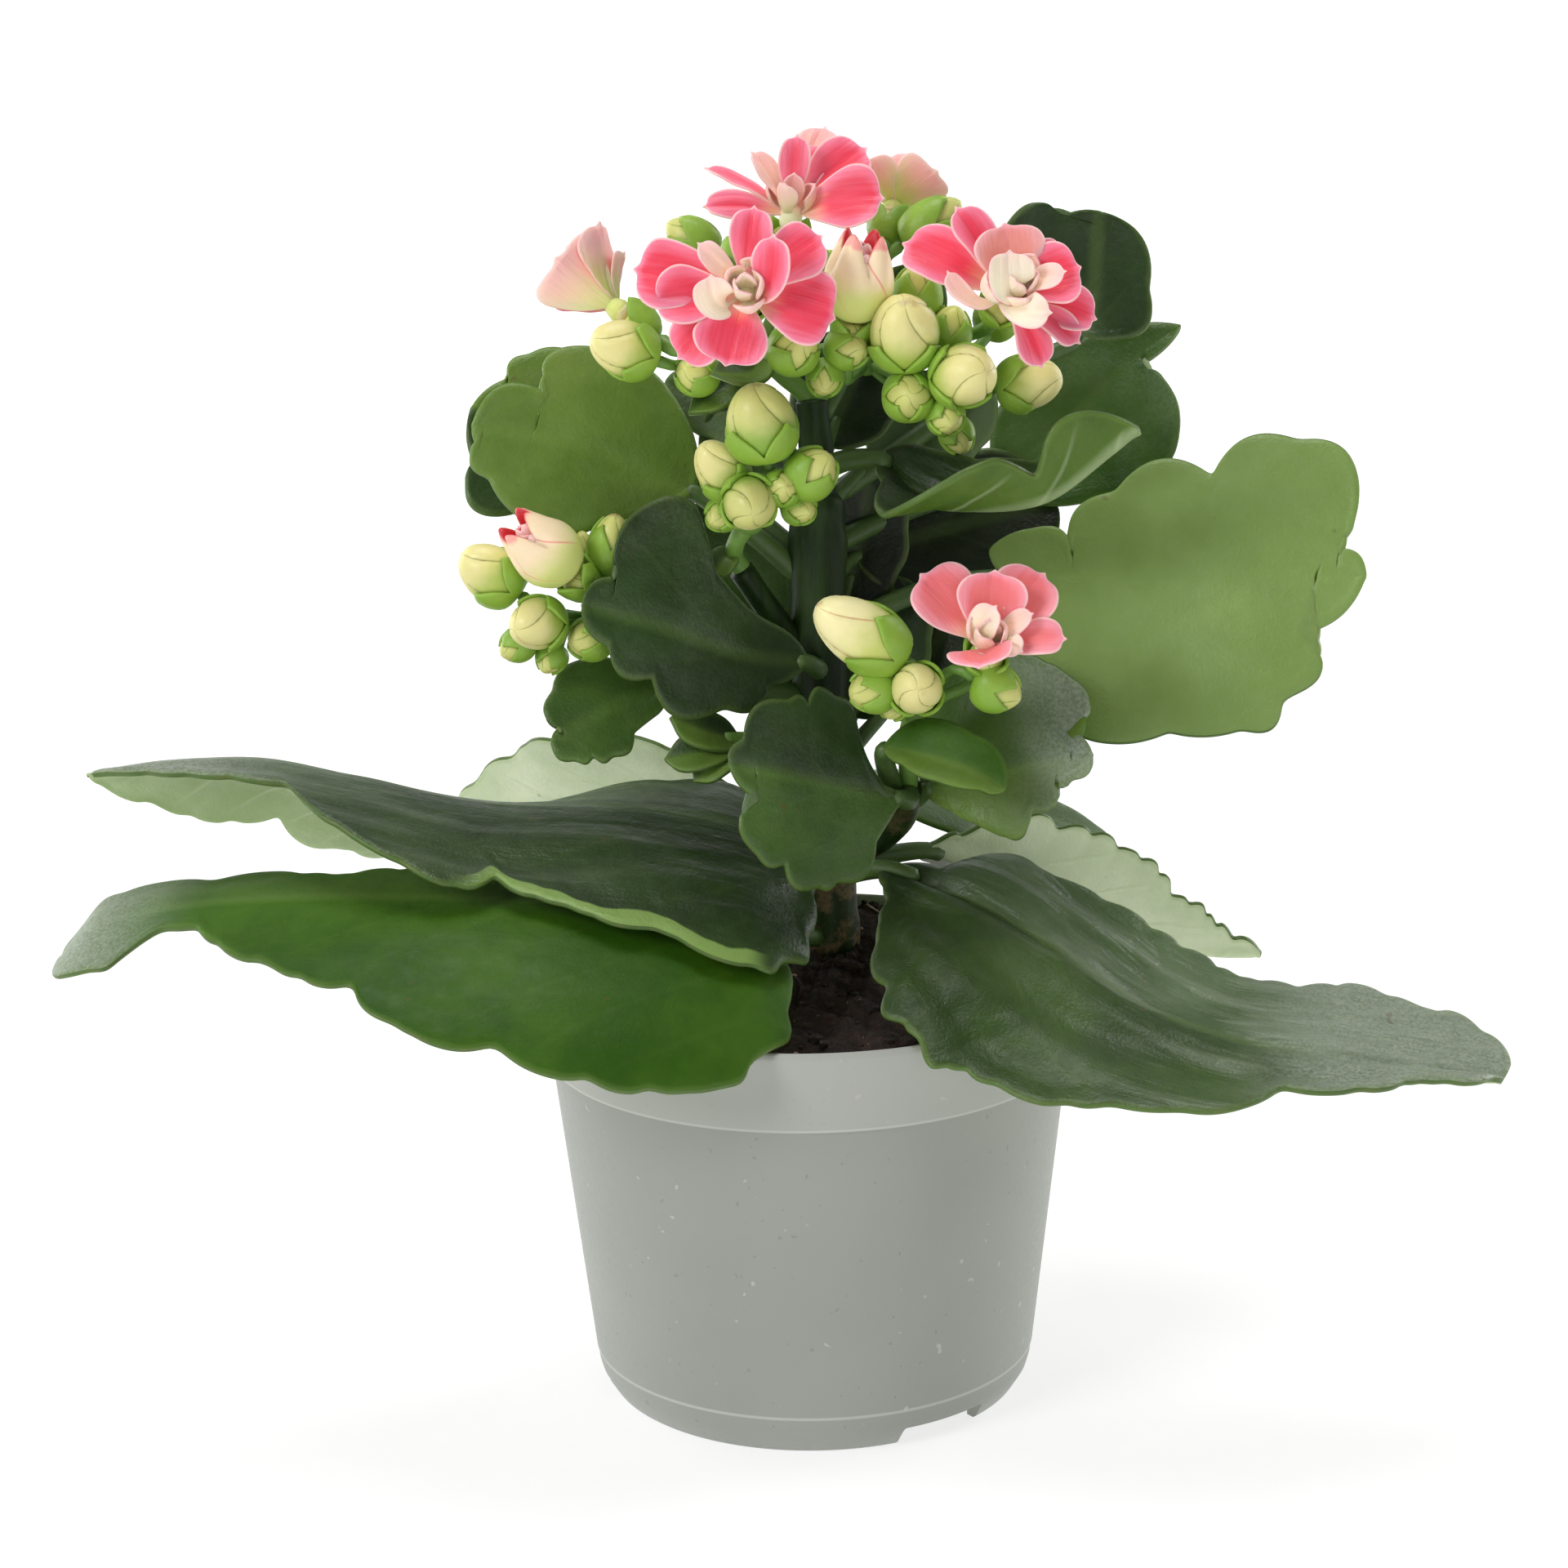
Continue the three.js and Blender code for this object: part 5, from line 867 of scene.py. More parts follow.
                [0.31, 10.5, 0.28], [0.19, 2.6, 0.3], [0.08, 6.1, 0.3], [-0.05, 3.5, 0.1]],
        },
        "right": {
            "half": 18, "fold": [4, 4], "curl": [-8, -8],
            "margin": [[0.8, 8, 0.18], [0.79, 16.3, 0.55], [0.68, 20.3, 0.35], [0.47, 20.8, 0.08],
                [0.24, 21.8, 0.08], [0.06, 15.4, 0.1]],
        },
    },
    "leaf_right_upper_back": {
        "stalk": [[2, 4.5, 109], [10, 9, 112], [18, 13, 114]],
        "rib": [[23.6, 15, 114.8], [32.9, 20, 120.2], [41.6, 23, 128.1], [49.9, 25, 134.3]],
        "facing": [[0.2, -0.85, 0.5], [-0.1, -0.8, 0.6]],
        "left": {"half": 11, "margin": [[0.75, 5.6, 0.1], [0.45, 7.6, 0.2], [0.12, 4, 0.2]]},
        "right": {
            "half": 13, "fold": [10, 10],
            "margin": [[0.78, 0.9, 0.1], [0.61, 13.5, 0.25], [0.32, 10.5, 0.15]],
        },
    },
    "leaf_top_right": {
        "stalk": [[3, 4.5, 115.5], [14, 10, 122], [27, 15, 130]],
        "rib": [[36.9, 17, 134.1], [37.9, 19, 138.8], [38.4, 21, 144.3], [38.8, 22, 149.4]],
        "facing": [[0, -0.95, 0.3]],
        "left": {"half": 11, "margin": [[0.95, 4.8, 0.1], [0.91, 11.4, 0.3], [0.25, 10.3, 0.2]]},
        "right": {"half": 8, "margin": [[0.42, 7.2, 0.25], [0.02, 4, 0.3]]},
    },
    "leaf_right_narrow": {
        "stalk": [[3.5, 1.5, 120.5], [6, -0.5, 121.6]],
        "rib": [[9.6, -2, 122.1], [14.9, -9, 119.2], [21.7, -13, 117.9], [30.6, -14, 119], [41, -13, 126.9]],
        "facing": [[0, -0.6, 0.8], [-0.3, -0.1, 0.95]],
        "left": {
            "half": 8, "fold": [10, 20], "curl": [10, 20],
            "margin": [[0.7, 5, 0.1], [0.37, 6.4, 0.1], [0.05, 4.3, 0.05]],
        },
        "right": {
            "half": 7, "fold": [-15, 5, 68, 85, 85], "curl": [10, 10],
            "margin": [[0.63, 3.8, 0.4], [0.12, 2.5, 0.35]],
        },
    },
}

# %% Leaf looks
# For each leaf: the tone left and right of its rib, the tone below, the share of grey bloom, partly waxy
# and partly painted sheen, how wrinkled it is, its rows, and the depth and spacing of its teeth in mm.
LEAF_LOOKS = {
    "leaf_low_left_upper": ("deep", "deep", "back", 0.06, 0.5, 121, (0.7, 7.5)),
    "leaf_low_left_lower": ("fresh", "olive", "back", 0.03, 0.35, 121, (0.9, 8)),
    "leaf_low_right": ("grey", "moss", "back", 0.08, 1.5, 121, (1.0, 8)),
    "leaf_back_right": ("fresh", "pale", "chalk", 0.2, 0.4, 80, (1.2, 4)),
    "leaf_back_right_hidden": ("olive", "grey", "back", 0.3, 0.4, 60, (0.7, 6)),
    "leaf_back_left": ("olive", "olive", "chalk", 0.2, 0.5, 60, (0.4, 6)),
    "leaf_back_low": ("olive", "olive", "back", 0.2, 0.4, 48, (0.4, 6)),
    "leaf_mid_left_large": ("mid", "mid", "mid", 0.1, 0.08, 99, None),
    "leaf_mid_left_behind": ("deep", "mid", "mid", 0.2, 0.15, 70, None),
    "leaf_mid_left_dark": ("deep", "deep", "grey", 0.2, 0.15, 99, None),
    "leaf_mid_left_small": ("olive", "olive", "mid", 0.1, 0.15, 77, None),
    "leaf_mid_centre": ("olive", "deep", "grey", 0.1, 0.25, 99, None),
    "leaf_mid_right_dark": ("olive", "mid", "mid", 0.2, 0.25, 99, (0.3, 4)),
    "leaf_mid_small_folded": ("fresh", "mid", "mid", 0.1, 0.1, 50, None),
    "leaf_right_large": ("pale", "pale", "pale", 0.1, 0.08, 110, None),
    "leaf_right_upper_back": ("olive", "fresh", "back", 0.3, 0.15, 80, None),
    "leaf_top_right": ("deep", "deep", "grey", 0.25, 0.15, 77, None),
    "leaf_right_narrow": ("deep", "deep", "meadow", 0.15, 0.9, 90, None),
}
FOLDED_BAND = {"leaf_low_left_upper": 2.6}
# Where along the rib, in mm, a painted grey sheen begins and is full, and how strongly a leaf is wrinkled;
# a wrinkled leaf also gets painted sheen on its ridges, and the most wrinkled painted shade at its base.
SHINY_TIPS = {
    "leaf_low_left_upper": (58, 84), "leaf_low_left_lower": (80, 96),
    "leaf_low_right": (50, 68), "leaf_mid_right_dark": (10, 24),
}
RIDGED = {
    "leaf_low_left_upper": 0.35, "leaf_low_left_lower": 0.2, "leaf_low_right": 1.0, "leaf_right_narrow": 1.0,
}
HARDLY_RIDGED = 0.08
print(len(LEAF_LOOKS), "leaves have looks,", len(RIDGED), "of them are wrinkled")

# %% Leaf relief
def leaf_relief(wrinkle, phase, band):
    """How far, in millimetres, a leaf's skin stands above its middle surface."""

    def relief(place, half):
        along, out, gap = place.T
        inside = np.clip(gap / 5, 0, 1)
        groove = -(0.1 + 0.35 * wrinkle) * np.exp(-((out / 1.0) ** 2))
        fan = out / (5 + 0.22 * np.clip(along, 0, None))
        swing = 0.6 + 0.4 * np.sin(along / 7 + 3 * fan)
        ridges = np.sin(7 * fan + 1.5 * np.sin(along / 13 + phase)) * swing
        fine = np.sin(17 * fan + 2 * np.sin(along / 6)) * np.sin(along / 4.1 + 5 * fan + phase)
        broad = np.sin(along / 8.1 + phase) * np.sin(out / 4.7 + 2 * phase)
        lip = 0.18 * np.exp(-(((gap - 1.1) / 0.7) ** 2))
        fold = 0.35 * np.clip((band + 1 - gap) / 0.5, 0, 1) * (out < 0) * (along < 42) if band else 0
        wrinkles = wrinkle * (0.5 * ridges + 0.16 * fine)
        return groove + lip + fold + inside * (wrinkles + (0.1 + 0.45 * wrinkle) * broad)

    return relief


# %% Leaves
LEAF_THICKNESS = 1.25
PETIOLE_RADII = [1.5, 1.35, 1.2, 1.0]
SUNK_AT = (0.01, 0.07)
ROWS_PER_PAIR = 11
for order, (name, shape) in enumerate(LEAVES.items()):
    left, right, below, wax_and_sheen, wrinkle, rows, teeth = LEAF_LOOKS[name]
    band = FOLDED_BAND.get(name, 0.0)
    body = blade(
        name + "_skin", shape["rib"], shape["facing"], shape["left"], shape.get("right"), rows=rows,
        columns=2 * (rows // ROWS_PER_PAIR), teeth=teeth, relief=leaf_relief(wrinkle, 1.7 * order, band),
    )
    tip, ridged = SHINY_TIPS.get(name, NO_TIP), RIDGED.get(name, HARDLY_RIDGED)
    top = leaf_material(left, right, wax_and_sheen, band=band, tip=tip, ridged=ridged)
    paint(body, top, leaf_material(below, below, 0.1, under=True), leaf_rim)
    thicken(body, LEAF_THICKNESS, 0.75, under=1, edge=2)
    path = Rib(shape["rib"])
    sunk = [path.at(np.array(share)).tolist() for share in SUNK_AT]
    petiole = tube(name + "_stalk", [*shape["stalk"], *sunk], PETIOLE_RADII)
    paint(petiole, stalk_green)
    hand_over(joined(name + "_fine", [body, petiole]), [name])

# %% [markdown]
# ## The blooms
# A double kalanchoe bloom is four rings of petals that open one after another: the outer ones lie flat
# and deep pink, the inner ones still stand, curl over the middle and are cream or peach. A particle
# system could scatter petals, but each outer petal here has a place of its own in the picture, so the
# outer ones follow the part's ribs, and only the small inner ones are set by a rule, a golden angle apart.

# %% Petal materials
def petal_material(name, deep, light, foot, rim, base=0.4):
    """A petal face: deep in its middle, lighter to its margin, streaked along its length, with a pale rim;
    its foot colour begins at the share base of its length."""
    made, tree, shader = blank(name)
    along, out, gap = place_of(tree)
    cream, chance, reach = place_of(tree, "tone")
    drawn_out = {"X": times(tree, along, 0.12), "Y": times(tree, out, 1.6), "Z": times(tree, chance, 9)}
    streaks = noise(tree, 1.0, 3, 0.6, node(tree, "ShaderNodeCombineXYZ", drawn_out).outputs["Vector"])
    shade = plus(tree, times(tree, streaks, 0.4), step(tree, gap, 2.7, 0.1, 0.0, 0.4))
    colour = blend(tree, step(tree, shade, 0.1, 0.85), deep, light)
    low = plus(tree, reach, times(tree, calc(tree, "SUBTRACT", streaks, 0.5), 0.3))
    colour = blend(tree, step(tree, low, base, 0.05), colour, foot)
    inner = blend(tree, step(tree, low, 0.45, 1.05), rgb(255, 246, 214), rgb(255, 218, 206))
    colour = blend(tree, cream, colour, inner)
    colour = blend(tree, times(tree, step(tree, gap, 0.4, 0.1), 0.6), colour, rim)
    skin = noise(tree, 2200, 2)
    height = plus(tree, times(tree, streaks, 1.4), times(tree, skin, 0.3))
    finish(tree, shader, colour, step(tree, skin, 0.3, 0.8, 0.42, 0.6), height, 0.5, 0.0002)
    let_light_in(shader, 0.25, (1.0, 0.45, 0.4), 0.002)
    shader.inputs["Sheen Weight"].default_value = 0.08
    return made


petal_face = petal_material(
    "petal_face", rgb(238, 56, 84), rgb(253, 146, 176), rgb(254, 190, 160), rgb(255, 214, 210))
petal_back = petal_material(
    "petal_back", rgb(250, 176, 182), rgb(252, 206, 200), rgb(206, 216, 112), rgb(254, 214, 208), base=0.75)
petal_rim = plain_green("petal_rim", rgb(250, 176, 182), rgb(254, 208, 204), 300)

# %% [markdown]
# The petals' ribs are given as they are seen from the front: right, up and towards the viewer. Each is a
# short curve that leaves the heart of the bloom, and its blade is rounded and ends in a tiny point.

# %% Petals
VIEW_TILT = math.radians(10)
VIEW_UP = np.array([0, math.sin(VIEW_TILT), math.cos(VIEW_TILT)])
VIEW_TOWARD = np.array([0, -math.cos(VIEW_TILT), math.sin(VIEW_TILT)])
PETAL_RISE = 1.6
PETAL_THICKNESS = 0.6
PETAL_UNEVENNESS = 0.07
draw = np.random.default_rng(7)


def from_view(x, y, z):
    return np.array([x, 0.0, 0.0]) + VIEW_UP * y + VIEW_TOWARD * z


def petal(start, axis, end, bend, half, roll=0.0, fold=8, curl=12, cream=0.0, rows=20, columns=12):
    """One petal from the heart at start to its tip at end; cream is how much it keeps a bud's colours."""
    shares = np.array([0.08, 0.4, 0.7, 1.0])[:, None]
    rib = start * (1 - shares) ** 2 + 2 * bend * shares * (1 - shares) + end * shares**2
    face = Vector(axis)
    face.rotate(Matrix.Rotation(math.radians(roll), 3, Vector(end - start)))
    sides = []
    for _ in range(2):
        a, b, c, d = 1 + PETAL_UNEVENNESS * (2 * draw.random(4) - 1)
        margin_line = [
            [0.985, 0.04 * half, 0], [0.945, 0.16 * half, 0], [0.925, 0.52 * a * half, 0],
            [0.85, 0.84 * b * half, 0], [0.66, c * half, 0], [0.3, 0.6 * d * half, 0],
        ]
        sides.append({"half": half, "margin": margin_line, "fold": [fold, fold], "curl": [curl, curl]})
    chance = draw.random()
    wave = draw.random() * 6

    def relief(place, half):
        along, out, gap = place.T
        edge = np.clip(np.abs(out) / half, 0, 1) ** 2
        return 0.28 * edge * np.sin(along * 0.9 + wave) + 0.07 * np.sin(out * 4.2) * np.clip(gap, 0, 1)

    def marks(u, v):
        return {"tone": np.stack([np.full_like(u, cream), np.full_like(u, chance), 1 - u], axis=-1)}

    piece = blade(
        "petal", rib, [list(face)], *sides,
        rows=rows, columns=columns, smooth=True, relief=relief, marks=marks)
    paint(piece, petal_face, petal_back, petal_rim)
    return thicken(piece, PETAL_THICKNESS, 0.4, under=1, edge=2, band=1.2)


# %% Bloom shapes
# Each bloom has a heart, in mm, and the way that it faces, and then its petals: the tip, as seen from the
# heart, the half width, and what differs from a plain petal.
BLOOMS = {
    "bloom_front_left": {
        "heart": [-6.1, -17, 144.4], "axis": [0, 0.25, 1],
        "petals": [
            ([-13.4, 3.2, 0.5], 4.6),
            ([-11.2, -0.8, 2.2], 3.8),
            ([-8.3, -7.6, 0], 3.6),
            ([-2.6, -8.6, 3], 5),
            ([10.6, -3.2, 1], 5),
            ([9.2, 6.8, 0], 3.8),
            ([1.2, 10.4, 1.5], 2.8),
            ([3.4, 6.8, 5], 2.6, {"via": [3.5, -3, 3], "roll": -30}),
            ([-4, 2.2, 5], 2.6, {"via": [-4, -4, 2], "cream": 0.9}),
            ([-5.6, 6, 3.8], 1.6, {"cream": 0.7}),
        ],
    },
    "bloom_back_top": {
        "heart": [-0.7, 2, 151.5], "axis": [0.1, 0.85, 0.5],
        "petals": [
            ([11.6, 1.8, 3], 4.4, {"roll": 40}),
            ([9.6, 8.4, -1], 3.8, {"roll": 30}),
            ([1, 10, 2], 2.2),
            ([4.4, 9, -3], 2.6),
            ([-4.8, 8, 1], 2.2, {"cream": 0.6}),
            ([-10.6, 6.2, 0], 1.6),
            ([-10.8, 1.2, 3], 2.2, {"roll": -30}),
            ([4.6, 11.6, -6], 2.8, {"cream": 0.5}),
        ],
    },
    "bloom_front_right": {
        "heart": [25.2, -11.5, 143], "axis": [0.25, 0.4, 0.9],
        "petals": [
            ([-12.6, 6.6, -1], 4.4),
            ([-6.2, 10.8, 0.5], 2.7),
            ([-0.4, 8.6, 2.5], 4.8, {"cream": 0.35}),
            ([8.8, 3.2, 2], 4.2),
            ([7, 6, -1], 2.6),
            ([10.8, -3, -0.5], 3.3),
            ([8.6, -6, 2], 2.2),
            ([4, -8.8, 1.5], 2.6),
            ([0, 5.2, 5.5], 3.2, {"via": [0, -1, 6.5], "cream": 0.95}),
            ([5, -2.4, 6.5], 2.6, {"via": [-1, -2.5, 6], "cream": 0.9}),
            ([6.8, 2.6, 5], 1.7, {"cream": 0.7}),
            ([-7.4, 3, 3.5], 1.4, {"via": [-5, -3, 3], "cream": 0.6}),
        ],
    },
    "bloom_low_right": {
        "heart": [22.1, -21, 102], "axis": [0, 0.45, 0.9],
        # The small cream share of its outer petals lightens them: painted light on petals that lie in shade.
        "petals": [
            ([-8, 9, 0], 4.4, {"cream": 0.16}),
            ([1, 9.4, 2.4], 4.6, {"curl": 24, "cream": 0.16}),
            ([7.2, 8.8, -1], 4.4, {"cream": 0.16}),
            ([9.4, 1, 4], 2.6, {"cream": 0.16}),
            ([-1.4, -2.2, 7.5], 4.6, {"roll": 25, "cream": 0.16}),
            ([1, 5.2, 5], 2.2, {"via": [-2.6, 0.5, 3], "cream": 0.9}),
            ([4, -0.4, 5.6], 2, {"cream": 0.85}),
            ([5.4, 4.2, 4.6], 1.5, {"cream": 0.7}),
        ],
    },
    "bloom_far_left": {
        "heart": [-21.6, -7, 141.4], "axis": [-0.75, 0.55, -0.35],
        "petals": [
            ([-7.6, 6.4, 3.4], 5.6, {"curl": 26, "cream": 0.3}),
            ([-2.3, 11, -0.5], 4.2),
            ([-9.6, 1.6, -3.6], 3.4, {"roll": 180}),
            ([-6.6, 8.4, -4.5], 2.4),
            ([0.6, 7.4, -3], 2.4),
            ([-5.5, 3.5, -6], 2.8),
        ],
    },
    "bloom_far_back": {
        "heart": [12, 10, 151.2], "axis": [0.2, 0.7, -0.7],
        "petals": [
            ([5.8, 4.8, 1.5], 4.4),
            ([-3.6, 6.4, 0.5], 3.4),
            ([3.4, 7.2, -4], 3),
            ([-2, 4, -8], 3.4),
            ([5, 1, -7.5], 3.4),
        ],
    },
}

# %% Blooms
# The inner petals of a bloom: how many, the reach of the longest in mm, and how cream they are.
INNER_PETALS = {
    "bloom_front_left": (6, 5.6, 1.0),
    "bloom_back_top": (4, 5.5, 0.5),
    "bloom_front_right": (7, 6.6, 1.0),
    "bloom_low_right": (6, 6.0, 0.95),
    "bloom_far_left": (0, 4.0, 0.5),
    "bloom_far_back": (0, 4.0, 0.5),
}
GOLDEN_ANGLE = math.radians(137.5)


def bloom_axis(name):
    return unit(from_view(*BLOOMS[name]["axis"]))


def square_to(way):
    """Two directions square to a way and to each other."""
    aside = unit(np.cross(way, np.eye(3)[int(np.argmin(np.abs(way)))]))
    return aside, np.cross(way, aside)


for name, bloom in BLOOMS.items():
    heart, axis = np.array(bloom["heart"], float), bloom_axis(name)
    parts = []
    for tip, half, *extra in bloom["petals"]:
        looks = dict(*extra)
        via = looks.pop("via", None)
        lead = from_view(*via) if via else axis * PETAL_RISE + from_view(*tip) * 0.4
        parts.append(petal(heart, axis, heart + from_view(*tip), heart + lead, half, **looks))
    count, reach, cream = INNER_PETALS[name]
    aside, over = square_to(axis)
    for k in range(count):
        turn = k * GOLDEN_ANGLE
        spread = reach * (0.25 + 0.75 * k / max(1, count - 1))
        outward = aside * math.cos(turn) + over * math.sin(turn)
        end = heart + outward * spread * 0.62 + axis * (reach * 1.12 - 0.35 * spread)
        lead = outward * spread * 0.85 + axis * reach * 0.25
        shade, half = cream * (1 - 0.2 * k / count), 1.5 + 0.22 * spread
        parts.append(petal(heart, -outward * 0.6 + axis, end, heart + lead, half, 0, 14, 42, shade, 12, 6))
    paleness = 0.8 if count else 0.1

    def core_marks(u, v):
        return {"tone": np.stack([np.full_like(u, paleness), u, 0 * u], axis=-1)}

    core = tube("heart", [heart - axis * 1.5, heart, heart + axis * 1.8], [1.2, 1.5, 1.0], 8, 12, core_marks)
    paint(core, petal_back)
    hand_over(joined(name + "_fine", [*parts, core]), [name])

# %% [markdown]
# ## Buds and sprays
# A closed bud is a cone of petals twisted round each other, held by a calyx of four fleshy sepals. A
# sphere with a bump map would pass from afar, but the seams between its petals and the gaps between its
# sepals show in the outline, so body and calyx are sheets rolled round the bud's axis, shaped by formula.

# %% Bud materials
def bud_material(name, top, low, seam_colour, tip_colour, inside=None):
    """Petals of a bud: the tip colour above, the low one by the calyx, and dark seams between them; an
    open bud also has an inside colour, past its rim."""
    made, tree, shader = blank(name)
    height, seam, course = place_of(tree, "bud_place")
    seam = calc(tree, "ABSOLUTE", seam)
    patch = plus(tree, height, times(tree, calc(tree, "SUBTRACT", noise(tree, 320, 3), 0.5), 0.35))
    colour = blend(tree, step(tree, patch, 0.3, 0.75), low, top)
    by_seam = times(tree, step(tree, seam, 0.12, 0.0), step(tree, height, 0.3, 0.6, 0.2, 0.9))
    colour = blend(tree, by_seam, colour, seam_colour)
    colour = blend(tree, times(tree, step(tree, patch, 1.0, 1.08), 0.8), colour, tip_colour)
    if inside:
        colour = blend(tree, step(tree, course, 0.71, 0.75), colour, inside)
    fine = noise(tree, 1800, 2)
    finish(tree, shader, colour, step(tree, fine, 0.3, 0.8, 0.38, 0.52), fine, 0.25, 0.0002)
    let_light_in(shader, 0.25, (1.0, 0.9, 0.5), 0.0018)
    return made


BUD_COLOURS = {
    "bud_cream": [(226, 218, 148), (168, 190, 80), (150, 152, 74), (150, 108, 66)],
    "bud_green": [(206, 208, 122), (136, 172, 56), (104, 136, 48), (150, 120, 70)],
    "bud_ripe": [(246, 236, 178), (200, 208, 108), (214, 176, 122), (170, 120, 84)],
    "bud_fresh": [(206, 206, 126), (138, 174, 62), (128, 140, 60), (140, 92, 60)],
    "bud_pink": [(252, 226, 190), (214, 222, 130), (240, 150, 140), (248, 150, 150), (196, 30, 44)],
}
bud_skins = {}
for name, colours in BUD_COLOURS.items():
    bud_skins[name] = bud_material(name, *[rgb(*colour) for colour in colours])
calyx_green = plain_green("calyx_green", rgb(108, 152, 38), rgb(158, 192, 72), 220)
pedicel_green = plain_green("pedicel_green", rgb(88, 132, 48), rgb(126, 162, 76), 180)

# %% Rolled shapes
TIP = 1e-6
THINNEST = 0.02


def rolled(name, foot, way, outline, rows, sides, shape=None, marks=None):
    """A sheet rolled round an axis; outline is points of (radius, height) in mm, and shape may change it."""
    foot, way = np.array(foot, float), unit(np.array(way, float))
    aside, over = square_to(way)
    line = Rib([[radius, height, 0] for radius, height in outline])
    top = max(height for _, height in outline)

    def surface(u, v):
        turn = -2 * math.pi * v
        radius, height = line.at(u)[:, 0], line.at(u)[:, 1]
        least = np.where((u < TIP) | (u > 1 - TIP), 0, THINNEST)
        radius = np.maximum(least, radius)
        if shape:
            radius, height = shape(radius, height, turn, u)
        ring = aside * np.cos(turn)[:, None] + over * np.sin(turn)[:, None]
        place = np.stack([height, radius * np.cos(turn), radius], axis=-1)
        own = marks(height / top, turn, u) if marks else {}
        return foot + ring * radius[:, None] + way * height[:, None], {"place": place, **own}

    return sheet(name, rows, sides, surface)


# %% Buds, calyxes and stalks
def seam_gap(turn, share):
    """How far a spot is from a seam, -1 to 1; the four seams twist up the bud."""
    return np.sin(2 * (turn + 1.5 * share))


def bud_marks(share, turn, u):
    return {"bud_place": np.stack([share, seam_gap(turn, share), u], axis=-1)}


# Outlines of buds: points of (share of the radius, share of the length).
BIG_BUD = [[0, 0.02], [0.62, 0.07], [0.9, 0.24], [0.97, 0.45], [0.86, 0.68], [0.6, 0.87], [0.3, 0.97], [0, 1]]
SMALL_BUD = [[0, 0.02], [0.7, 0.1], [0.95, 0.32], [0.92, 0.56], [0.66, 0.8], [0.3, 0.95], [0, 1]]
BIG_FROM = 3
SEPAL_THICKNESS = 0.45
SEPAL_GAP = 0.28
HUB_RADIUS = 1.7


def calyx(foot, way, outline, low=0.3, spread=0.0):
    """Four fleshy pointed sepals along an outline; between them they are only the share low as high."""

    def shape(r, z, turn, u):
        from_sepal = np.abs((turn / (math.pi / 2)) % 1 - 0.5) * 2
        share = low + (1 - low) * (1 - 0.5 * from_sepal**0.75 - 0.5 * from_sepal**3)
        keel = 1 + 0.05 * (1 - from_sepal) * u - 0.03 * from_sepal * u
        lifted = z * share
        reach = np.interp(lifted, [p[1] for p in outline], [p[0] for p in outline])
        return reach * keel + spread * np.clip(u - 0.5, 0, 1) * (1 - from_sepal), lifted

    piece = rolled("calyx", foot, way, outline, 12, 48, shape)
    paint(piece, calyx_green)
    return thicken(piece, SEPAL_THICKNESS, 1.0, level=0)


def bud(at, toward, length, radius, skin=None):
    """A closed bud with its middle at a point: petals in a twisted cone, in a calyx."""
    way = unit(np.array(toward, float))
    foot = np.array(at, float) - way * length / 2
    big = radius > BIG_FROM
    profile = BIG_BUD if big else SMALL_BUD

    def shape(r, z, turn, u):
        share = z / length
        depth = 0.16 * np.clip((share - 0.3) / 0.4, 0, 1)
        by_seam = 1 - np.clip(np.abs(seam_gap(turn, share)) / 0.35, 0, 1)
        return r * (1 - depth * by_seam**1.5 + 0.02 * np.sin(3 * turn)), z

    outline = [[r * radius, z * length] for r, z in profile]
    body = rolled("bud", foot, way, outline, 22 if big else 15, 40 if big else 28, shape, bud_marks)
    paint(body, bud_skins[skin or ("bud_cream" if big else "bud_green")])
    cup_top = 0.6 if big else 0.9
    fitted = Rib([[r, z, 0] for r, z in outline]).dense
    kept = fitted[fitted[:, 1] <= cup_top * length][::10]
    cup = [[0, 0], *[[r + SEPAL_GAP, z] for r, z, _ in kept[2:]]]
    return [body, calyx(foot - way * 0.2, way, cup, 0.3 if big else 0.62)]


def pedicel(hub, end, way, radius):
    """A thin stalk from the hub of a spray that meets what it carries along its way."""
    back = end - way * 3
    start = hub + unit(back - hub) * 0.7 * HUB_RADIUS
    thin = [radius * 1.1, radius * 0.85, radius * 0.9, radius * 1.35]
    piece = tube("pedicel", [start, back, end + way * 0.6], thin, 10, 10)
    paint(piece, pedicel_green)
    return piece


# %% Half-open buds
# Their foot, in mm, the way that they point, their length and their radius.
HALF_OPEN = {
    "half_open_centre": ([6.7, -9, 140.2], [0.14, -0.12, 1], 9.6, 4.4),
    "half_open_left": ([-28.4, -11, 110], [-0.66, -0.28, 0.68], 9, 4.3),
}
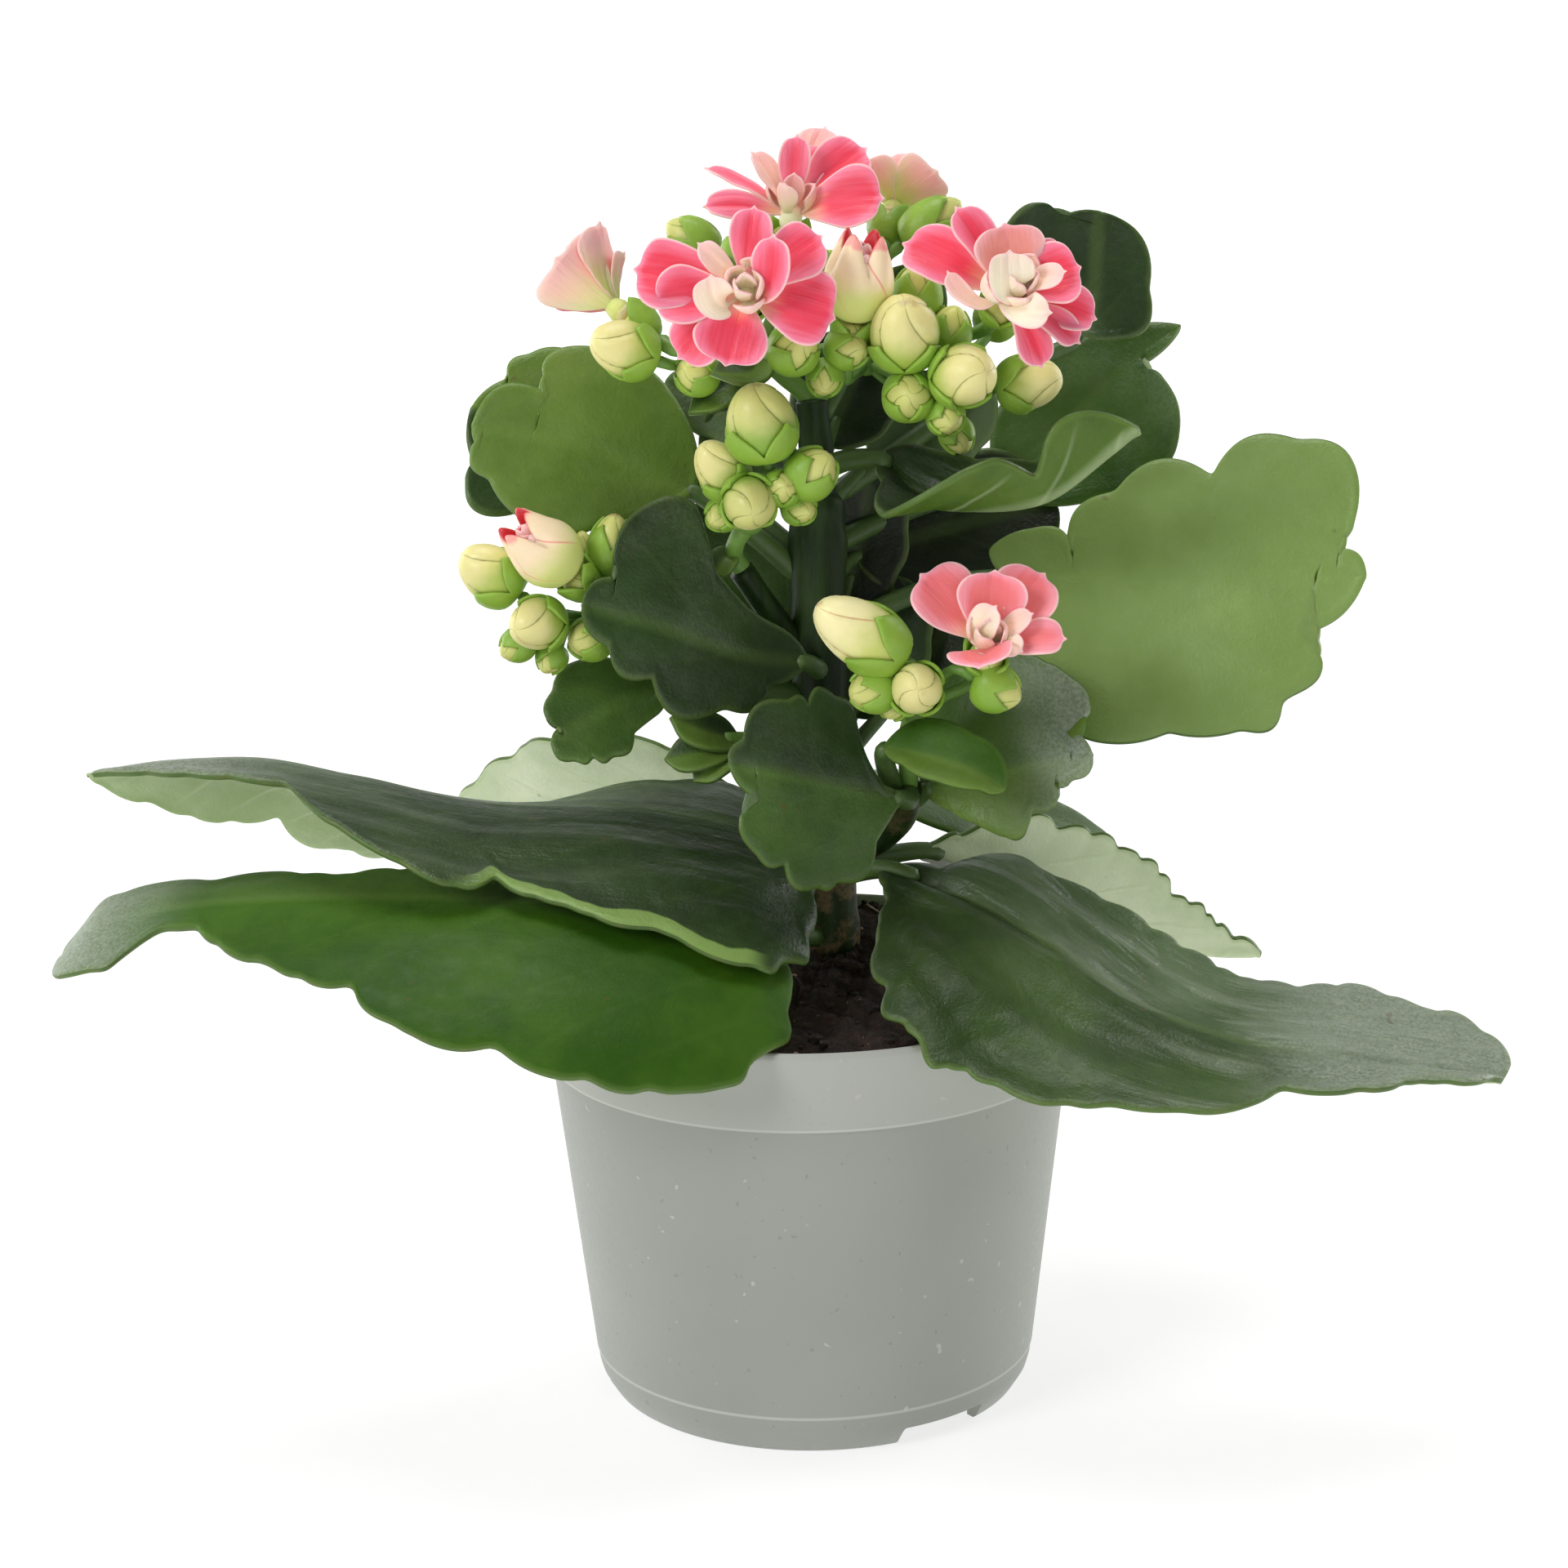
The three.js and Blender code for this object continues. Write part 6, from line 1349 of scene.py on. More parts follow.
# An opening bud: cream petals part at the rim, show a red inner side, and still hold a twisted tip.
OPENING = [
    [0.55, 0.02], [0.95, 0.3], [0.97, 0.55], [0.7, 0.86],
    [0.56, 0.95], [0.46, 0.9], [0.4, 0.72], [0, 0.62],
]
for name, (at, toward, length, radius) in HALF_OPEN.items():
    foot, way = np.array(at, float), unit(np.array(toward, float))

    def opening(r, z, turn, u):
        share = z / length
        lobe = np.abs(np.cos(2 * turn + 1.2 * share))
        lift = np.where(share > 0.5, (share - 0.5) * length * (lobe**0.7 - 0.6), 0)
        seam = 1 - 0.12 * np.clip((share - 0.3) * 2, 0, 1) * (1 - np.clip(lobe / 0.45, 0, 1))
        return r * seam, z + lift

    outline = [[0, 0], *[[r * radius, z * length] for r, z in OPENING]]
    shell = rolled("shell", foot, way, outline, 34, 40, opening, bud_marks)
    paint(shell, bud_skins["bud_pink"])
    parts = [shell]
    aside, over = square_to(way)
    for k in range(7):
        turn = k * GOLDEN_ANGLE
        outward = aside * math.cos(turn) + over * math.sin(turn)
        start = foot + way * length * 0.5 + outward * 0.6
        end = foot + way * length * (1.02 - 0.02 * k) + outward * (0.3 + 0.3 * k)
        lead = foot + way * length * 0.8 + outward * (1.4 + 0.25 * k)
        cream = 0.15 + 0.1 * (k % 3)
        parts.append(petal(start, -outward + 0.2 * way, end, lead, 1.7, 0, 16, 50, cream, 10, 6))
    hand_over(joined(name + "_fine", parts), [name])

# %% Spray shapes
# A spray has a stalk up to its hub, where the stalks of its buds and blooms meet. Each bud is written as
# its middle, in mm, the way that it points, its length and its radius, and its skin if that is special.
SPRAYS = {
    "spray_top_right": {
        "stalk": [[1.8, 2.8, 126], [2.5, 3, 129.2], [5, 2, 131.5]],
        "hub": [8.3, 1, 133.5],
        "cups": ["bloom_front_right", "bloom_far_back"],
        "opening": ["half_open_centre"],
        "buds": [
            ([12.7, -12, 139.2], [0, -0.6, 0.8], 9.6, 4.3),
            ([20.1, -14, 133.9], [0.5, -0.8, 0.2], 8.4, 3.8),
            ([13.2, -12, 131.2], [0, -0.95, 0.2], 6.4, 2.9),
            ([17.8, -12, 128.4], [0.2, -0.9, -0.3], 4.6, 2.1),
            ([28.2, -8, 132], [0.95, -0.3, 0.2], 8, 3.4),
            ([19.4, -7, 125.2], [0.3, -0.6, -0.6], 4.6, 1.9),
            ([16.9, 4, 150.4], [0.8, 0, 0.6], 8.6, 2.8),
            ([6.2, -10, 136.8], [0.6, -0.7, 0.1], 5.4, 2.4),
            ([3.1, -10, 133], [-0.1, -0.8, -0.4], 4.6, 2),
            ([25, 3, 139], [0.5, 0.6, 0.6], 6, 2.6),
            ([14.6, -4.5, 143], [0.1, -0.2, 1], 7, 2.9),
            ([18.4, -6, 138.4], [0.3, -0.3, 0.9], 6.4, 2.7),
        ],
    },
    "spray_top_left": {
        "stalk": [[1.4, 2.8, 126], [0.8, 3, 129.2], [-2, 1.5, 132], [-4.4, 0.2, 134.6]],
        "hub": [-4.9, -0.1, 135.2],
        "cups": ["bloom_front_left", "bloom_back_top", "bloom_far_left"],
        "bracts": [
            {"rib": [[-5, -1.5, 134.3], [-6.2, -8, 133.5], [-10.5, -14, 134.6]], "half": 2.8},
            {"rib": [[-5.3, -0.9, 133.8], [-9, -6, 131.4], [-13.6, -9, 129]], "half": 2.6},
        ],
        "buds": [
            ([-21.2, -12, 137.6], [-0.8, -0.4, 0.35], 8.4, 3.5),
            ([-13, -1, 149.4], [-0.7, 0, 0.5], 7, 2.6),
            ([-12.6, -10, 134.2], [-0.4, -0.7, 0.3], 5.4, 2.5),
            ([-0.4, -12.4, 137.3], [0.3, -0.8, 0.4], 6.6, 2.9),
            ([-7, 9, 146], [-0.2, 0.7, 0.7], 6.6, 2.8),
            ([4, 11, 144], [0.2, 0.8, 0.6], 6, 2.5),
        ],
    },
    "spray_centre": {
        "stalk": [[-6.8, -2.5, 107.4], [-8.4, -3.3, 110], [-8, -5, 112.5]],
        "hub": [-6.4, -6, 115],
        "cups": [],
        "bracts": [{"rib": [[-8.2, -3.4, 110.6], [-9.6, -4.6, 110], [-11.2, -5.6, 108]], "half": 2}],
        "buds": [
            ([-4.8, -13, 128.6], [-0.15, -0.2, 1], 9.6, 4.4, "bud_fresh"),
            ([-9.8, -11, 122.6], [-0.5, -0.3, 0.8], 8, 3.1),
            ([-6.2, -15, 118.8], [0.1, -0.9, -0.2], 6.8, 3.3, "bud_fresh"),
            ([1.6, -13, 122.4], [0.6, -0.5, 0.6], 6.6, 3),
            ([-2.2, -14, 120.6], [0.2, -0.9, 0.2], 4.4, 2),
            ([-10, -9.5, 116.4], [-0.5, -0.7, -0.2], 3.8, 1.8),
            ([0, -12, 117.6], [0.5, -0.8, -0.2], 4, 1.9),
        ],
    },
    "spray_left": {
        "stalk": [[1, 0.3, 95.5], [-1.8, -0.6, 97.5], [-12, 0.5, 98.6], [-20, -3, 101]],
        "hub": [-22.5, -5, 102.4],
        "cups": [],
        "opening": ["half_open_left"],
        "buds": [
            ([-38.4, -9, 109.8], [-0.75, -0.1, 0.6], 8.6, 3.6),
            ([-32.8, -13, 104], [-0.6, -0.7, 0], 7, 3.3),
            ([-35.6, -10, 100.6], [-0.7, -0.3, -0.4], 4.2, 1.9),
            ([-26.6, -11, 101.6], [-0.6, -0.6, 0.1], 5.6, 2.5),
            ([-23.4, -8, 112.8], [0.15, -0.2, 1], 8.4, 2.8),
            ([-26.8, -7.5, 111.6], [-0.1, 0, 1], 6, 1.8),
            ([-31.4, -9, 98.6], [-0.4, -0.5, -0.6], 3.8, 1.7),
        ],
    },
    "spray_low_right": {
        "stalk": [
            [12.6, -2.5, 78.6], [13, -4.2, 81.4], [12.9, -5, 83.4], [12.8, -6.5, 87.5], [13.4, -9, 90.5],
        ],
        "hub": [13.6, -10.5, 92],
        "cups": ["bloom_low_right"],
        "buds": [
            ([6.8, -19, 103.6], [-0.75, -0.2, 0.55], 13, 4.1, "bud_ripe"),
            ([8, -19, 96.4], [-0.8, -0.5, 0], 5.8, 2.6),
            ([13.6, -21, 97], [0, -1, 0.2], 6.6, 3.2),
            ([10.8, -17, 93.8], [-0.4, -0.7, -0.5], 3.6, 1.6),
            ([23.6, -19, 96.2], [0.8, -0.3, -0.35], 6, 2.8),
        ],
    },
}

# %% Sprays
CUP_LENGTH = 4.0
CUP = [[0, 0], [1.2, 0.25], [2.1, 1.3], [2.5, 2.8], [2.6, 4.8]]
CUP_FLOOR = [[0, 0.4], [1.6, 1.4], [2.2, 2.8], [1.8, 3.8], [0, 4.0]]
KNOT = [[0, 0], [1.4, 0.6], [1.7, 1.7], [1.4, 2.8], [0, 3.4]]
STALK_RADII = [1.3, 1.2, 1.1, 1.3]
BUD_STALK = 0.65
BLOOM_STALK = 0.85
HEART_RADIUS = 1.5
CLEARANCE = 0.3


def bract(rib, half):
    """A small plain leaf at the foot of a spray or in a leaf axil."""
    side = {"half": half, "margin": toothed(half, 3), "fold": [20, 10]}
    piece = blade("bract", rib, [[0, -0.7, 0.7]], side, rows=18, columns=8, smooth=True)
    paint(piece, leaf_material("mid", "deep", 0.1), leaf_material("back", "back", 0.1, under=True), leaf_rim)
    return thicken(piece, 0.9, 0.8, under=1, edge=2)


for name, spray in SPRAYS.items():
    hub = np.array(spray["hub"], float)
    stalk = tube("stalk", [*spray["stalk"], hub], STALK_RADII, 22, 14)
    knot = rolled("knot", hub - [0, 0, HUB_RADIUS], [0, 0, 1], KNOT, 10, 16)
    paint(stalk, pedicel_green)
    paint(knot, pedicel_green)
    parts = [stalk, knot, *[bract(**shape) for shape in spray.get("bracts", [])]]
    for at, toward, length, *look in spray["buds"]:
        way = unit(np.array(toward, float))
        parts.append(pedicel(hub, np.array(at) - way * length / 2, way, BUD_STALK))
        parts.extend(bud(at, toward, length, *look))
    held = [(np.array(BLOOMS[cup]["heart"], float), bloom_axis(cup)) for cup in spray["cups"]]
    for cup in spray.get("opening", []):
        at, toward = HALF_OPEN[cup][:2]
        way = unit(np.array(toward, float))
        held.append((np.array(at) + way * HEART_RADIUS, way))
    for heart, way in held:
        foot = heart - way * (CUP_LENGTH + HEART_RADIUS + CLEARANCE)
        parts.append(pedicel(hub, foot, way, BLOOM_STALK))
        parts.append(calyx(foot, way, CUP, 0.5, 0.8))
        filling = rolled("cup_floor", foot, way, CUP_FLOOR, 10, 20, marks=bud_marks)
        paint(filling, bud_skins["bud_green"])
        parts.append(filling)
    hand_over(joined(name + "_fine", parts), [name])

# %% Young shoot in a leaf axil
AXIL_SHOOT = {
    "stalk": [[1.5, -1, 85.5], [-5, -3.5, 86.3], [-11, -6.5, 87.2]],
    "leaves": [
        {"rib": [[-8, -5, 86.8], [-13, -8, 89], [-16.8, -8.5, 91]], "half": 3},
        {"rib": [[-9, -6, 86.8], [-14, -9, 86.2], [-17.6, -9, 85.6]], "half": 3},
        {"rib": [[-8, -6, 86.4], [-11.5, -9, 85], [-13.9, -9.5, 82.8]], "half": 2.6},
    ],
}
shoot = tube("stalk", AXIL_SHOOT["stalk"], [1.5, 1.3, 1.4], 18, 14)
paint(shoot, pedicel_green)
parts = [shoot, *[bract(**shape) for shape in AXIL_SHOOT["leaves"]]]
hand_over(joined("axil_shoot_fine", parts), ["axil_shoot"])

# %% [markdown]
# Between the big leaves, small ones stand close behind the stem and fill the gaps behind it; most are given
# the darkest tones, as painted shade. They belong to no solid of the part, so they are a piece of their own.
# One blade function makes them all, in less detail.

# %% Inner leaves
# Each has its half width, in mm, its tone, and then the points of its stalk and of its rib.
INNER_LEAVES = [
    (7, "shade", [[2, 3, 118], [3, 6, 121]], [[3.5, 7, 122], [5, 9, 126], [7, 10, 131], [9, 10.5, 136]]),
    (9.5, "shade", [[3, 3, 103], [5, 6, 106.5]],
     [[6.5, 8, 107.5], [14, 12, 109], [23, 14, 111], [33, 15, 113]]),
    (6.5, "grey", [[3, 3.5, 115], [7, 6, 118.5]],
     [[9, 8, 120], [14, 11, 122], [19, 13, 125], [24, 14, 129]]),
    (6, "shade", [[2, 3, 98], [4, 5, 100]], [[5, 7, 101], [6.5, 8, 106], [8, 9, 112], [9, 9, 118]]),
    (5.5, "deep", [[1.5, 3, 112], [-0.5, 5, 113.5]],
     [[-2, 6, 115], [-5, 8, 119], [-8, 9, 123], [-11, 9, 127]]),
    (5, "deep", [[2.5, 3.5, 126], [5, 5, 130]], [[6, 6, 132], [10, 8, 136], [14, 9, 140], [17, 10, 144]]),
    (7.5, "shade", [[5, 1.5, 83], [8, 3, 86]], [[10, 4, 88], [14.5, 7, 93], [18.5, 9, 98], [22, 10, 104]]),
    (6, "olive", [[1, 2.5, 95], [-1, 5, 98]], [[-2, 6, 99.5], [-5, 8, 104], [-9, 9, 109], [-13, 9, 115]]),
    (4, "grey", [[1.5, 4, 119], [-3, 7, 122]],
     [[-5, 8, 123.5], [-9, 9, 126], [-13, 10, 128.3], [-17, 10.5, 130]]),
    (6.5, "deep", [[3.5, 2, 84], [5, 4, 86]], [[6, 5, 87.5], [8.5, 6, 93], [10.5, 7, 99], [12.5, 8, 105]]),
    (5, "shade", [[1.5, 2, 84], [0, 4, 86]], [[-1, 5, 88], [-3, 6, 92], [-4, 7, 97], [-6, 8, 102]]),
]
parts = []
for order, (half, tone, stalk, rib) in enumerate(INNER_LEAVES):
    side = {"half": half, "margin": toothed(half, 5), "fold": [6, 6]}
    relief = leaf_relief(0.2, order, 0)
    body = blade("inner_leaf", rib, [[0, -0.9, 0.4]], side, rows=24, columns=8, relief=relief)
    paint(body, leaf_material(tone, tone, 0.15), leaf_material("olive", "olive", 0.1, under=True), leaf_rim)
    thicken(body, 1.1, 0.75, under=1, edge=2)
    petiole = tube("inner_stalk", [*stalk, *rib[:2]], [1.2, 1.0, 0.9, 0.7], 14, 12)
    paint(petiole, stalk_green)
    parts.extend([body, petiole])
hand_over(joined("inner_leaves_fine", parts), [])

# %% [markdown]
# ## The stem
# The main stem is as thick as a pencil, angular where leaves stood, and dull green with corky patches low
# down. It is one smooth shape with its side shoots, and it stands in a plain hole in the peat.

# %% Stem
STEM_RUNS = [
    {"points": [[3, 0, 47], [3, 0, 59], [2.2, 0, 80], [2, 1, 100], [2, 2, 118]], "radius": 3.5},
    {"points": [[2, 2, 114], [2, 2.5, 122], [1.5, 3, 129]], "radius": 2.6},
    {"points": [[3.5, 0, 70], [8, 1, 71.5], [12, -1, 75.5], [13, -4, 81]], "radius": 1.9},
    {"points": [[2, 0.5, 94], [-3, -1, 101], [-8, -3, 109]], "radius": 1.6},
]
LEAF_PAIRS = (60, 70, 85, 97, 110, 129)
SIDE_SHOOT = 2


def stem_radii(run):
    """Radii along a run, swollen where pairs of leaves leave the stem."""
    line = Rib(run["points"]).at(np.linspace(0, 1, 60))
    swell = sum(np.exp(-(((line[:, 2] - height) / 2.2) ** 2)) for height in LEAF_PAIRS)
    taper = 1 - 0.3 * np.clip((line[:, 2] - 116) / 13, 0, 1)
    if run["radius"] < SIDE_SHOOT:
        return [run["radius"]] * 4
    return (run["radius"] * (1 + 0.09 * swell) * taper).tolist()


stem_skin, tree, shader = blank("stem_skin")
upright = node(tree, "ShaderNodeTexCoord").outputs["Object"]
height = node(tree, "ShaderNodeSeparateXYZ", {"Vector": upright}).outputs["Z"]
stretched = node(tree, "ShaderNodeMapping", {"Vector": upright, "Scale": (1, 1, 0.18)}).outputs["Vector"]
streaks = noise(tree, 420, 4, 0.6, stretched)
colour = blend(tree, step(tree, streaks, 0.35, 0.7), rgb(20, 38, 10), rgb(42, 64, 22))
corky = times(tree, step(tree, noise(tree, 240, 5, 0.7), 0.45, 0.6), step(tree, height, 0.085, 0.058))
colour = blend(tree, corky, colour, rgb(120, 100, 70))
finish(tree, shader, colour, step(tree, streaks, 0.3, 0.8, 0.42, 0.6), streaks, 0.6, 0.0004)
shader.inputs["Specular IOR Level"].default_value = 0.25

runs = []
for run in STEM_RUNS:
    main = run["radius"] > SIDE_SHOOT
    piece = tube("run", run["points"], stem_radii(run), 90 if main else 24, 28 if main else 18, rough=0.012)
    paint(piece, stem_skin)
    runs.append(piece)
hand_over(joined("stem_fine", runs), ["stem"])

# %% [markdown]
# ## The pot and the peat
# The pot is injection moulded: a thin tapered wall, a band and a rolled lip at the rim, a rounded foot
# ring with three notches and four drain holes. The simplest thing would be a cylinder with scaled ends, but
# its half section is the real shape, so the section is drawn point by point and spun round the axis.

# %% Pot material
pot_plastic, tree, shader = blank("pot_plastic")
where = node(tree, "ShaderNodeTexCoord").outputs["Object"]
clouds = noise(tree, 22, 3)
colour = blend(tree, step(tree, clouds, 0.3, 0.7), rgb(144, 147, 140), rgb(152, 155, 147))
specks = step(tree, noise(tree, 900, 1), 0.72, 0.77)
colour = blend(tree, times(tree, specks, 0.35), colour, rgb(110, 112, 106))
moved = node(tree, "ShaderNodeMapping", {"Vector": where, "Location": (3, 1, 2)}).outputs["Vector"]
dust = step(tree, noise(tree, 620, 1, vector=moved), 0.75, 0.79)
colour = blend(tree, times(tree, dust, 0.5), colour, rgb(196, 198, 192))
drawn_out = {"Vector": where, "Scale": (3.2, 3.2, 0.9), "Location": (0.3, 0, 0.1)}
stretched = node(tree, "ShaderNodeMapping", drawn_out).outputs["Vector"]
scuffs = step(tree, noise(tree, 110, 2, vector=stretched), 0.77, 0.8)
colour = blend(tree, times(tree, scuffs, 0.7), colour, rgb(84, 84, 78))
height = node(tree, "ShaderNodeSeparateXYZ", {"Vector": where}).outputs["Z"]
# The band above the step at 45 mm is painted lighter: painted light where it catches the lamps.
colour = blend(tree, step(tree, height, 0.0449, 0.0453, 0.0, 0.6), colour, rgb(178, 180, 173))
# Thin pale lines at the band's step and at the top of the foot are painted highlights.
for line in (0.0451, 0.0053):
    beside = calc(tree, "ABSOLUTE", calc(tree, "SUBTRACT", height, line))
    colour = blend(tree, step(tree, beside, 0.0003, 0.00008, 0.0, 0.45), colour, rgb(206, 208, 202))
fine = noise(tree, 1400, 3)
finish(tree, shader, colour, step(tree, fine, 0.2, 0.8, 0.4, 0.5), fine, 0.12, 0.0001)
shader.inputs["Specular IOR Level"].default_value = 0.45

# %% Pot
FOOT_TOP = 5.1
WALL_HEIGHT = 50.3
BAND_FOOT = 45


def outer_radius(z):
    """The radius of the wall's outside at a height, both in mm."""
    return mix(28.7, 34.65, (z - FOOT_TOP) / WALL_HEIGHT)


# The half section, as radius and height in mm: foot ring, wall, band, lip, and down the inside.
wall = outer_radius(BAND_FOOT)
POT_SECTION = [
    (25.2, 2.8), (25.2, 0), (26.4, 0), (26.9, 0.35), (28.13, 2.3), (28.5, 3.6), (28.62, 4.7),
    (28.78, FOOT_TOP), (wall, 44.65), (wall + 0.08, 44.9), (wall + 0.35, BAND_FOOT),
    (34.8, 54.1), (35, 54.5), (35, 54.9), (34.8, 55.25), (34.5, 55.4), (34.2, 55.3), (34.0, 55.0),
    (33.65, 54.4), (wall - 1, BAND_FOOT), (27.7, FOOT_TOP), (27.13, 4),
]
BASE_UNDER, BASE_TOP = 2.8, 4
POT_SIDES = 128
bare()
bpy.ops.mesh.primitive_plane_add(size=1)
pot = bpy.context.object
pot.name = "pot_fine"
bpy.ops.object.mode_set(mode="EDIT")
bpy.ops.mesh.select_all(action="SELECT")
bpy.ops.mesh.merge(type="CENTER")
section = []
for radius, z in [(0, BASE_UNDER), *POT_SECTION, (0, BASE_TOP)]:
    section.append(Vector((POT_AXIS[0] + radius * MM, POT_AXIS[1], z * MM)))
bpy.ops.transform.translate(value=section[0])
for before, after in zip(section, section[1:]):
    bpy.ops.mesh.extrude_vertices_move(TRANSFORM_OT_translate={"value": after - before})
bpy.ops.mesh.select_all(action="SELECT")
bpy.ops.mesh.spin(steps=POT_SIDES, angle=2 * math.pi, center=(*POT_AXIS[:2], 0), axis=(0, 0, 1))
bpy.ops.mesh.select_all(action="SELECT")
bpy.ops.mesh.remove_doubles(threshold=1e-5)
bpy.ops.mesh.normals_make_consistent(inside=False)
bpy.ops.object.mode_set(mode="OBJECT")
print("pot section of", len(section), "points, spun in", POT_SIDES, "steps")

# %% [markdown]
# Water leaves through four holes in the base and three notches in the foot ring. The cutters are plain
# primitives; they only shape the pot and are deleted after the boolean has used them.

# %% Drain holes and foot notches
HOLE_RING = 0.016
HOLE_RADIUS = 0.0025
HOLE_DEPTH = 0.006
BASE_MIDDLE = 0.0034
NOTCH_RING = 0.0268
NOTCH_SIZE = (0.0064, 0.0126, 0.0052)
NOTCH_ROUNDING = 0.0005
cutters = []
for quarter in range(4):
    angle = quarter * math.pi / 2
    spot = POT_AXIS + np.array([math.cos(angle), math.sin(angle), 0]) * HOLE_RING + [0, 0, BASE_MIDDLE]
    bare()
    bpy.ops.mesh.primitive_cylinder_add(vertices=32, radius=HOLE_RADIUS, depth=HOLE_DEPTH, location=spot)
    cutters.append(bpy.context.object)
for third in range(3):
    angle = math.radians(36 + 120 * third - 90)
    spot = POT_AXIS + np.array([math.cos(angle), math.sin(angle), 0]) * NOTCH_RING
    bare()
    bpy.ops.mesh.primitive_cube_add(size=1, location=spot, rotation=(0, 0, angle), scale=NOTCH_SIZE)
    bevel = bpy.context.object.modifiers.new("soft", "BEVEL")
    bevel.width, bevel.segments = NOTCH_ROUNDING, 3
    apply_all(bpy.context.object)
    cutters.append(bpy.context.object)
cutter = joined("cutter", cutters)
cut = pot.modifiers.new("cut", "BOOLEAN")
cut.object = cutter
cut.operation = "DIFFERENCE"
cut.solver = "EXACT"
apply_all(pot)
bpy.data.objects.remove(cutter, do_unlink=True)
bare()
pot.select_set(True)
bpy.context.view_layer.objects.active = pot
bpy.ops.object.shade_smooth_by_angle(angle=math.radians(32))
paint(pot, pot_plastic)
hand_over(pot, ["pot"])

# %% [markdown]
# Peat is a heap of dark crumbs with fibres and a few pale grains. A displaced disc alone looks like cloth,
# so crumbs are strewn on it: one small stone is modelled, and its copies are placed by a seeded draw.

# %% Peat material
peat, tree, shader = blank("peat")
lumps = noise(tree, 700, 5, 0.7)
colour = blend(tree, step(tree, lumps, 0.35, 0.7), rgb(24, 15, 12), rgb(64, 44, 34))
colour = blend(tree, times(tree, step(tree, noise(tree, 1700, 2), 0.7, 0.76), 0.8), colour, rgb(150, 120, 96))
finish(tree, shader, colour, step(tree, lumps, 0.3, 0.8, 0.75, 0.95), lumps, 1.0, 0.0008)
pale_grain = plain_green("pale_grain", rgb(176, 164, 148), rgb(120, 74, 56), 700, 0.4)

# %% Peat surface
STEM_FOOT = np.array([3.0, 0.0])
STEM_HOLE_FLOOR = 46.6
SOIL_FLOOR = 4.3
SOIL_EDGE = 51.0
SOIL_RADIUS = outer_radius(SOIL_EDGE) - 1.3
MOUND_HEIGHT = 7.5


def soil_height(x, y):
    """The height of the peat in millimetres: a crumbly mound that tilts a little backwards."""
    ring = np.clip(np.hypot(x, y) / SOIL_RADIUS, 0, 1)
    fade = np.clip((1 - ring) * 6, 0, 1)
    crumbs = 0.7 * np.sin(0.9 * x + 0.4 * y) * np.cos(0.8 * y - 0.3 * x)
    small = 0.35 * np.sin(2.9 * x + 1.7 * y) * np.sin(2.3 * y - 1.1 * x)
    smallest = 0.2 * np.sin(6.1 * x) * np.sin(5.3 * y + 1)
    mound = (1 - ring**2.6) * MOUND_HEIGHT + 0.06 * y * np.clip((1 - ring) * 3, 0, 1)
    return SOIL_EDGE + mound + (crumbs + small + smallest) * fade


def soil_surface(u, v):
    """From the floor of the stem's hole, over the mound, down the wall and back under to the middle."""
    turn = 2 * math.pi * v
    stops = [0, 0.03, 0.06, 0.8, 0.82, 0.9, 1.0]
    reach = np.interp(u, stops, [0, 0.114, 0.124, 1, 1, 0.786, 0])
    floor_share = np.interp(u, stops, [0, 0, 0, 0, 0, 1, 1])
    centre = STEM_FOOT[:, None] * (1 - np.clip(reach, 0, 1))
    radius = reach * SOIL_RADIUS
    x, y = centre[0] + radius * np.cos(turn), centre[1] + radius * np.sin(turn)
    top = np.where(u < 0.045, STEM_HOLE_FLOOR, soil_height(x, y))
    return np.stack([x, y, mix(top, SOIL_FLOOR, floor_share)], axis=-1), {}


soil = sheet("soil_fine", 130, 180, soil_surface)
paint(soil, peat)

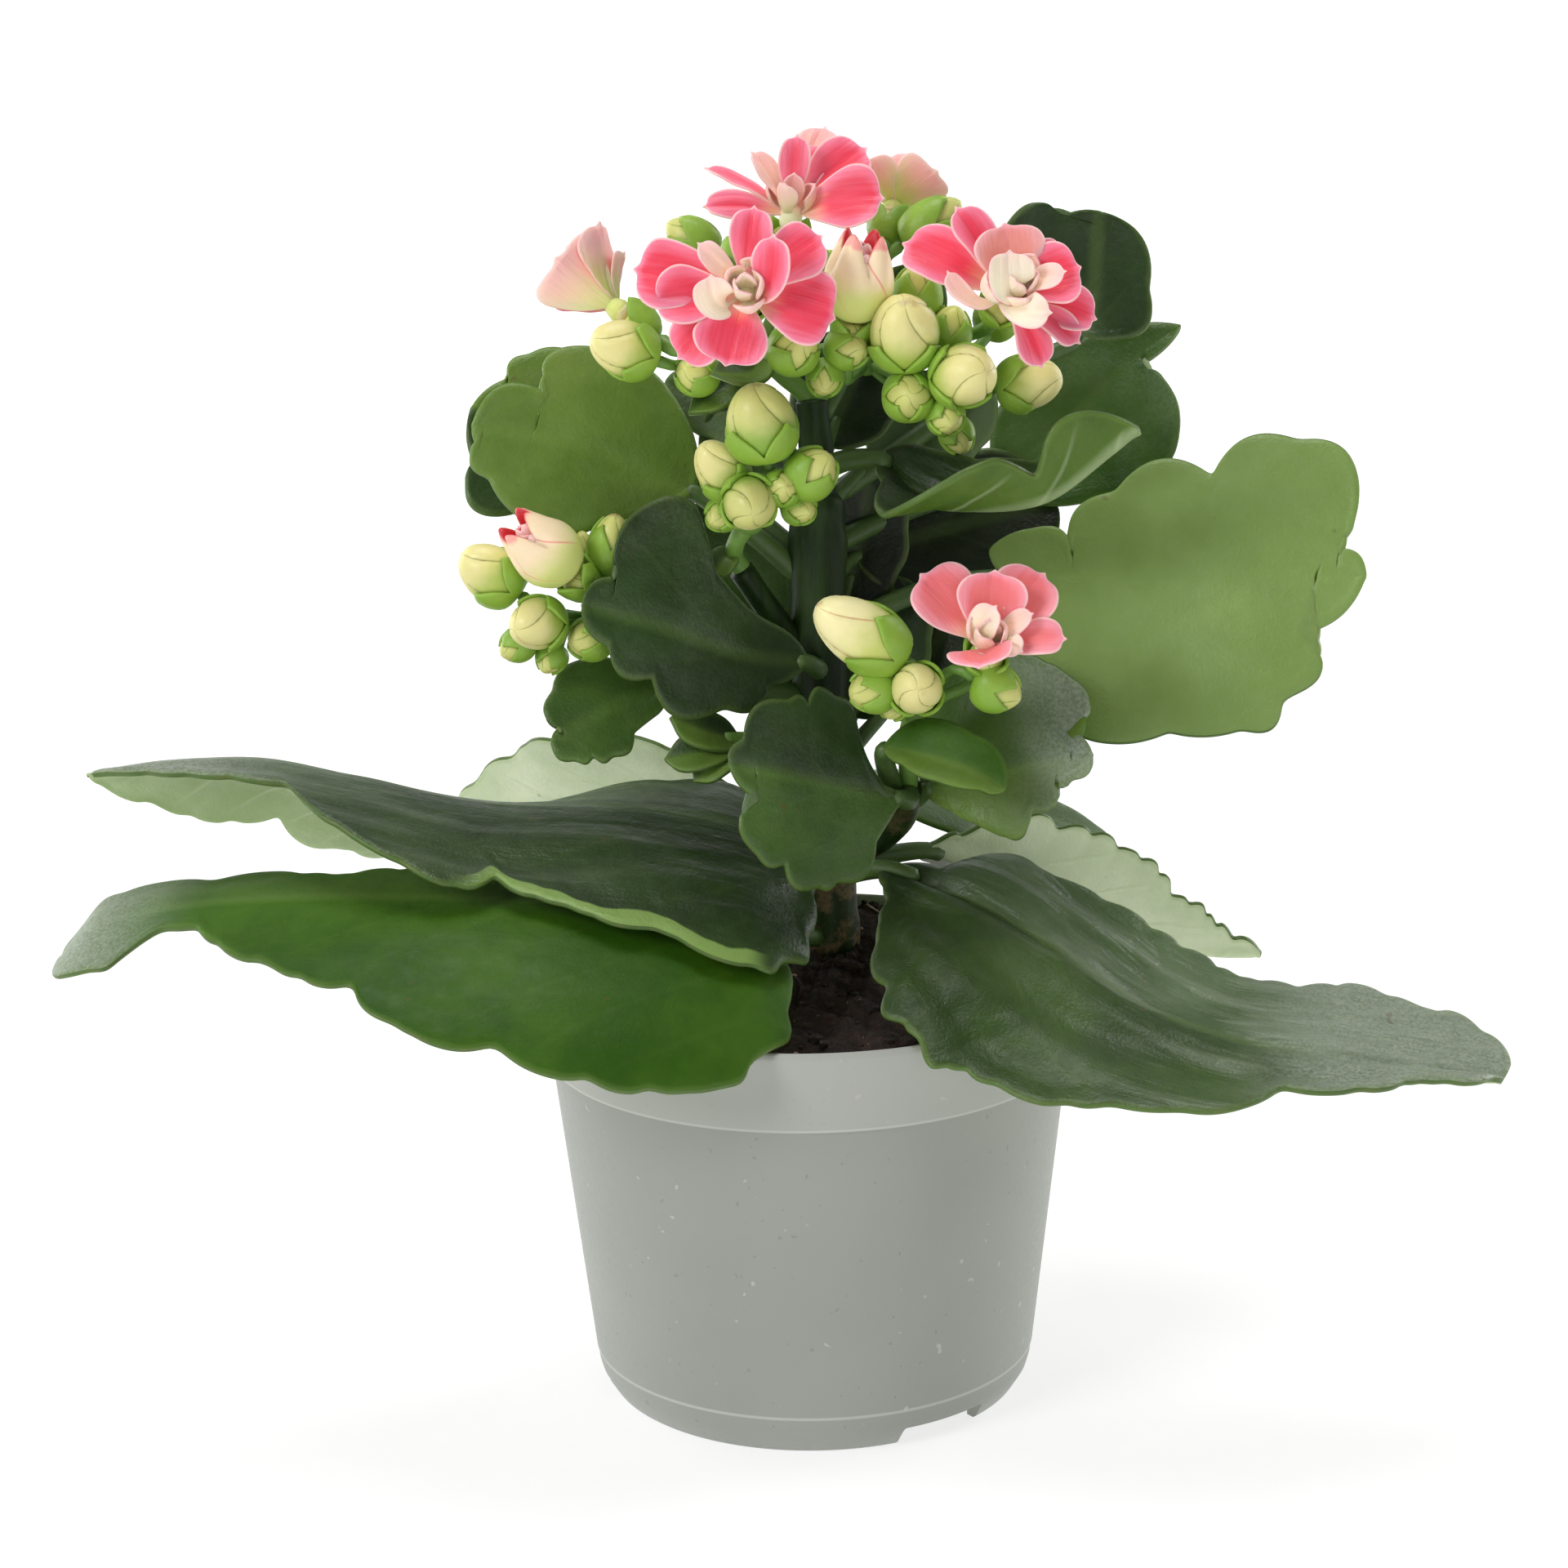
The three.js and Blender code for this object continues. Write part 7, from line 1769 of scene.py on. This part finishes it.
# %% Crumbs and fibres
CRUMBS = 420
PALE_GRAINS = 36
FIBRES = 14
STEM_ROOM = 5
bare()
bpy.ops.mesh.primitive_ico_sphere_add(subdivisions=1, radius=1)
stone = bpy.context.object
strewn = np.random.default_rng(11)
crumbs = []
for k in range(CRUMBS + PALE_GRAINS):
    angle = strewn.random() * 2 * math.pi
    away = math.sqrt(strewn.random()) * (SOIL_RADIUS - 1.5)
    x, y = away * math.cos(angle), away * math.sin(angle)
    if math.hypot(x - STEM_FOOT[0], y - STEM_FOOT[1]) < STEM_ROOM:
        continue
    size = (0.35 + 0.9 * strewn.random() ** 2) if k < CRUMBS else 0.25 + 0.3 * strewn.random()
    mesh = stone.data.copy()
    corners = np.empty(len(mesh.vertices) * 3, dtype=np.float32)
    mesh.vertices.foreach_get("co", corners)
    corners = corners.reshape(-1, 3) * (1 + 0.35 * (strewn.random((len(mesh.vertices), 3)) - 0.5)) * size
    corners *= [1, 0.6 + 0.4 * strewn.random(), 0.7]
    corners += [x, y, soil_height(x, y) + size * 0.2]
    mesh.vertices.foreach_set("co", (POT_AXIS + corners * MM).ravel().astype(np.float32))
    mesh.materials.append(peat if k < CRUMBS else pale_grain)
    crumb = bpy.data.objects.new(f"crumb_{k}", mesh)
    bpy.context.collection.objects.link(crumb)
    crumbs.append(crumb)
bpy.data.objects.remove(stone, do_unlink=True)
fibres = []
for k in range(FIBRES):
    angle, away = strewn.random() * 6.28, 6 + strewn.random() * 22
    x, y, turn = away * math.cos(angle), away * math.sin(angle), strewn.random() * 6.28
    ends = [(x + t * 3 * math.cos(turn + t * 0.3), y + t * 3 * math.sin(turn + t * 0.3)) for t in (-1, 0, 1)]
    line = [[a, b, soil_height(a, b) + 0.5] for a, b in ends]
    fibre = tube(f"fibre_{k}", line, [0.14, 0.18, 0.12], 8, 5)
    paint(fibre, peat if k % 3 else pale_grain)
    fibres.append(fibre)
hand_over(joined("soil_fine", [soil, *crumbs, *fibres]), ["soil"])

# %% [markdown]
# ## Counting
# The triangles of all the finished pieces are added up and printed.

# %% Finish
print("all pieces:", sum(triangle_counts), "triangles")
